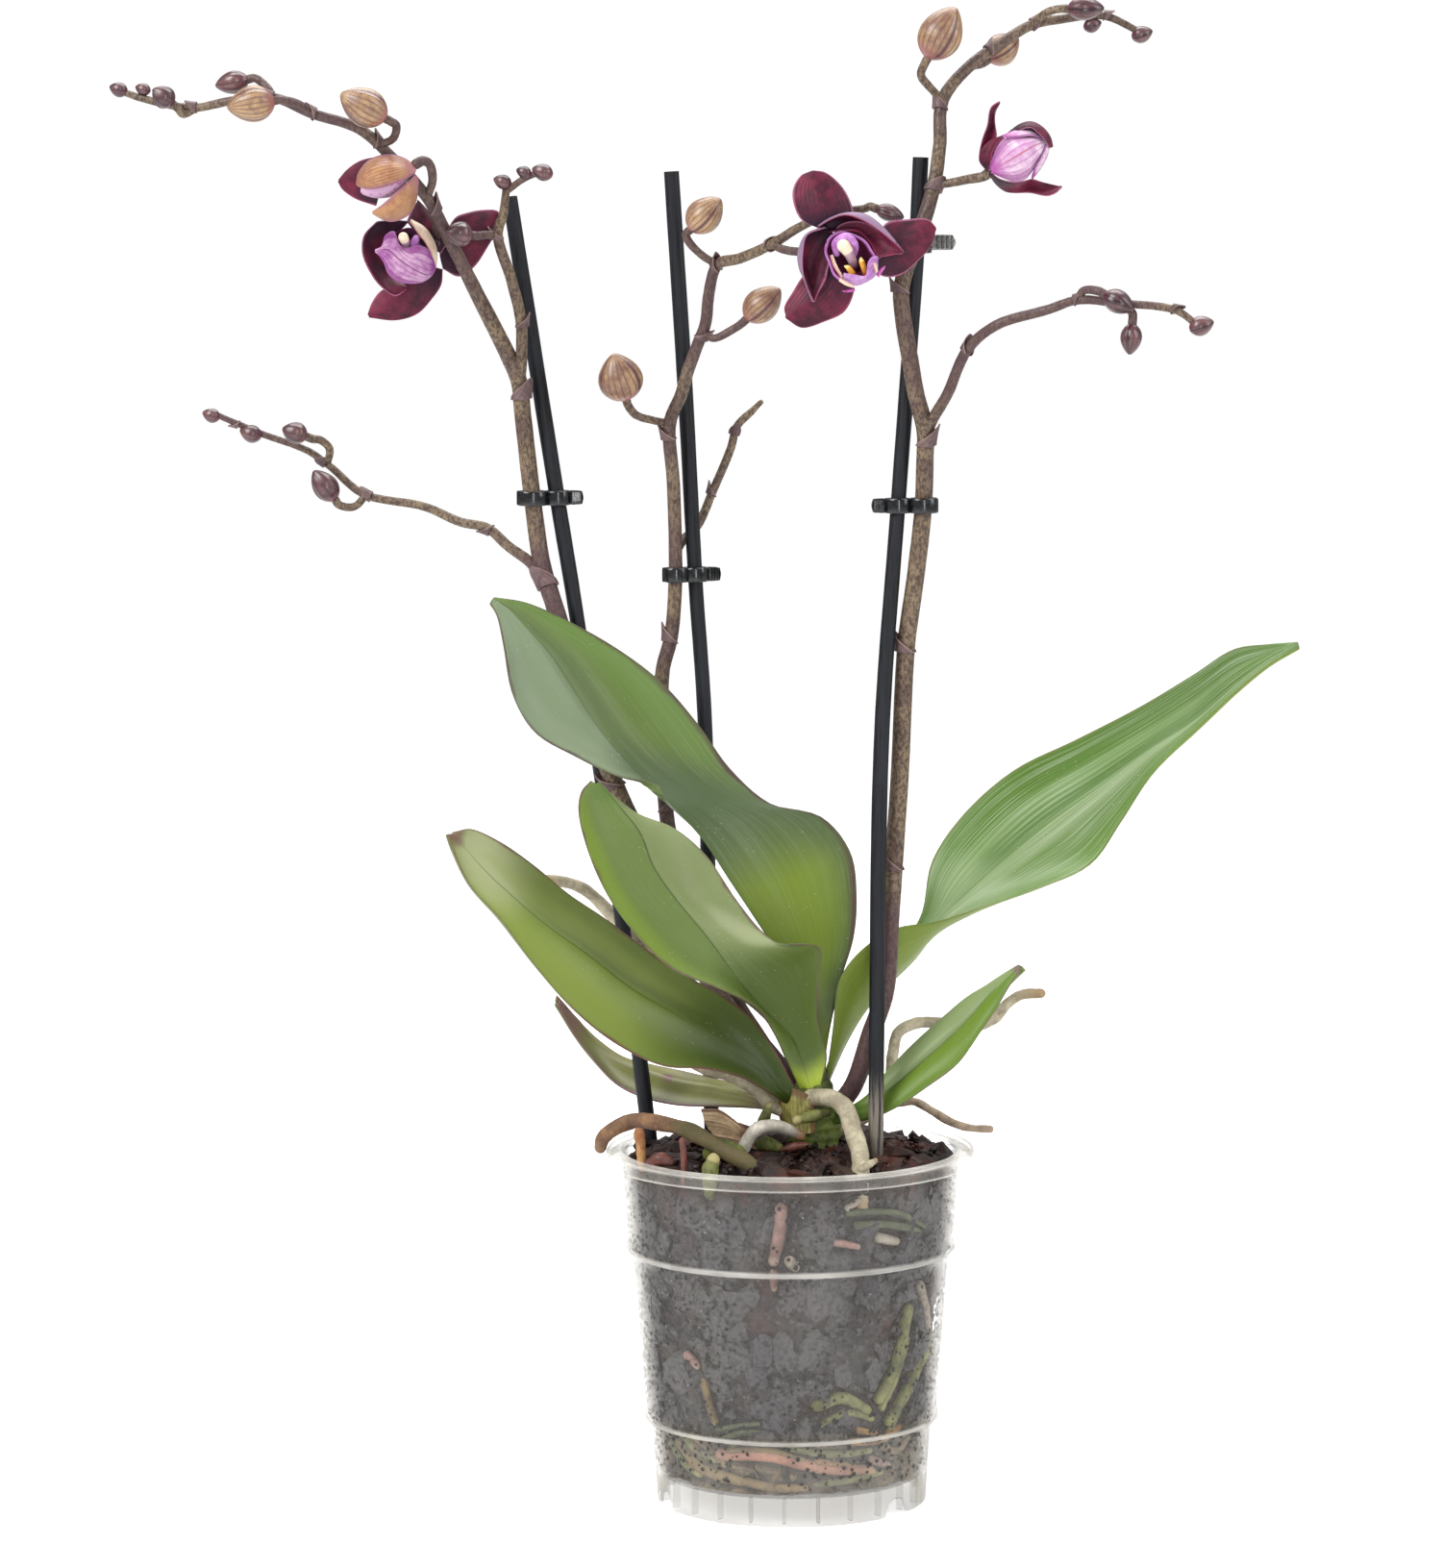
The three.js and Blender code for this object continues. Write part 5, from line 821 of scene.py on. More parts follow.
def ring_tree():
    """Upright bars evenly round a circle, each turned to face its middle."""
    tree = Tree(
        "bars round a circle", Count=int, Ring_radius=float, Deep=float, Thick=float, Tall=float,
        Material="material",
    )
    ring = tree.node("GeometryNodeMeshCircle", Vertices=tree.given("Count"), Radius=tree.given("Ring radius"))
    size = tree.node(
        "ShaderNodeCombineXYZ", X=tree.given("Deep"), Y=tree.given("Thick"), Z=tree.given("Tall"),
    )
    bar = tree.node("GeometryNodeMeshCube", Size=size.outputs[0])
    place = tree.node("GeometryNodeInputPosition")
    facing = tree.node("FunctionNodeAlignRotationToVector", {"axis": "X"}, Vector=place.outputs[0])
    bars = tree.node(
        "GeometryNodeInstanceOnPoints", Points=ring.outputs[0], Instance=bar.outputs[0],
        Rotation=facing.outputs[0],
    )
    return tree.close(bars.outputs[0])


def with_ends(points, radii, start, end, steps=5):
    """Rounds a tube's ends by adding short rings; 'flat' leaves one cut square."""
    along = np.linspace(0, 1, len(points))

    def dome(place, away, radius, mark):
        angles = np.linspace(0, math.pi / 2, steps + 1)[1:]
        spots = place + np.outer(radius * np.sin(angles), away)
        return spots, np.maximum(radius * np.cos(angles), 0.02), np.full(steps, mark)

    if start == "round":
        spots, sizes, marks = dome(points[0], unit(points[0] - points[1]), radii[0], 0.0)
        points, radii = np.vstack([spots[::-1], points]), np.concatenate([sizes[::-1], radii])
        along = np.concatenate([marks, along])
    if end == "round":
        spots, sizes, marks = dome(points[-1], unit(points[-1] - points[-2]), radii[-1], 1.0)
        points, radii = np.vstack([points, spots]), np.concatenate([radii, sizes])
        along = np.concatenate([along, marks])
    return points, radii, along


def tube_lines(runs, name="lines"):
    """A mesh of open lines; each run is (points, radii, start, end) with its marks."""
    points, edges, radii, along = [], [], [], []
    for line, sizes, start, end in runs:
        line, sizes, place = with_ends(np.asarray(line), np.asarray(sizes, dtype=float), start, end)
        first = len(points)
        points += line.tolist()
        edges += [(first + i, first + i + 1) for i in range(len(line) - 1)]
        radii += sizes.tolist()
        along += place.tolist()
    data = bpy.data.meshes.new(name)
    data.from_pydata(points, edges, [])
    data.attributes.new("radius", "FLOAT", "POINT").data.foreach_set("value", radii)
    data.attributes.new("along", "FLOAT", "POINT").data.foreach_set("value", along)
    return data


# ---------------------------------------------------------------- materials


def rgb(code):
    """A colour written as the screen shows it, turned to the renderer's values."""
    parts = [int(code[i:i + 2], 16) / 255 for i in (0, 2, 4)]
    return tuple(c / 12.92 if c <= 0.04045 else ((c + 0.055) / 1.055) ** 2.4 for c in parts) + (1.0,)


class Paint:
    """Builds a shader tree: a material, or a group that several materials share."""

    def __init__(self, tree):
        self.tree = tree

    def node(self, kind, settings=None, out=0, **inputs):
        made = self.tree.nodes.new(kind)
        for key, value in (settings or {}).items():
            setattr(made, key, value)
        for key, value in inputs.items():
            self.feed(made, key.replace("_", " "), value)
        return made.outputs[out]

    def feed(self, made, label, value):
        socket = next(one for one in made.inputs if one.enabled and label in (one.name, one.identifier))
        if isinstance(value, bpy.types.NodeSocket):
            self.tree.links.new(value, socket)
        else:
            socket.default_value = value

    def math(self, operation, a, b=0.0, clamp=False):
        made = self.tree.nodes.new("ShaderNodeMath")
        made.operation = operation
        made.use_clamp = clamp
        for socket, value in zip(made.inputs, (a, b)):
            if isinstance(value, bpy.types.NodeSocket):
                self.tree.links.new(value, socket)
            else:
                socket.default_value = value
        return made.outputs[0]

    def mix(self, factor, a, b):
        made = self.tree.nodes.new("ShaderNodeMix")
        made.data_type = "RGBA"
        for socket, value in zip((made.inputs[0], made.inputs[6], made.inputs[7]), (factor, a, b)):
            if isinstance(value, bpy.types.NodeSocket):
                self.tree.links.new(value, socket)
            else:
                socket.default_value = value
        return made.outputs[2]

    def step(self, value, low, high, to_low=0.0, to_high=1.0):
        """Eases a value from one range to another, held at both ends."""
        return self.node(
            "ShaderNodeMapRange", {"interpolation_type": "SMOOTHSTEP"}, Value=value, From_Min=low, From_Max=high,
            To_Min=to_low, To_Max=to_high,
        )

    def noise(self, vector, scale, detail=3.0, rough=0.55):
        return self.node("ShaderNodeTexNoise", Vector=vector, Scale=scale, Detail=detail, Roughness=rough)

    def place(self, stretch=(1, 1, 1)):
        """Object coordinates measured from the pot's axis, stretched as asked."""
        spot = self.node("ShaderNodeTexCoord", out="Object")
        return self.node("ShaderNodeMapping", Vector=spot, Location=tuple(-AXIS), Scale=stretch)

    def mark(self, name):
        return self.node("ShaderNodeAttribute", {"attribute_name": name}, out="Fac")


def shader_group(name, inputs, outputs, build):
    tree = bpy.data.node_groups.new(name, "ShaderNodeTree")
    kinds = {"value": "NodeSocketFloat", "colour": "NodeSocketColor", "vector": "NodeSocketVector"}
    for label, kind in inputs.items():
        tree.interface.new_socket(label, in_out="INPUT", socket_type=kinds[kind])
    for label, kind in outputs.items():
        tree.interface.new_socket(label, in_out="OUTPUT", socket_type=kinds[kind])
    given = tree.nodes.new("NodeGroupInput").outputs
    made = build(Paint(tree), given)
    end = tree.nodes.new("NodeGroupOutput")
    for label, socket in made.items():
        tree.links.new(socket, end.inputs[label])
    return tree


def mottle_group():
    """Soft blotches between two tones, with finer grain in them."""

    def build(paint, given):
        broad = paint.noise(given["Vector"], given["Size"], 4.0, 0.6)
        fine_size = paint.math("MULTIPLY", given["Size"], 5.0)
        fine = paint.noise(given["Vector"], fine_size, 3.0, 0.6)
        blend = paint.math("ADD", paint.math("MULTIPLY", broad, 0.7), paint.math("MULTIPLY", fine, 0.3))
        mask = paint.step(blend, 0.36, 0.64)
        return {"Colour": paint.mix(mask, given["Dark"], given["Light"]), "Mask": mask}

    return shader_group(
        "mottle", {"Vector": "vector", "Size": "value", "Dark": "colour", "Light": "colour"},
        {"Colour": "colour", "Mask": "value"}, build,
    )


def speckle_group():
    """Small round specks, more of them where the cover is higher."""

    def build(paint, given):
        spots = paint.node("ShaderNodeTexVoronoi", Vector=given["Vector"], Scale=given["Size"], out="Distance")
        patch = paint.noise(given["Vector"], paint.math("MULTIPLY", given["Size"], 0.17), 2.0)
        reach = paint.math("MULTIPLY", given["Cover"], paint.step(patch, 0.35, 0.65))
        return {"Mask": paint.step(paint.math("SUBTRACT", reach, spots), -0.05, 0.05)}

    return shader_group(
        "speckle", {"Vector": "vector", "Size": "value", "Cover": "value"}, {"Mask": "value"}, build,
    )


def vein_group():
    """Fine lines that run along a leaf or petal, wavering and broken."""

    def build(paint, given):
        waver = paint.noise(given["Vector"], 60.0, 2.0)
        shift = paint.math("MULTIPLY", waver, given["Waver"])
        phase = paint.math("ADD", paint.math("MULTIPLY", given["Across"], given["Count"]), shift)
        wave = paint.math("SINE", phase)
        lines = paint.step(wave, given["Start"], 1.0)
        return {"Mask": lines, "Wave": wave}

    return shader_group(
        "veins",
        {"Vector": "vector", "Across": "value", "Count": "value", "Waver": "value", "Start": "value"},
        {"Mask": "value", "Wave": "value"}, build,
    )


def edge_group():
    """The margin of a leaf or petal, with a ragged inner side."""

    def build(paint, given):
        reach = paint.math("ABSOLUTE", given["Across"])
        ragged = paint.math("MULTIPLY", paint.math("SUBTRACT", paint.noise(given["Vector"], 130.0, 3.0), 0.5), 0.12)
        inner = paint.math("SUBTRACT", 1.0, given["Width"])
        return {"Mask": paint.step(paint.math("SUBTRACT", paint.math("ADD", reach, ragged), inner), -0.03, 0.03)}

    return shader_group(
        "margin", {"Vector": "vector", "Across": "value", "Width": "value"}, {"Mask": "value"}, build,
    )


GROUPS = {}


def use(paint, group, out, **inputs):
    made = paint.tree.nodes.new("ShaderNodeGroup")
    made.node_tree = GROUPS[group]
    for key, value in inputs.items():
        paint.feed(made, key, value)
    return made.outputs[out]


def material(name, build, **plain):
    """A material whose Principled shader takes its varying inputs from build()."""
    made = bpy.data.materials.new(name)
    made.use_nodes = True
    paint = Paint(made.node_tree)
    shader = made.node_tree.nodes["Principled BSDF"]
    for label, value in plain.items():
        shader.inputs[label.replace("_", " ")].default_value = value
    for label, socket in build(paint).items():
        made.node_tree.links.new(socket, shader.inputs[label])
    return made


def bumped(paint, height, strength, distance):
    return paint.node("ShaderNodeBump", Strength=strength, Distance=distance, Height=height)


# ---------------------------------------------------------------- light and floor


def add_world():
    world = bpy.data.worlds.new("studio")
    world.use_nodes = True
    tree = world.node_tree
    seen = tree.nodes.new("ShaderNodeLightPath").outputs["Is Camera Ray"]
    strength = tree.nodes.new("ShaderNodeMapRange")
    tree.links.new(seen, strength.inputs["Value"])
    strength.inputs["To Min"].default_value = 0.42
    strength.inputs["To Max"].default_value = 1.05
    tree.nodes["Background"].inputs["Color"].default_value = (1, 1, 1, 1)
    tree.links.new(strength.outputs[0], tree.nodes["Background"].inputs["Strength"])
    bpy.context.scene.world = world


def add_softbox(name, place, aim, size, power):
    data = bpy.data.lights.new(name, "AREA")
    data.shape = "RECTANGLE"
    data.size, data.size_y = size
    data.energy = power
    lamp = bpy.data.objects.new(name, data)
    lamp.location = metres(place)
    lamp.rotation_euler = (Vector(metres(aim)) - lamp.location).to_track_quat("-Z", "Y").to_euler()
    bpy.context.collection.objects.link(lamp)


def add_lights():
    add_softbox("key", (-1100, -900, 1300), (0, 0, 220), (0.9, 1.1), 30)
    add_softbox("side", (1200, -500, 900), (0, 0, 220), (0.6, 1.2), 10)
    add_softbox("top", (100, 500, 1500), (0, 0, 250), (1.4, 0.8), 22)
    add_softbox("front strip", (260, -1900, 520), (0, 0, 120), (0.16, 1.1), 7)


def add_floor():
    data = bpy.data.meshes.new("floor")
    reach = 20
    data.from_pydata([(-reach, -reach, 0), (reach, -reach, 0), (reach, reach, 0), (-reach, reach, 0)], [], [(0, 1, 2, 3)])

    def build(paint):
        seen = paint.node("ShaderNodeLightPath", out="Is Camera Ray")
        return {
            "Roughness": paint.step(paint.noise(paint.place(), 4.0), 0.3, 0.7, 0.55, 0.65),
            "Emission Strength": paint.math("MULTIPLY", seen, 0.62),
        }

    white = material("white floor", build, Base_Color=(0.93, 0.93, 0.93, 1), Specular_IOR_Level=0.2,
                     Emission_Color=(1, 1, 1, 1))
    data.materials.append(white)
    add_object("floor", data)


# ---------------------------------------------------------------- the finishes


def clear_plastic():
    def build(paint):
        milk = paint.mark("milk")
        spot = paint.place()
        mist = paint.step(paint.noise(paint.place((1, 1, 0.7)), 30.0, 3.0, 0.5), 0.3, 0.72, 0.85, 1.25)
        layer = paint.tree.nodes.new("ShaderNodeLayerWeight")
        layer.inputs["Blend"].default_value = 0.5
        at_edge = paint.step(layer.outputs["Facing"], 0.55, 0.95, 0.0, 0.62)
        alpha = paint.math("ADD", paint.math("MULTIPLY", milk, mist), at_edge, clamp=True)
        grime = paint.noise(paint.place((1, 1, 0.4)), 90.0, 4.0)
        clean = paint.mix(paint.step(grime, 0.3, 0.8), rgb("cfccc5"), rgb("efece4"))
        height = paint.node("ShaderNodeSeparateXYZ", Vector=spot, out="Z")
        in_foot = paint.step(height, 0.0095, 0.0105, 1.0, 0.0)
        return {
            "Base Color": paint.mix(in_foot, clean, rgb("b3aea4")),
            "Alpha": alpha,
            "Roughness": paint.step(grime, 0.3, 0.8, 0.14, 0.3),
        }

    return material("clear plastic", build, IOR=1.45)


def bark_finish():
    def build(paint):
        spot = paint.place()
        grain = paint.noise(paint.place((1, 1, 3.2)), 240.0, 5.0, 0.65)
        tone = use(paint, "mottle", "Colour", Vector=spot, Size=70.0, Dark=rgb("0d0706"), Light=rgb("301811"))
        red = paint.step(paint.noise(spot, 75.0, 2.0), 0.56, 0.66)
        tone = paint.mix(paint.math("MULTIPLY", red, 0.6), tone, rgb("4a2018"))
        algae = paint.step(paint.noise(spot, 33.0, 3.0), 0.6, 0.72)
        fibre = paint.step(grain, 0.55, 0.8)
        tone = paint.mix(paint.math("MULTIPLY", algae, 0.3), tone, rgb("3c4420"))
        tone = paint.mix(paint.math("MULTIPLY", fibre, 0.3), tone, rgb("5f3c2a"))
        x, y, z = (paint.node("ShaderNodeSeparateXYZ", Vector=spot, out=axis) for axis in "XYZ")
        away = paint.math("SQRT", paint.math("ADD", paint.math("MULTIPLY", x, x), paint.math("MULTIPLY", y, y)))
        wall = paint.math("ADD", paint.math("MULTIPLY", z, 0.1), 0.0445)
        near = paint.step(paint.math("DIVIDE", away, wall), 0.88, 0.97)
        near = paint.math("MULTIPLY", near, paint.step(z, 0.104, 0.111, 1.0, 0.0))
        fog = use(paint, "mottle", "Colour", Vector=paint.place((1, 1, 0.5)), Size=40.0, Dark=rgb("434146"),
                  Light=rgb("545153"))
        mossy = paint.step(paint.noise(spot, 48.0, 3.0), 0.58, 0.7, 0.0, 0.35)
        fog = paint.mix(mossy, fog, rgb("444a2e"))
        fog = paint.mix(paint.step(z, 0.024, 0.032, 0.75, 0.0), fog, rgb("84704c"))
        soil = paint.step(paint.noise(spot, 620.0, 4.0, 0.75), 0.47, 0.6, 0.0, 0.75)
        fog = paint.mix(soil, fog, rgb("181516"))
        tone = paint.mix(paint.math("MULTIPLY", near, 0.92), tone, fog)
        return {
            "Base Color": tone,
            "Roughness": paint.step(grain, 0.3, 0.8, 0.35, 0.8),
            "Normal": bumped(paint, grain, 0.6, 0.0005),
        }

    return material("wet bark", build, Specular_IOR_Level=0.3)


def zone_mask(paint, along, across, place, reach, strength):
    """A soft patch on a blade, round a place given along and across it."""
    off = [
        paint.math("DIVIDE", paint.math("SUBTRACT", value, centre), size)
        for value, centre, size in zip((along, across), place, reach)
    ]
    far = paint.math("ADD", paint.math("MULTIPLY", off[0], off[0]), paint.math("MULTIPLY", off[1], off[1]))
    return paint.step(far, 0.0, 1.0, strength, 0.0)


def leaf_finish(name, base, body, sides, zones, edge, rib, pale, lines=0.1, gloss=0.38, underside="5f7038",
                edge_width=0.03, foot=0.12):
    """A waxy leaf: its body, the tints of its two halves, soft patches (some of them painted shade and painted
    highlight), fine lines of painted sheen, rib and margin.
    """

    def build(paint):
        spot = paint.place()
        along, across, upper = paint.mark("along"), paint.mark("across"), paint.mark("upper")
        tone = use(paint, "mottle", "Colour", Vector=spot, Size=26.0, Dark=rgb(body[0]), Light=rgb(body[1]))
        left, right, strength, start = sides
        half = paint.mix(paint.step(across, -0.02, 0.02), rgb(left), rgb(right))
        tone = paint.mix(paint.step(along, start, start + 0.2, 0.0, strength), tone, half)
        for place, reach, colour, strength in zones:
            tone = paint.mix(zone_mask(paint, along, across, place, reach, strength), tone, rgb(colour))
        flow = paint.node(
            "ShaderNodeCombineXYZ", X=paint.math("MULTIPLY", across, 44.0), Y=paint.math("MULTIPLY", along, 4.0),
        )
        streaks = paint.noise(flow, 1.0, 4.0, 0.6)
        cloud = paint.noise(spot, 30.0, 3.0)
        # Pale streaks along the blade: painted sheen, a reflection laid into the colour.
        painted_sheen = paint.math("MULTIPLY", paint.step(streaks, 0.42, 0.72, 0.0, lines), paint.step(cloud, 0.3, 0.6, 0.5, 1.0))
        tone = paint.mix(painted_sheen, tone, rgb(pale))
        tone = paint.mix(paint.step(along, 0.02, foot, 1.0, 0.0), tone, rgb(base))
        crease = paint.step(paint.math("ABSOLUTE", across), 0.006, 0.026, rib[1], 0.0)
        tone = paint.mix(crease, tone, rgb(rib[0]))
        tone = paint.mix(paint.step(upper, 0.4, 0.6, 0.85, 0.0), tone, rgb(underside))
        margin = use(paint, "margin", "Mask", Vector=spot, Across=across, Width=edge_width)
        here = paint.step(paint.noise(spot, 24.0, 2.0), 0.35, 0.6, 0.3, 0.85)
        tone = paint.mix(paint.math("MULTIPLY", margin, here), tone, rgb(edge))
        dust = use(paint, "speckle", "Mask", Vector=spot, Size=520.0, Cover=0.1)
        tone = paint.mix(paint.math("MULTIPLY", dust, 0.25), tone, rgb("dfe3cf"))
        return {
            "Base Color": tone,
            "Roughness": paint.step(cloud, 0.3, 0.75, gloss, gloss + 0.14),
            "Normal": bumped(paint, streaks, 0.06, 0.0001),
        }

    return material(name, build, Coat_Weight=0.05, Coat_Roughness=0.25, Specular_IOR_Level=0.25,
                    Subsurface_Weight=0.04, Subsurface_Radius=(0.002, 0.003, 0.001))


# Leaf colours. Sides: left half, right half, strength and start along the blade.
# Zones: place and reach along and across, colour, strength; some of them are painted shade or painted highlight, as
# marked. Pale and lines: the colour and strength of the painted sheen streaks.
LEAF_LOOKS = {
    "leaf_1": dict(
        base="8c9e28", body=("4a5a33", "5a683d"), sides=("76856a", "5a6e34", 0.8, 0.45),
        zones=[((0.27, 0.15), (0.24, 0.9), "6c8020", 0.9), ((0.48, 0.1), (0.16, 1.4), "435338", 0.85),
               ((0.8, 0.9), (0.3, 0.5), "5a7832", 0.6), ((0.72, 0.12), (0.3, 0.25), "4a5a3a", 0.5),
               ((0.27, 1.05), (0.16, 0.2), "46302e", 0.75)],
        pale="97a38c", edge="4a3034", rib=("46592f", 0.6), lines=0.14, edge_width=0.045,
    ),
    "leaf_2": dict(
        base="a9bc44", body=("566834", "667840"), sides=("5e7236", "7f885e", 0.65, 0.3),
        # The dark patch low by the base (415210) and the dark band under the curled margin (2f431a) are painted shade;
        # the pale patch beside that band (989f7c) is a painted highlight.
        zones=[((0.66, -0.95), (0.35, 0.4), "738a30", 0.7), ((0.24, 0.2), (0.22, 1.4), "415210", 0.9),
               ((0.42, 1.0), (0.07, 0.2), "2f431a", 0.8), ((0.5, 0.7), (0.1, 0.35), "989f7c", 0.6),
               ((0.95, 0.2), (0.1, 1.2), "4e6a28", 0.6)],
        pale="a3ac88", edge="5a3a40", rib=("3a4c22", 0.7), lines=0.06, foot=0.1,
    ),
    "leaf_3": dict(
        # The dark base colour (2f3e0c) and the dark patch over the lower blade (27360a) are painted shade near the
        # crown.
        base="2f3e0c", body=("56662e", "687638"), sides=("6c7e36", "707c48", 0.55, 0.2),
        zones=[((0.62, -0.6), (0.3, 0.6), "839245", 0.75), ((0.14, 0.0), (0.34, 1.9), "27360a", 0.95),
               ((0.86, 0.2), (0.2, 1.5), "a4a882", 0.7), ((1.0, 0.0), (0.09, 1.8), "65393f", 0.75),
               ((0.6, 0.5), (0.3, 0.35), "7f8c48", 0.5)],
        pale="9aa26e", edge="63363c", rib=("3f4f20", 0.65), lines=0.05, edge_width=0.035,
    ),
    "leaf_4": dict(
        base="513a24", body=("56582c", "6f703c"), sides=("5c5e2e", "7e7c4c", 0.6, 0.15),
        zones=[((1.0, 0.0), (0.22, 2.0), "5c3540", 0.8), ((0.42, 0.1), (0.03, 0.3), "6b3f50", 0.8),
               ((0.5, -1.0), (0.5, 0.25), "4c3430", 0.6)],
        pale="8c8a5c", edge="5c3340", rib=("8a8450", 0.5), edge_width=0.06, foot=0.2,
    ),
    "leaf_5": dict(
        base="7c8c34", body=("3f6012", "4e701e"), sides=("426412", "577236", 0.8, 0.3),
        zones=[((0.6, 1.0), (0.45, 0.4), "4c6e1a", 0.85), ((0.62, -0.5), (0.35, 0.16), "6c8650", 0.5),
               # The pale grey-green patch beside the rib (8c9c76) is painted sheen, as are the strong pale streaks set
               # by pale and lines below.
               ((0.62, -0.14), (0.5, 0.18), "36580f", 0.5), ((0.66, 0.13), (0.36, 0.2), "8c9c76", 0.5),
               ((0.4, 0.0), (0.1, 1.3), "7f9268", 0.6)],
        pale="b3bfa4", edge="5f6a38", rib=("4c6c24", 0.5), lines=0.5, underside="74862e",
    ),
    "leaf_6": dict(
        base="45601f", body=("506a20", "607a2a"), sides=("567220", "7d8c60", 0.85, 0.1),
        zones=[((1.0, 0.0), (0.07, 2.0), "6e4a58", 0.7), ((0.5, -0.5), (0.4, 0.6), "647c26", 0.6)],
        pale="9cab84", edge="6e4a58", rib=("46601f", 0.5), lines=0.25,
    ),
}


def stem_finish():
    def build(paint):
        spot = paint.place()
        height = paint.node("ShaderNodeSeparateXYZ", Vector=spot, out="Z")
        tone = use(paint, "mottle", "Colour", Vector=spot, Size=90.0, Dark=rgb("5a483e"), Light=rgb("7c6a54"))
        specks = paint.step(paint.noise(paint.place((1, 1, 0.6)), 1000.0, 3.0, 0.7), 0.44, 0.58)
        tone = paint.mix(paint.math("MULTIPLY", specks, 0.7), tone, rgb("2c201f"))
        smooth_skin = paint.step(paint.noise(spot, 15.0, 2.0), 0.46, 0.6)
        tone = paint.mix(paint.math("MULTIPLY", smooth_skin, 0.7), tone, rgb("4b343a"))
        tone = paint.mix(paint.step(height, 0.13, 0.19, 0.85, 0.0), tone, rgb("463036"))
        return {
            "Base Color": tone,
            "Roughness": paint.step(specks, 0.0, 1.0, 0.42, 0.6),
            "Normal": bumped(paint, specks, 0.3, 0.0001),
        }

    return material("flower stem", build, Specular_IOR_Level=0.35)


def bract_finish():
    def build(paint):
        spot = paint.place()
        across = paint.mark("across")
        tone = use(paint, "mottle", "Colour", Vector=spot, Size=160.0, Dark=rgb("463233"), Light=rgb("6a5353"))
        rim = use(paint, "margin", "Mask", Vector=spot, Across=across, Width=0.1)
        tone = paint.mix(paint.math("MULTIPLY", rim, 0.5), tone, rgb("a88a80"))
        lines = use(paint, "veins", "Mask", Vector=spot, Across=across, Count=26.0, Waver=2.0, Start=0.2)
        tone = paint.mix(paint.math("MULTIPLY", lines, 0.3), tone, rgb("3b1d2e"))
        return {"Base Color": tone, "Roughness": paint.step(lines, 0.0, 1.0, 0.5, 0.65),
                "Normal": bumped(paint, lines, 0.3, 0.0001)}

    return material("bract", build)


def stick_finish():
    def build(paint):
        fine = paint.noise(paint.place((1, 1, 0.05)), 1100.0, 4.0, 0.6)
        broad = paint.noise(paint.place((1, 1, 0.3)), 60.0, 3.0)
        height = paint.node("ShaderNodeSeparateXYZ", Vector=paint.place(), out="Z")
        tone = paint.mix(paint.step(fine, 0.35, 0.7), rgb("08090e"), rgb("151820"))
        tone = paint.mix(paint.step(broad, 0.5, 0.75, 0.0, 0.3), tone, rgb("2c323a"))
        right_side = paint.step(paint.node("ShaderNodeSeparateXYZ", Vector=paint.place(), out="X"), 0.005, 0.015)
        low = paint.math("MULTIPLY", paint.step(height, 0.128, 0.146, 1.0, 0.0), right_side)
        worn = paint.math("MULTIPLY", low, paint.step(fine, 0.36, 0.56))
        tone = paint.mix(paint.math("MULTIPLY", worn, 0.8), tone, rgb("847c70"))
        return {"Base Color": tone, "Roughness": paint.step(fine, 0.3, 0.7, 0.4, 0.6),
                "Normal": bumped(paint, fine, 0.5, 0.00015)}

    return material("dyed bamboo", build, Specular_IOR_Level=0.3)


def clip_finish(name, dark, light):
    def build(paint):
        grain = paint.noise(paint.place(), 900.0, 3.0)
        tone = paint.mix(paint.step(grain, 0.3, 0.7), rgb(dark), rgb(light))
        return {"Base Color": tone, "Roughness": paint.step(grain, 0.3, 0.7, 0.14, 0.26)}

    return material(name, build, Coat_Weight=0.2)


def root_finish(name, dark, light, tip, scar, gloss=0.6, foot=None, reach=0.0):
    def build(paint):
        spot = paint.place()
        along = paint.mark("along")
        tone = use(paint, "mottle", "Colour", Vector=spot, Size=150.0, Dark=rgb(dark), Light=rgb(light))
        scars = paint.step(paint.noise(spot, 210.0, 4.0, 0.7), 0.6, 0.7)
        tone = paint.mix(paint.math("MULTIPLY", scars, 0.6), tone, rgb(scar))
        tone = paint.mix(paint.step(along, 0.86, 1.0), tone, rgb(tip))
        if foot:
            tone = paint.mix(paint.step(along, reach, reach + 0.12, 0.85, 0.0), tone, rgb(foot))
        skin = paint.noise(spot, 900.0, 3.0)
        return {"Base Color": tone, "Roughness": paint.step(skin, 0.3, 0.7, gloss, gloss + 0.2),
                "Normal": bumped(paint, skin, 0.4, 0.0002)}

    return material(name, build, Subsurface_Weight=0.05, Subsurface_Radius=(0.002, 0.0015, 0.001))


def sheath_finish(name, body, dry):
    """A withered scale, striped along its length and brown round its edges."""

    def build(paint):
        spot = paint.place()
        across, along = paint.mark("across"), paint.mark("along")
        tone = use(paint, "mottle", "Colour", Vector=spot, Size=140.0, Dark=rgb(body[0]), Light=rgb(body[1]))
        lines = use(paint, "veins", "Mask", Vector=spot, Across=across, Count=34.0, Waver=4.0, Start=0.0)
        tone = paint.mix(paint.math("MULTIPLY", lines, 0.35), tone, rgb(dry))
        edge = use(paint, "margin", "Mask", Vector=spot, Across=across, Width=0.22)
        tone = paint.mix(paint.math("MULTIPLY", edge, 0.85), tone, rgb(dry))
        tone = paint.mix(paint.step(along, 0.72, 0.9, 0.0, 0.85), tone, rgb(dry))
        return {"Base Color": tone, "Roughness": paint.step(lines, 0.0, 1.0, 0.5, 0.75),
                "Normal": bumped(paint, lines, 0.4, 0.0002)}

    return material(name, build)


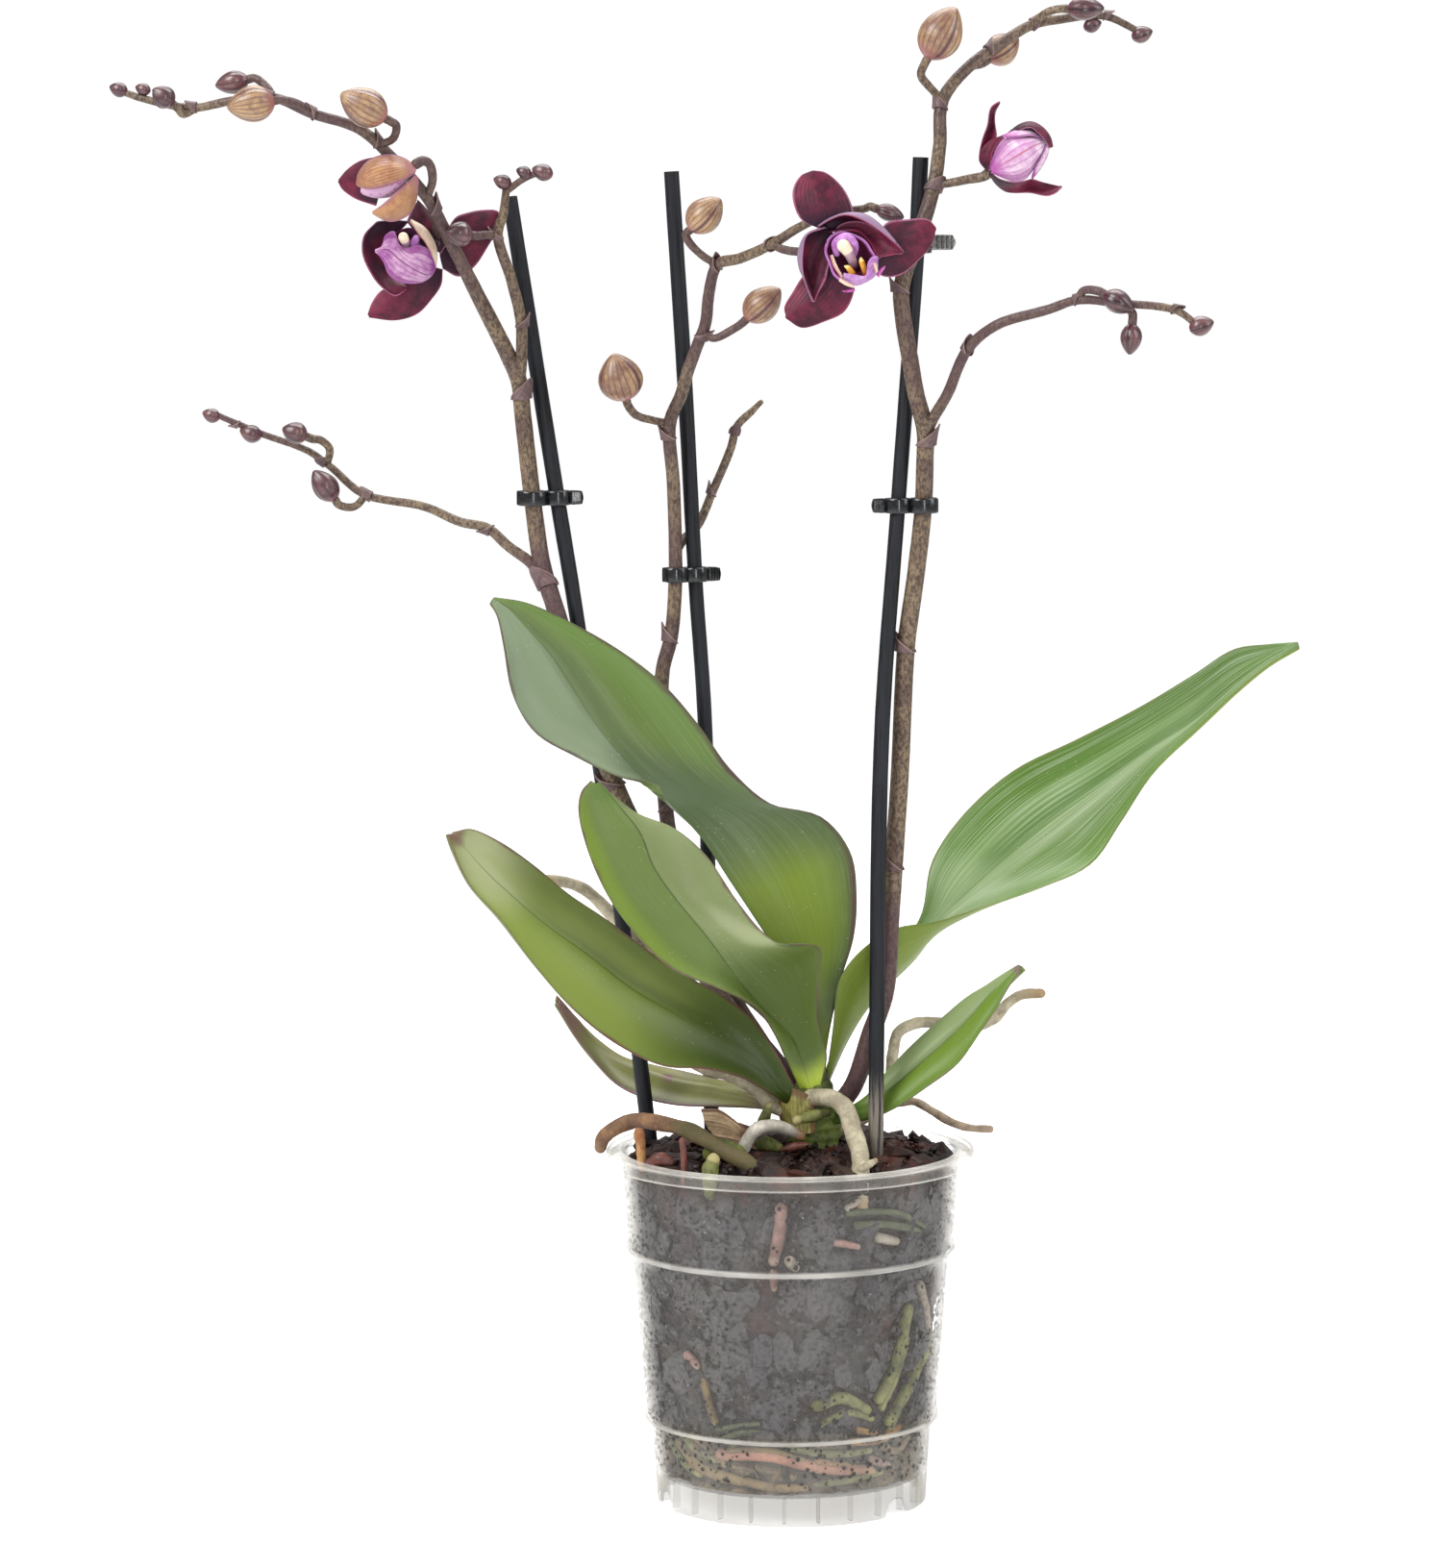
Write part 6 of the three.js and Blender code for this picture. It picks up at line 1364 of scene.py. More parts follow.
def bud_finish(name, dark, light, vein, blush, lines=18.0, gloss=0.34):
    def build(paint):
        spot = paint.place()
        along, around = paint.mark("along"), paint.mark("around")
        tone = use(paint, "mottle", "Colour", Vector=spot, Size=110.0, Dark=rgb(dark), Light=rgb(light))
        veins = use(paint, "veins", "Mask", Vector=spot, Across=around, Count=lines * 2 * math.pi, Waver=7.0, Start=0.1)
        tone = paint.mix(paint.math("MULTIPLY", veins, 0.55), tone, rgb(vein))
        tone = paint.mix(paint.step(along, 0.0, 0.32, 0.9, 0.0), tone, rgb(blush))
        seam = paint.step(paint.mark("seam"), 0.4, 0.9, 0.0, 0.85)
        tone = paint.mix(seam, tone, rgb(vein))
        return {"Base Color": tone, "Roughness": paint.step(veins, 0.0, 1.0, gloss, gloss + 0.15),
                "Normal": bumped(paint, veins, 0.25, 0.00012)}

    return material(name, build, Coat_Weight=0.15, Coat_Roughness=0.3)


def petal_finish(name, inner, edge, back, vein, count=44.0, gloss=0.48, edge_width=0.06, heart=None, rib=None,
                 lines=0.4, patch=120.0):
    """A petal: its face, its paler back, veins, edge, and a deeper heart or midrib where it has one; on the tepals the
    deeper heart is painted shade.
    """

    def build(paint):
        spot = paint.place()
        across, along, upper = paint.mark("across"), paint.mark("along"), paint.mark("upper")
        tone = use(paint, "mottle", "Colour", Vector=spot, Size=patch, Dark=rgb(inner[0]), Light=rgb(inner[1]))
        veins = use(paint, "veins", "Mask", Vector=spot, Across=across, Count=count, Waver=2.6, Start=0.1)
        tone = paint.mix(paint.math("MULTIPLY", veins, lines), tone, rgb(vein))
        if heart:
            # On the tepals this deeper tint towards the foot is painted shade round the flower's heart.
            tone = paint.mix(paint.step(along, heart[1], heart[2], 0.95, 0.0), tone, rgb(heart[0]))
        if rib:
            line = paint.step(paint.math("ABSOLUTE", across), 0.01, 0.05, rib[1], 0.0)
            tone = paint.mix(line, tone, rgb(rib[0]))
        rear = use(paint, "speckle", "Mask", Vector=spot, Size=700.0, Cover=0.4)
        behind = paint.mix(paint.math("MULTIPLY", rear, 0.6), rgb(back), rgb(vein))
        tone = paint.mix(paint.step(upper, 0.4, 0.6, 0.9, 0.0), tone, behind)
        margin = use(paint, "margin", "Mask", Vector=spot, Across=across, Width=edge_width)
        tone = paint.mix(paint.math("MULTIPLY", margin, 0.6), tone, rgb(edge))
        return {"Base Color": tone, "Roughness": paint.step(veins, 0.0, 1.0, gloss, gloss + 0.12),
                "Normal": bumped(paint, veins, 0.3, 0.00015)}

    return material(name, build, Sheen_Weight=0.04, Sheen_Roughness=0.4, Specular_IOR_Level=0.25, Subsurface_Weight=0.05,
                    Subsurface_Radius=(0.002, 0.001, 0.001))


def speck_finish(name, dark, light):
    def build(paint):
        return {"Base Color": paint.mix(paint.step(paint.noise(paint.place(), 160.0), 0.35, 0.65), rgb(dark), rgb(light)),
                "Roughness": paint.step(paint.noise(paint.place(), 500.0), 0.3, 0.7, 0.3, 0.6)}

    return material(name, build)


LOOKS = {}


def make_finishes():
    GROUPS.update(mottle=mottle_group(), speckle=speckle_group(), veins=vein_group(), margin=edge_group())
    LOOKS.update({
        "plastic": clear_plastic(),
        "bark": bark_finish(),
        "stem": stem_finish(),
        "bract": bract_finish(),
        "stick": stick_finish(),
        "clip": clip_finish("black clip plastic", "08090b", "15171b"),
        "clip_grey": clip_finish("grey clip plastic", "6e6e6c", "8f8e88"),
        # The crown's greens are its own dull olive darkened further with painted shade, for it sits in the shadow of
        # the leaves.
        "crown": root_finish("green crown", "3a4614", "66742a", "4c5626", "2a1e16", 0.5),
        "root_grey": root_finish("silvery root", "8c836e", "bdb39a", "8f7a5c", "5f4a30"),
        "root_rim": root_finish("rim root", "5c412e", "8a6645", "7e6044", "342016", foot="4c4826", reach=0.38),
        "root_tan": root_finish("tan root", "7d6a58", "a8957f", "a08a78", "5b4536"),
        "root_silver": root_finish("young root", "9c968a", "cdc6ba", "b08058", "7c7266", 0.3),
        "nub_green": root_finish("green nub", "3f451e", "72743a", "9a9060", "2c2614", 0.5),
        "nub_orange": root_finish("orange nub", "8a5630", "b88a58", "2c1c14", "4a2c1a", 0.5),
        "nub_red": root_finish("red nub", "4c261e", "6e3a2e", "4a241c", "2c140f", 0.4),
        "moss": root_finish("algae", "343a16", "686e2c", "5e6628", "1c180c", 0.7),
        "horn": root_finish("yellow horns", "c8781c", "e0a83a", "b4541c", "b8561e", 0.35, foot="ecd88c", reach=0.3),
        "hood": root_finish("lilac hood", "8c4890", "c48acb", "b070b4", "6c2a6c", 0.4),
        "cap": root_finish("cream cap", "8a5c78", "b898a8", "6a2440", "9a7088", 0.4, foot="ead9bc", reach=0.28),
        "wall_green": root_finish("green wall root", "4b4c2a", "787846", "80804c", "35342a", 0.5),
        "wall_pink": root_finish("pink wall root", "6e5049", "94736a", "8e7a6a", "503c36", 0.5),
        "wall_moss": root_finish("mossy wall root", "3c4230", "565c40", "4c5238", "2c2e24", 0.6),
        "wall_salmon": root_finish("salmon wall root", "8a5a48", "b07c66", "a48264", "604032", 0.45),
        "wall_pale": root_finish("pale wall root", "74695c", "a0968a", "8c8070", "544c44", 0.5),
        "wall_orange": root_finish("rusty wall root", "6a4a30", "9a7444", "86603c", "4a3424", 0.5),
        "wall_tan": root_finish("tan wall root", "5a4a30", "80693f", "7c6a44", "3a3026", 0.5),
        "sheath": sheath_finish("dry sheath", ("6c6a30", "9c9650"), "5f3e28"),
        "husk": sheath_finish("papery husk", ("7a6048", "b09878"), "5c3c28"),
        "bud_tan": bud_finish("tan bud", "745442", "a98a64", "4a2232", "8f5854", 20.0),
        "bud_maroon": bud_finish("maroon bud", "38202a", "6c4a4a", "240f18", "5a2c3a", 10.0, 0.24),
        "tepal": petal_finish(
            # The dark heart (260a20) is painted shade towards the flower's middle.
            "burgundy tepal", ("340a1e", "6e1d38"), "96385a", "86708a", "24061a", heart=("260a20", 0.1, 0.5),
            lines=0.14, patch=70.0,
        ),
        "petal": petal_finish("lavender petal", ("b888b0", "ecdce8"), "7c2a74", "b896b4", "94387e", 22.0,
                              edge_width=0.34, rib=("a8604a", 0.6), heart=("a04c94", 0.05, 0.3), patch=90.0),
        "tan_sepal": petal_finish("tan sepal", ("8a5c48", "b0845e"), "8a5476", "a8785a", "6a4038", 36.0, 0.34,
                                  0.2, heart=("94606c", 0.0, 0.25), lines=0.55),
        "lip": petal_finish("magenta lip", ("824080", "bf9cb6"), "762470", "a878a8", "7c2c78", 26.0,
                            edge_width=0.3, rib=("571848", 0.75), patch=90.0),
        "cup": petal_finish("lip cup", ("8c3c80", "a860a0"), "7c2a6c", "a070a8", "7c2a6c", 20.0,
                            heart=("470c26", 0.7, 0.9)),
        "lobe": petal_finish("lilac lobe", ("94609e", "bf9cc6"), "83387c", "b088b8", "83387c", 18.0),
        "cavity": petal_finish("dark throat", ("2c0a22", "4c1a3c"), "6c2c60", "4c1a3c", "1c0414", 14.0),
        "cream": petal_finish("cream slip", ("c8b098", "dccbb6"), "a54058", "e8dcc8", "d0a8a0", 14.0,
                              edge_width=0.16),
        "tip": petal_finish("magenta tips", ("a83c8c", "cc70b4"), "8c2474", "c060a8", "8c2474", 12.0),
        "grit_dark": speck_finish("dark grit", "070606", "120e0c"),
        "grit_pale": speck_finish("pale droplets", "8f9290", "b8bab6"),
    })
    LOOKS.update({name: leaf_finish(name.replace("_", " "), **look) for name, look in LEAF_LOOKS.items()})


# ---------------------------------------------------------------- the pot


def pot_profile():
    """The pot's section, as (radius, height, milkiness) from the floor round the wall and back."""
    wall, height, rim = POT["wall"], POT["height"], POT["rim"]
    foot, body, mist, band, lip, edge = 0.24, 0.045, 0.03, 0.42, 0.04, 0.3
    proud, tall = RIDGE["proud"], RIDGE["tall"]

    def tier(points, milk, steps, inset=0.0):
        (r0, z0), (r1, z1) = points
        return [(mix(r0, r1, t) - inset, mix(z0, z1, t), milk) for t in np.linspace(0, 1, steps)]

    def ridge(foot_of_tier, milk):
        radius, z = foot_of_tier
        return [(radius - 0.5, z - 0.9, milk), (radius + proud, z - 0.6, milk), (radius + proud + 0.15, z - 0.6 + tall / 2, milk),
                (radius + proud, z - 0.6 + tall, milk)]

    neck = TOP_TIER[1][0]
    outer = tier([FOOT_TIER[0], (mix(44, 46, 9.4 / 26.8), 9.4)], foot, 4)
    outer += tier([(mix(44, 46, 10.4 / 26.8), 10.4), FOOT_TIER[1]], body, 8)
    outer += ridge(MIDDLE_TIER[0], band) + tier([(47.7, 29), MIDDLE_TIER[1]], body, 14)
    outer += ridge(TOP_TIER[0], band) + tier([(53.3, 85), TOP_TIER[1]], body, 8)
    low = height - POT["rim_depth"]
    outer += [(neck, height - 1.9, lip), (neck + 0.5, height - 1.3, lip), (rim - 1.6, height - 1.2, lip),
              (rim - wall, height - 1.8, lip), (rim - wall, low + 0.6, lip), (rim - wall, low, edge), (rim - 0.3, low - 0.1, edge),
              (rim, low + 0.3, edge), (rim, low + 0.7, lip), (rim, height - 1.3, lip), (rim, height - 0.6, edge),
              (rim - 0.5, height, edge), (rim - 1.2, height, lip), (neck + 0.6, height, lip), (neck, height, edge),
              (neck - wall, height - 0.5, edge), (neck - wall, height - 1.6, lip)]
    inner = tier(TOP_TIER, mist, 8, wall)[::-1] + tier(MIDDLE_TIER, mist, 14, wall)[::-1]
    inner += tier([(mix(44, 46, 10.4 / 26.8), 10.4), FOOT_TIER[1]], 0.12, 8, wall)[::-1]
    start = FOOT_TIER[0][0] - wall
    inner += [(start - 1.5, 10.1, foot), (start - 8, 10.1, foot), (start - 8, 9, foot), (start - 0.4, 9, foot)]
    inner += [(start, 6, foot), (start, 3, foot), (start, 0, foot)]
    return outer + inner


def pot_wall(turns=144):
    """The thin wall, its two ridges, the rolled rim and the foot with its notches."""
    profile = pot_profile()
    angles = 2 * math.pi * np.arange(turns) / turns
    rings = []
    for turn in angles:
        away = np.array([math.sin(turn), -math.cos(turn), 0.0])
        lift = 0.0
        for notch in NOTCH["turns"]:
            off = abs((math.degrees(turn) - notch + 180) % 360 - 180) * math.radians(FOOT_TIER[0][0])
            half = NOTCH["width"] / 2
            lift = max(lift, NOTCH["top"] * (1 - min(max((off - 0.55 * half) / (0.45 * half), 0), 1)))
        rings.append([away * r + np.array([0, 0, z if z > 9 else lift + z * (1 - lift / 9)]) for r, z, _ in profile])
    rings = np.array(rings)
    count = len(profile)
    faces = []
    for i in range(turns):
        for j in range(count):
            a, b = i * count + j, i * count + (j + 1) % count
            c, d = ((i + 1) % turns) * count + (j + 1) % count, ((i + 1) % turns) * count + j
            faces.append((a, b, c, d))
    milk = np.tile([one[2] for one in profile], turns)
    shape = Shape().add(rings.reshape(-1, 3), faces, milk=milk)
    finish_shape("pot_wall", shape, LOOKS["plastic"], "pot_clear_plastic", replaces=("pot",), angle=50)


def pot_floor():
    """The floor plate with its drain holes."""
    radius = FOOT_TIER[0][0] - POT["wall"] - 7.5
    z0, z1 = POT["floor"] + 0.02, POT["floor"] + POT["floor_sheet"] - 0.02

    def disc(name, centre, size, low, high, sides):
        turn = 2 * math.pi * np.arange(sides) / sides
        ring = np.stack([centre[0] + size * np.cos(turn), centre[1] + size * np.sin(turn), np.zeros(sides)], 1)
        shape = Shape().skin([ring + (0, 0, low), ring + (0, 0, high)])
        data = shape.mesh(name)
        outwards(data)
        return add_object(name, data)

    plate = disc("plate", (0, 0), radius, z0, z1, 96)
    drills = []
    for k in range(DRAIN["count"]):
        turn = 2 * math.pi * k / DRAIN["count"]
        centre = (-DRAIN["ring"] * math.sin(turn), DRAIN["ring"] * math.cos(turn))
        drill = disc(f"drill_{k}", centre, DRAIN["radius"], z0 - 2, z1 + 2, 24)
        cut = plate.modifiers.new(drill.name, "BOOLEAN")
        cut.object = drill
        cut.operation = "DIFFERENCE"
        drills.append(drill)
    graph = bpy.context.evaluated_depsgraph_get()
    data = bpy.data.meshes.new_from_object(plate.evaluated_get(graph), depsgraph=graph)
    for thing in drills + [plate]:
        bpy.data.objects.remove(thing)
    data.attributes.new("milk", "FLOAT", "POINT").data.foreach_set("value", [0.42] * len(data.vertices))
    finish("pot_floor_plate", data, LOOKS["plastic"], "pot_clear_plastic")


def pot_ribs(tree):
    """Fine upright ribs inside the foot."""
    data = grow(bpy.data.meshes.new("ribs"), tree, {
        "Count": FOOT_RIBS["count"], "Ring radius": 43.1 - FOOT_RIBS["deep"] / 2, "Deep": float(FOOT_RIBS["deep"]),
        "Thick": FOOT_RIBS["thick"], "Tall": 8.2, "Material": LOOKS["plastic"],
    })
    data.transform(Matrix.Translation((0, 0, 4.9)) @ Matrix.Rotation(math.radians(-4), 4, "Z"))
    data.attributes.new("milk", "FLOAT", "POINT").data.foreach_set("value", [0.15] * len(data.vertices))
    finish("pot_foot_ribs", data, LOOKS["plastic"], "pot_clear_plastic", flat=True)


# ---------------------------------------------------------------- the bark

BARK = {"edge": 113.2, "heap": 5, "clear": 0.55}


def wall_root_points(points, radius, steps=28):
    placed = []
    for turn, height in points:
        reach = bore(height) - 0.55 - radius
        placed.append((reach * math.sin(math.radians(turn)), -reach * math.cos(math.radians(turn)), height))
    return smooth(placed, steps)


def all_wall_roots():
    return [(radius, wall_root_points(points, radius)) for radius, points in WALL_ROOTS.values()] + [
        (radius, wall_root_points(points, radius)) for radius, _, points in THIN_WALL_ROOTS
    ]


def bark_level(radius):
    return BARK["edge"] + BARK["heap"] * (1 - (radius / 54) ** 2)


def bark_core_shape(inset, drop):
    """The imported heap, drawn in from the wall and down from the top by the sizes given."""
    sides = 96
    heights = list(np.linspace(10.6, TOP_TIER[1][1] - 1, 44))
    turn = 2 * math.pi * np.arange(sides) / sides
    circle = np.stack([np.sin(turn), -np.cos(turn), np.zeros(sides)], 1)
    rings = [circle * (bore(z) - BARK["clear"] - inset) + (0, 0, z) for z in heights]
    for reach in np.linspace(1, 0.03, 24)[1:]:
        radius = (bore(BARK["edge"]) - BARK["clear"] - inset) * reach
        rings.append(circle * radius + (0, 0, bark_level(radius) - drop))
    return Shape().skin(rings)


def chip_shapes():
    """Broken, layered pieces of bark, each a rough slab a few millimetres across."""
    rng = np.random.default_rng(11)
    things = bpy.data.collections.new("chips")
    for k in range(5):
        long, wide, thick = rng.uniform(9, 15), rng.uniform(6, 9), rng.uniform(2.6, 4.4)
        levels = np.linspace(-0.5, 0.5, 6)
        corners = 8
        turn = 2 * math.pi * (np.arange(corners) + rng.uniform(-0.3, 0.3, corners)) / corners
        rings = []
        for level in levels:
            round_off = (1 - (2 * abs(level)) ** 4) ** 0.5 * 0.9 + 0.1
            y = 0.5 * wide * np.cos(turn) * round_off * rng.uniform(0.85, 1.1, corners)
            z = 0.5 * thick * np.sign(np.sin(turn)) * abs(np.sin(turn)) ** 0.5 * round_off * rng.uniform(0.8, 1.1, corners)
            rings.append(np.stack([np.full(corners, level * long) + rng.uniform(-0.6, 0.6, corners), y, z], 1))
        data = Shape().skin(rings).mesh(f"chip_{k}")
        outwards(data)
        chip = bpy.data.objects.new(f"chip_{k}", data)
        things.objects.link(chip)
    return things


def crumb_shapes(name, stretch, sides=5):
    rng = np.random.default_rng(5)
    things = bpy.data.collections.new(name)
    for k in range(3):
        turn = 2 * math.pi * np.arange(sides) / sides
        rings = []
        for level in (-0.8, 0, 0.8):
            size = math.sqrt(1 - level ** 2) * rng.uniform(0.8, 1.15, sides)
            rings.append(np.stack([size * np.cos(turn) * stretch[0], size * np.sin(turn) * stretch[1],
                                   np.full(sides, level * stretch[2])], 1))
        data = Shape().skin(rings).mesh(f"{name}_{k}")
        outwards(data)
        things.objects.link(bpy.data.objects.new(f"{name}_{k}", data))
    return things


def press_inside(data, roots, spare=0.0):
    """Keeps strewn bits inside the wall, and behind the roots that press against it."""
    points = np.empty(len(data.vertices) * 3)
    data.vertices.foreach_get("co", points)
    points = points.reshape(-1, 3)
    radius = np.hypot(points[:, 0], points[:, 1])
    limit = np.array([bore(min(max(z, 10.5), 111)) for z in points[:, 2]]) - BARK["clear"] - spare
    for size, line in roots:
        near = np.full(len(points), 1e9)
        reach = np.zeros(len(points))
        for spot in line:
            gap = np.hypot(np.hypot(points[:, 0] - spot[0], points[:, 1] - spot[1]) * 0.8, points[:, 2] - spot[2])
            closer = gap < near
            near[closer] = gap[closer]
            reach[closer] = math.hypot(spot[0], spot[1])
        limit = np.where(near < size + 1.9, np.minimum(limit, reach - 0.75 * size), limit)
    shrink = np.minimum(1, limit / np.maximum(radius, 1e-6))
    points[:, :2] *= shrink[:, None]
    points[:, 2] = np.maximum(points[:, 2], 10.3)
    data.vertices.foreach_set("co", points.ravel())
    data.update()


def bark(tree):
    roots = all_wall_roots()
    core = bark_core_shape(1.9, 2.5).mesh("bark_core")
    outwards(core)
    chips = grow(core.copy(), tree, {
        "Things": chip_shapes(), "Density": 0.013, "Seed": 4, "Smallest": 0.8, "Largest": 1.75, "Tilt": 0.5,
        "Sink": 0.6, "Patchiness": 0.0, "Patch size": 40.0, "Material": LOOKS["bark"],
    })
    press_inside(chips, roots)
    crumbs = grow(core.copy(), tree, {
        "Things": crumb_shapes("crumbs", (1.6, 1.1, 0.8)), "Density": 0.08, "Seed": 9, "Smallest": 0.4,
        "Largest": 1.3, "Tilt": 1.2, "Sink": 2.2, "Patchiness": 0.35, "Patch size": 30.0, "Material": LOOKS["bark"],
    })
    press_inside(crumbs, roots)
    press_inside(core, roots, 2.0)
    finish("bark_core", core, LOOKS["bark"], "bark", replaces=("bark",))
    finish("bark_chips", chips, LOOKS["bark"], "bark", flat=True)
    finish("bark_crumbs", crumbs, LOOKS["bark"], "bark", flat=True)


def grit(tree):
    """Dark specks and pale droplets that cling to the wall, inside its clear outer face."""
    sides = 72
    turn = 2 * math.pi * np.arange(sides) / sides
    circle = np.stack([np.sin(turn), -np.cos(turn), np.zeros(sides)], 1)
    rings = np.array([circle * (bore(z) + 0.4) + (0, 0, z) for z in np.linspace(12, 110, 40)])
    faces = []
    for i in range(len(rings) - 1):
        for j in range(sides):
            a, b = i * sides + j, i * sides + (j + 1) % sides
            faces.append((a, b, b + sides, a + sides))
    for name, look, density, small, large, patch, seed in (
        ("wall_grit", "grit_dark", 0.15, 0.25, 0.85, 0.45, 3), ("wall_droplets", "grit_pale", 0.03, 0.1, 0.24, 0.5, 8),
    ):
        surface = Shape().add(rings, faces).mesh(name)
        bits = grow(surface, tree, {
            "Things": crumb_shapes(name, (1, 1, 0.35), 6), "Density": density, "Seed": seed, "Smallest": small,
            "Largest": large, "Tilt": 0.1, "Sink": 0.0, "Patchiness": patch, "Patch size": 26.0,
            "Material": LOOKS[look],
        })
        finish(name, bits, LOOKS[look], "bark")


# ---------------------------------------------------------------- stems, sticks and roots


def tube_piece(name, tree, runs, look, slot, replaces=(), sides=16, bump=0.0, bump_size=4.0, seed=1.0, **options):
    data = grow(tube_lines(runs, name), tree, {
        "Sides": sides, "Bump height": float(bump), "Bump size": float(bump_size), "Seed": float(seed),
        "Material": LOOKS[look],
    })
    outwards(data)
    return finish(name, data, LOOKS[look], slot, replaces, **options)


def sticks(tree):
    for seed, (name, route) in enumerate(STICKS.items()):
        line = smooth(route, 60)
        sizes = np.full(len(line), STICK_RADIUS) * (1 + 0.03 * np.sin(np.linspace(0, 9 + seed, len(line))))
        tube_piece(f"{name}_cane", tree, [(line, sizes, "flat", "flat")], "stick", "stick", (name,), sides=20,
                   bump=0.18, bump_size=5.0, seed=seed)


def stalk_line(route, base, tip):
    end = np.array(base, dtype=float)
    axis = unit(np.array(tip) - end)
    return smooth([*route, tuple(end - 1.8 * axis), tuple(end + 0.6 * axis)], 16)


def stem_runs(name):
    runs = []
    for route, sizes in STEMS[name]:
        line = smooth(route, 5 * len(route))
        radius = read_along(sizes, np.linspace(0, 1, len(line)))
        runs.append((line, radius, "flat", "round"))
    for stem, route, base, tip, _, _ in BUDS.values():
        if stem == name:
            runs.append((stalk_line(route, base, tip), np.linspace(1.25, 1.45, 17), "round", "round"))
    for flower in HALF_OPEN.values():
        if flower["stem"] == name:
            line = stalk_line(flower["stalk"], flower["base"], flower["tip"])
            runs.append((line, np.linspace(1.3, 1.7, 17), "round", "round"))
    for flower in FLOWERS.values():
        if flower["stem"] == name:
            back = np.array(flower["at"]) - 3.2 * unit(flower["facing"])
            line = stalk_line(flower["stalk"], tuple(back), flower["at"])
            runs.append((line, np.linspace(1.3, 1.6, 17), "round", "round"))
    return runs


def nearest_on_stem(name, at):
    """The stem's centre, direction and radius where a bract clasps it."""
    best = None
    for route, sizes in STEMS[name]:
        line = smooth(route, 8 * len(route))
        radius = read_along(sizes, np.linspace(0, 1, len(line)))
        k = int(np.argmin(np.linalg.norm(line - np.array(at), axis=1)))
        gap = np.linalg.norm(line[k] - np.array(at))
        if best is None or gap < best[0]:
            ahead = unit(line[min(k + 1, len(line) - 1)] - line[max(k - 1, 0)])
            best = (gap, line[k], ahead, radius[k])
    return best[1:]


def bract_shape(shape, centre, stem_way, radius, facing, long):
    """A pointed scale that wraps the stem at its foot and stands free at its tip."""
    facing = unit(facing)
    stem_way = stem_way if np.dot(stem_way, facing) > 0 else -stem_way
    lean = facing - stem_way * np.dot(facing, stem_way)
    lean = unit(lean) if np.linalg.norm(lean) > 0.08 else unit(np.cross(stem_way, (0.3, 0.9, 0.1)))
    other = np.cross(stem_way, lean)
    rows, half = 14, 8
    across = np.linspace(-1, 1, 2 * half + 1)
    grid = []
    for t in np.linspace(0, 1, rows + 1):
        wrap = math.radians(mix(165, 12, t ** 0.8))
        reach = radius * mix(1.12, 1.3, t) + 0.25
        middle = centre + stem_way * (0.62 * long * (t - 0.22)) + lean * (0.07 * long * t ** 2)
        turn = across * wrap
        grid.append(middle + np.outer(reach * np.cos(turn), lean) + np.outer(reach * np.sin(turn), other))
    return sheet_shape(shape, np.array(grid), 0.45, across)


def sheet_shape(shape, grid, thickness, across, along=None, upper_way=None):
    """A thin closed sheet over a grid of points, with its edges rounded off."""
    rows, columns, _ = grid.shape
    down = np.gradient(grid, axis=0)
    over = np.gradient(grid, axis=1)
    normal = unit_rows(np.cross(down, over))
    thick = np.broadcast_to(np.asarray(thickness, dtype=float), (columns,))
    taper = np.sqrt(np.maximum(1 - np.abs(across) ** 10, 0.0))
    half = (thick * taper / 2)[None, :, None]
    above, below = grid + normal * half, grid - normal * half
    rings = np.concatenate([above, below[:, -2:0:-1]], axis=1)
    place = np.concatenate([across, across[-2:0:-1]])
    upper = np.concatenate([np.ones(columns), np.zeros(columns - 2)])
    if upper_way is not None and np.mean(normal @ np.asarray(upper_way, dtype=float)) < 0:
        upper = 1 - upper
    along = np.linspace(0, 1, rows) if along is None else along
    return shape.skin(rings, across=place[None, :], along=along[:, None], upper=upper[None, :])


def stems(tree):
    for seed, name in enumerate(STEMS):
        tube_piece(f"{name}_stem", tree, stem_runs(name), "stem", "stem", (name,), sides=18, bump=0.35,
                   bump_size=3.0, seed=seed)
        shape = Shape()
        for at, facing, long in BRACTS[name]:
            centre, way, radius = nearest_on_stem(name, at)
            bract_shape(shape, centre, way, radius, facing, long)
        finish_shape(f"{name}_bracts", shape, LOOKS["bract"], "stem", angle=60)


def root_profile(line, radius, seed, knobs):
    """A root's radius along its line, swelling and pinching unevenly."""
    rng = np.random.default_rng(seed)
    t = np.linspace(0, 1, len(line))
    swell = 1 + knobs * sum(math.sin(seed + k) * np.sin(2 * math.pi * (rng.uniform(1, 2.4) * k * t + rng.uniform()))
                            for k in (1, 2, 3, 5)) / 2
    return radius * read_along([(0, 1), (0.7, 0.95), (1, 0.8)], t) * swell


ROOT_LOOKS = {
    "root_rim_left": ("root_rim", 0.1), "root_grey": ("root_grey", 0.06), "root_hook": ("root_silver", 0.05),
    "root_under_leaf": ("root_grey", 0.08), "root_left_aerial": ("root_grey", 0.05),
    "root_right_arch": ("root_grey", 0.08), "root_rim_right": ("root_tan", 0.14),
}
WALL_ROOT_LOOKS = {
    "wall_root_vertical": "wall_pink", "wall_root_green_outer": "wall_green", "wall_root_green_inner": "wall_green",
    "wall_root_green_short": "wall_green", "wall_root_pink": "wall_salmon", "wall_root_olive": "wall_tan",
}


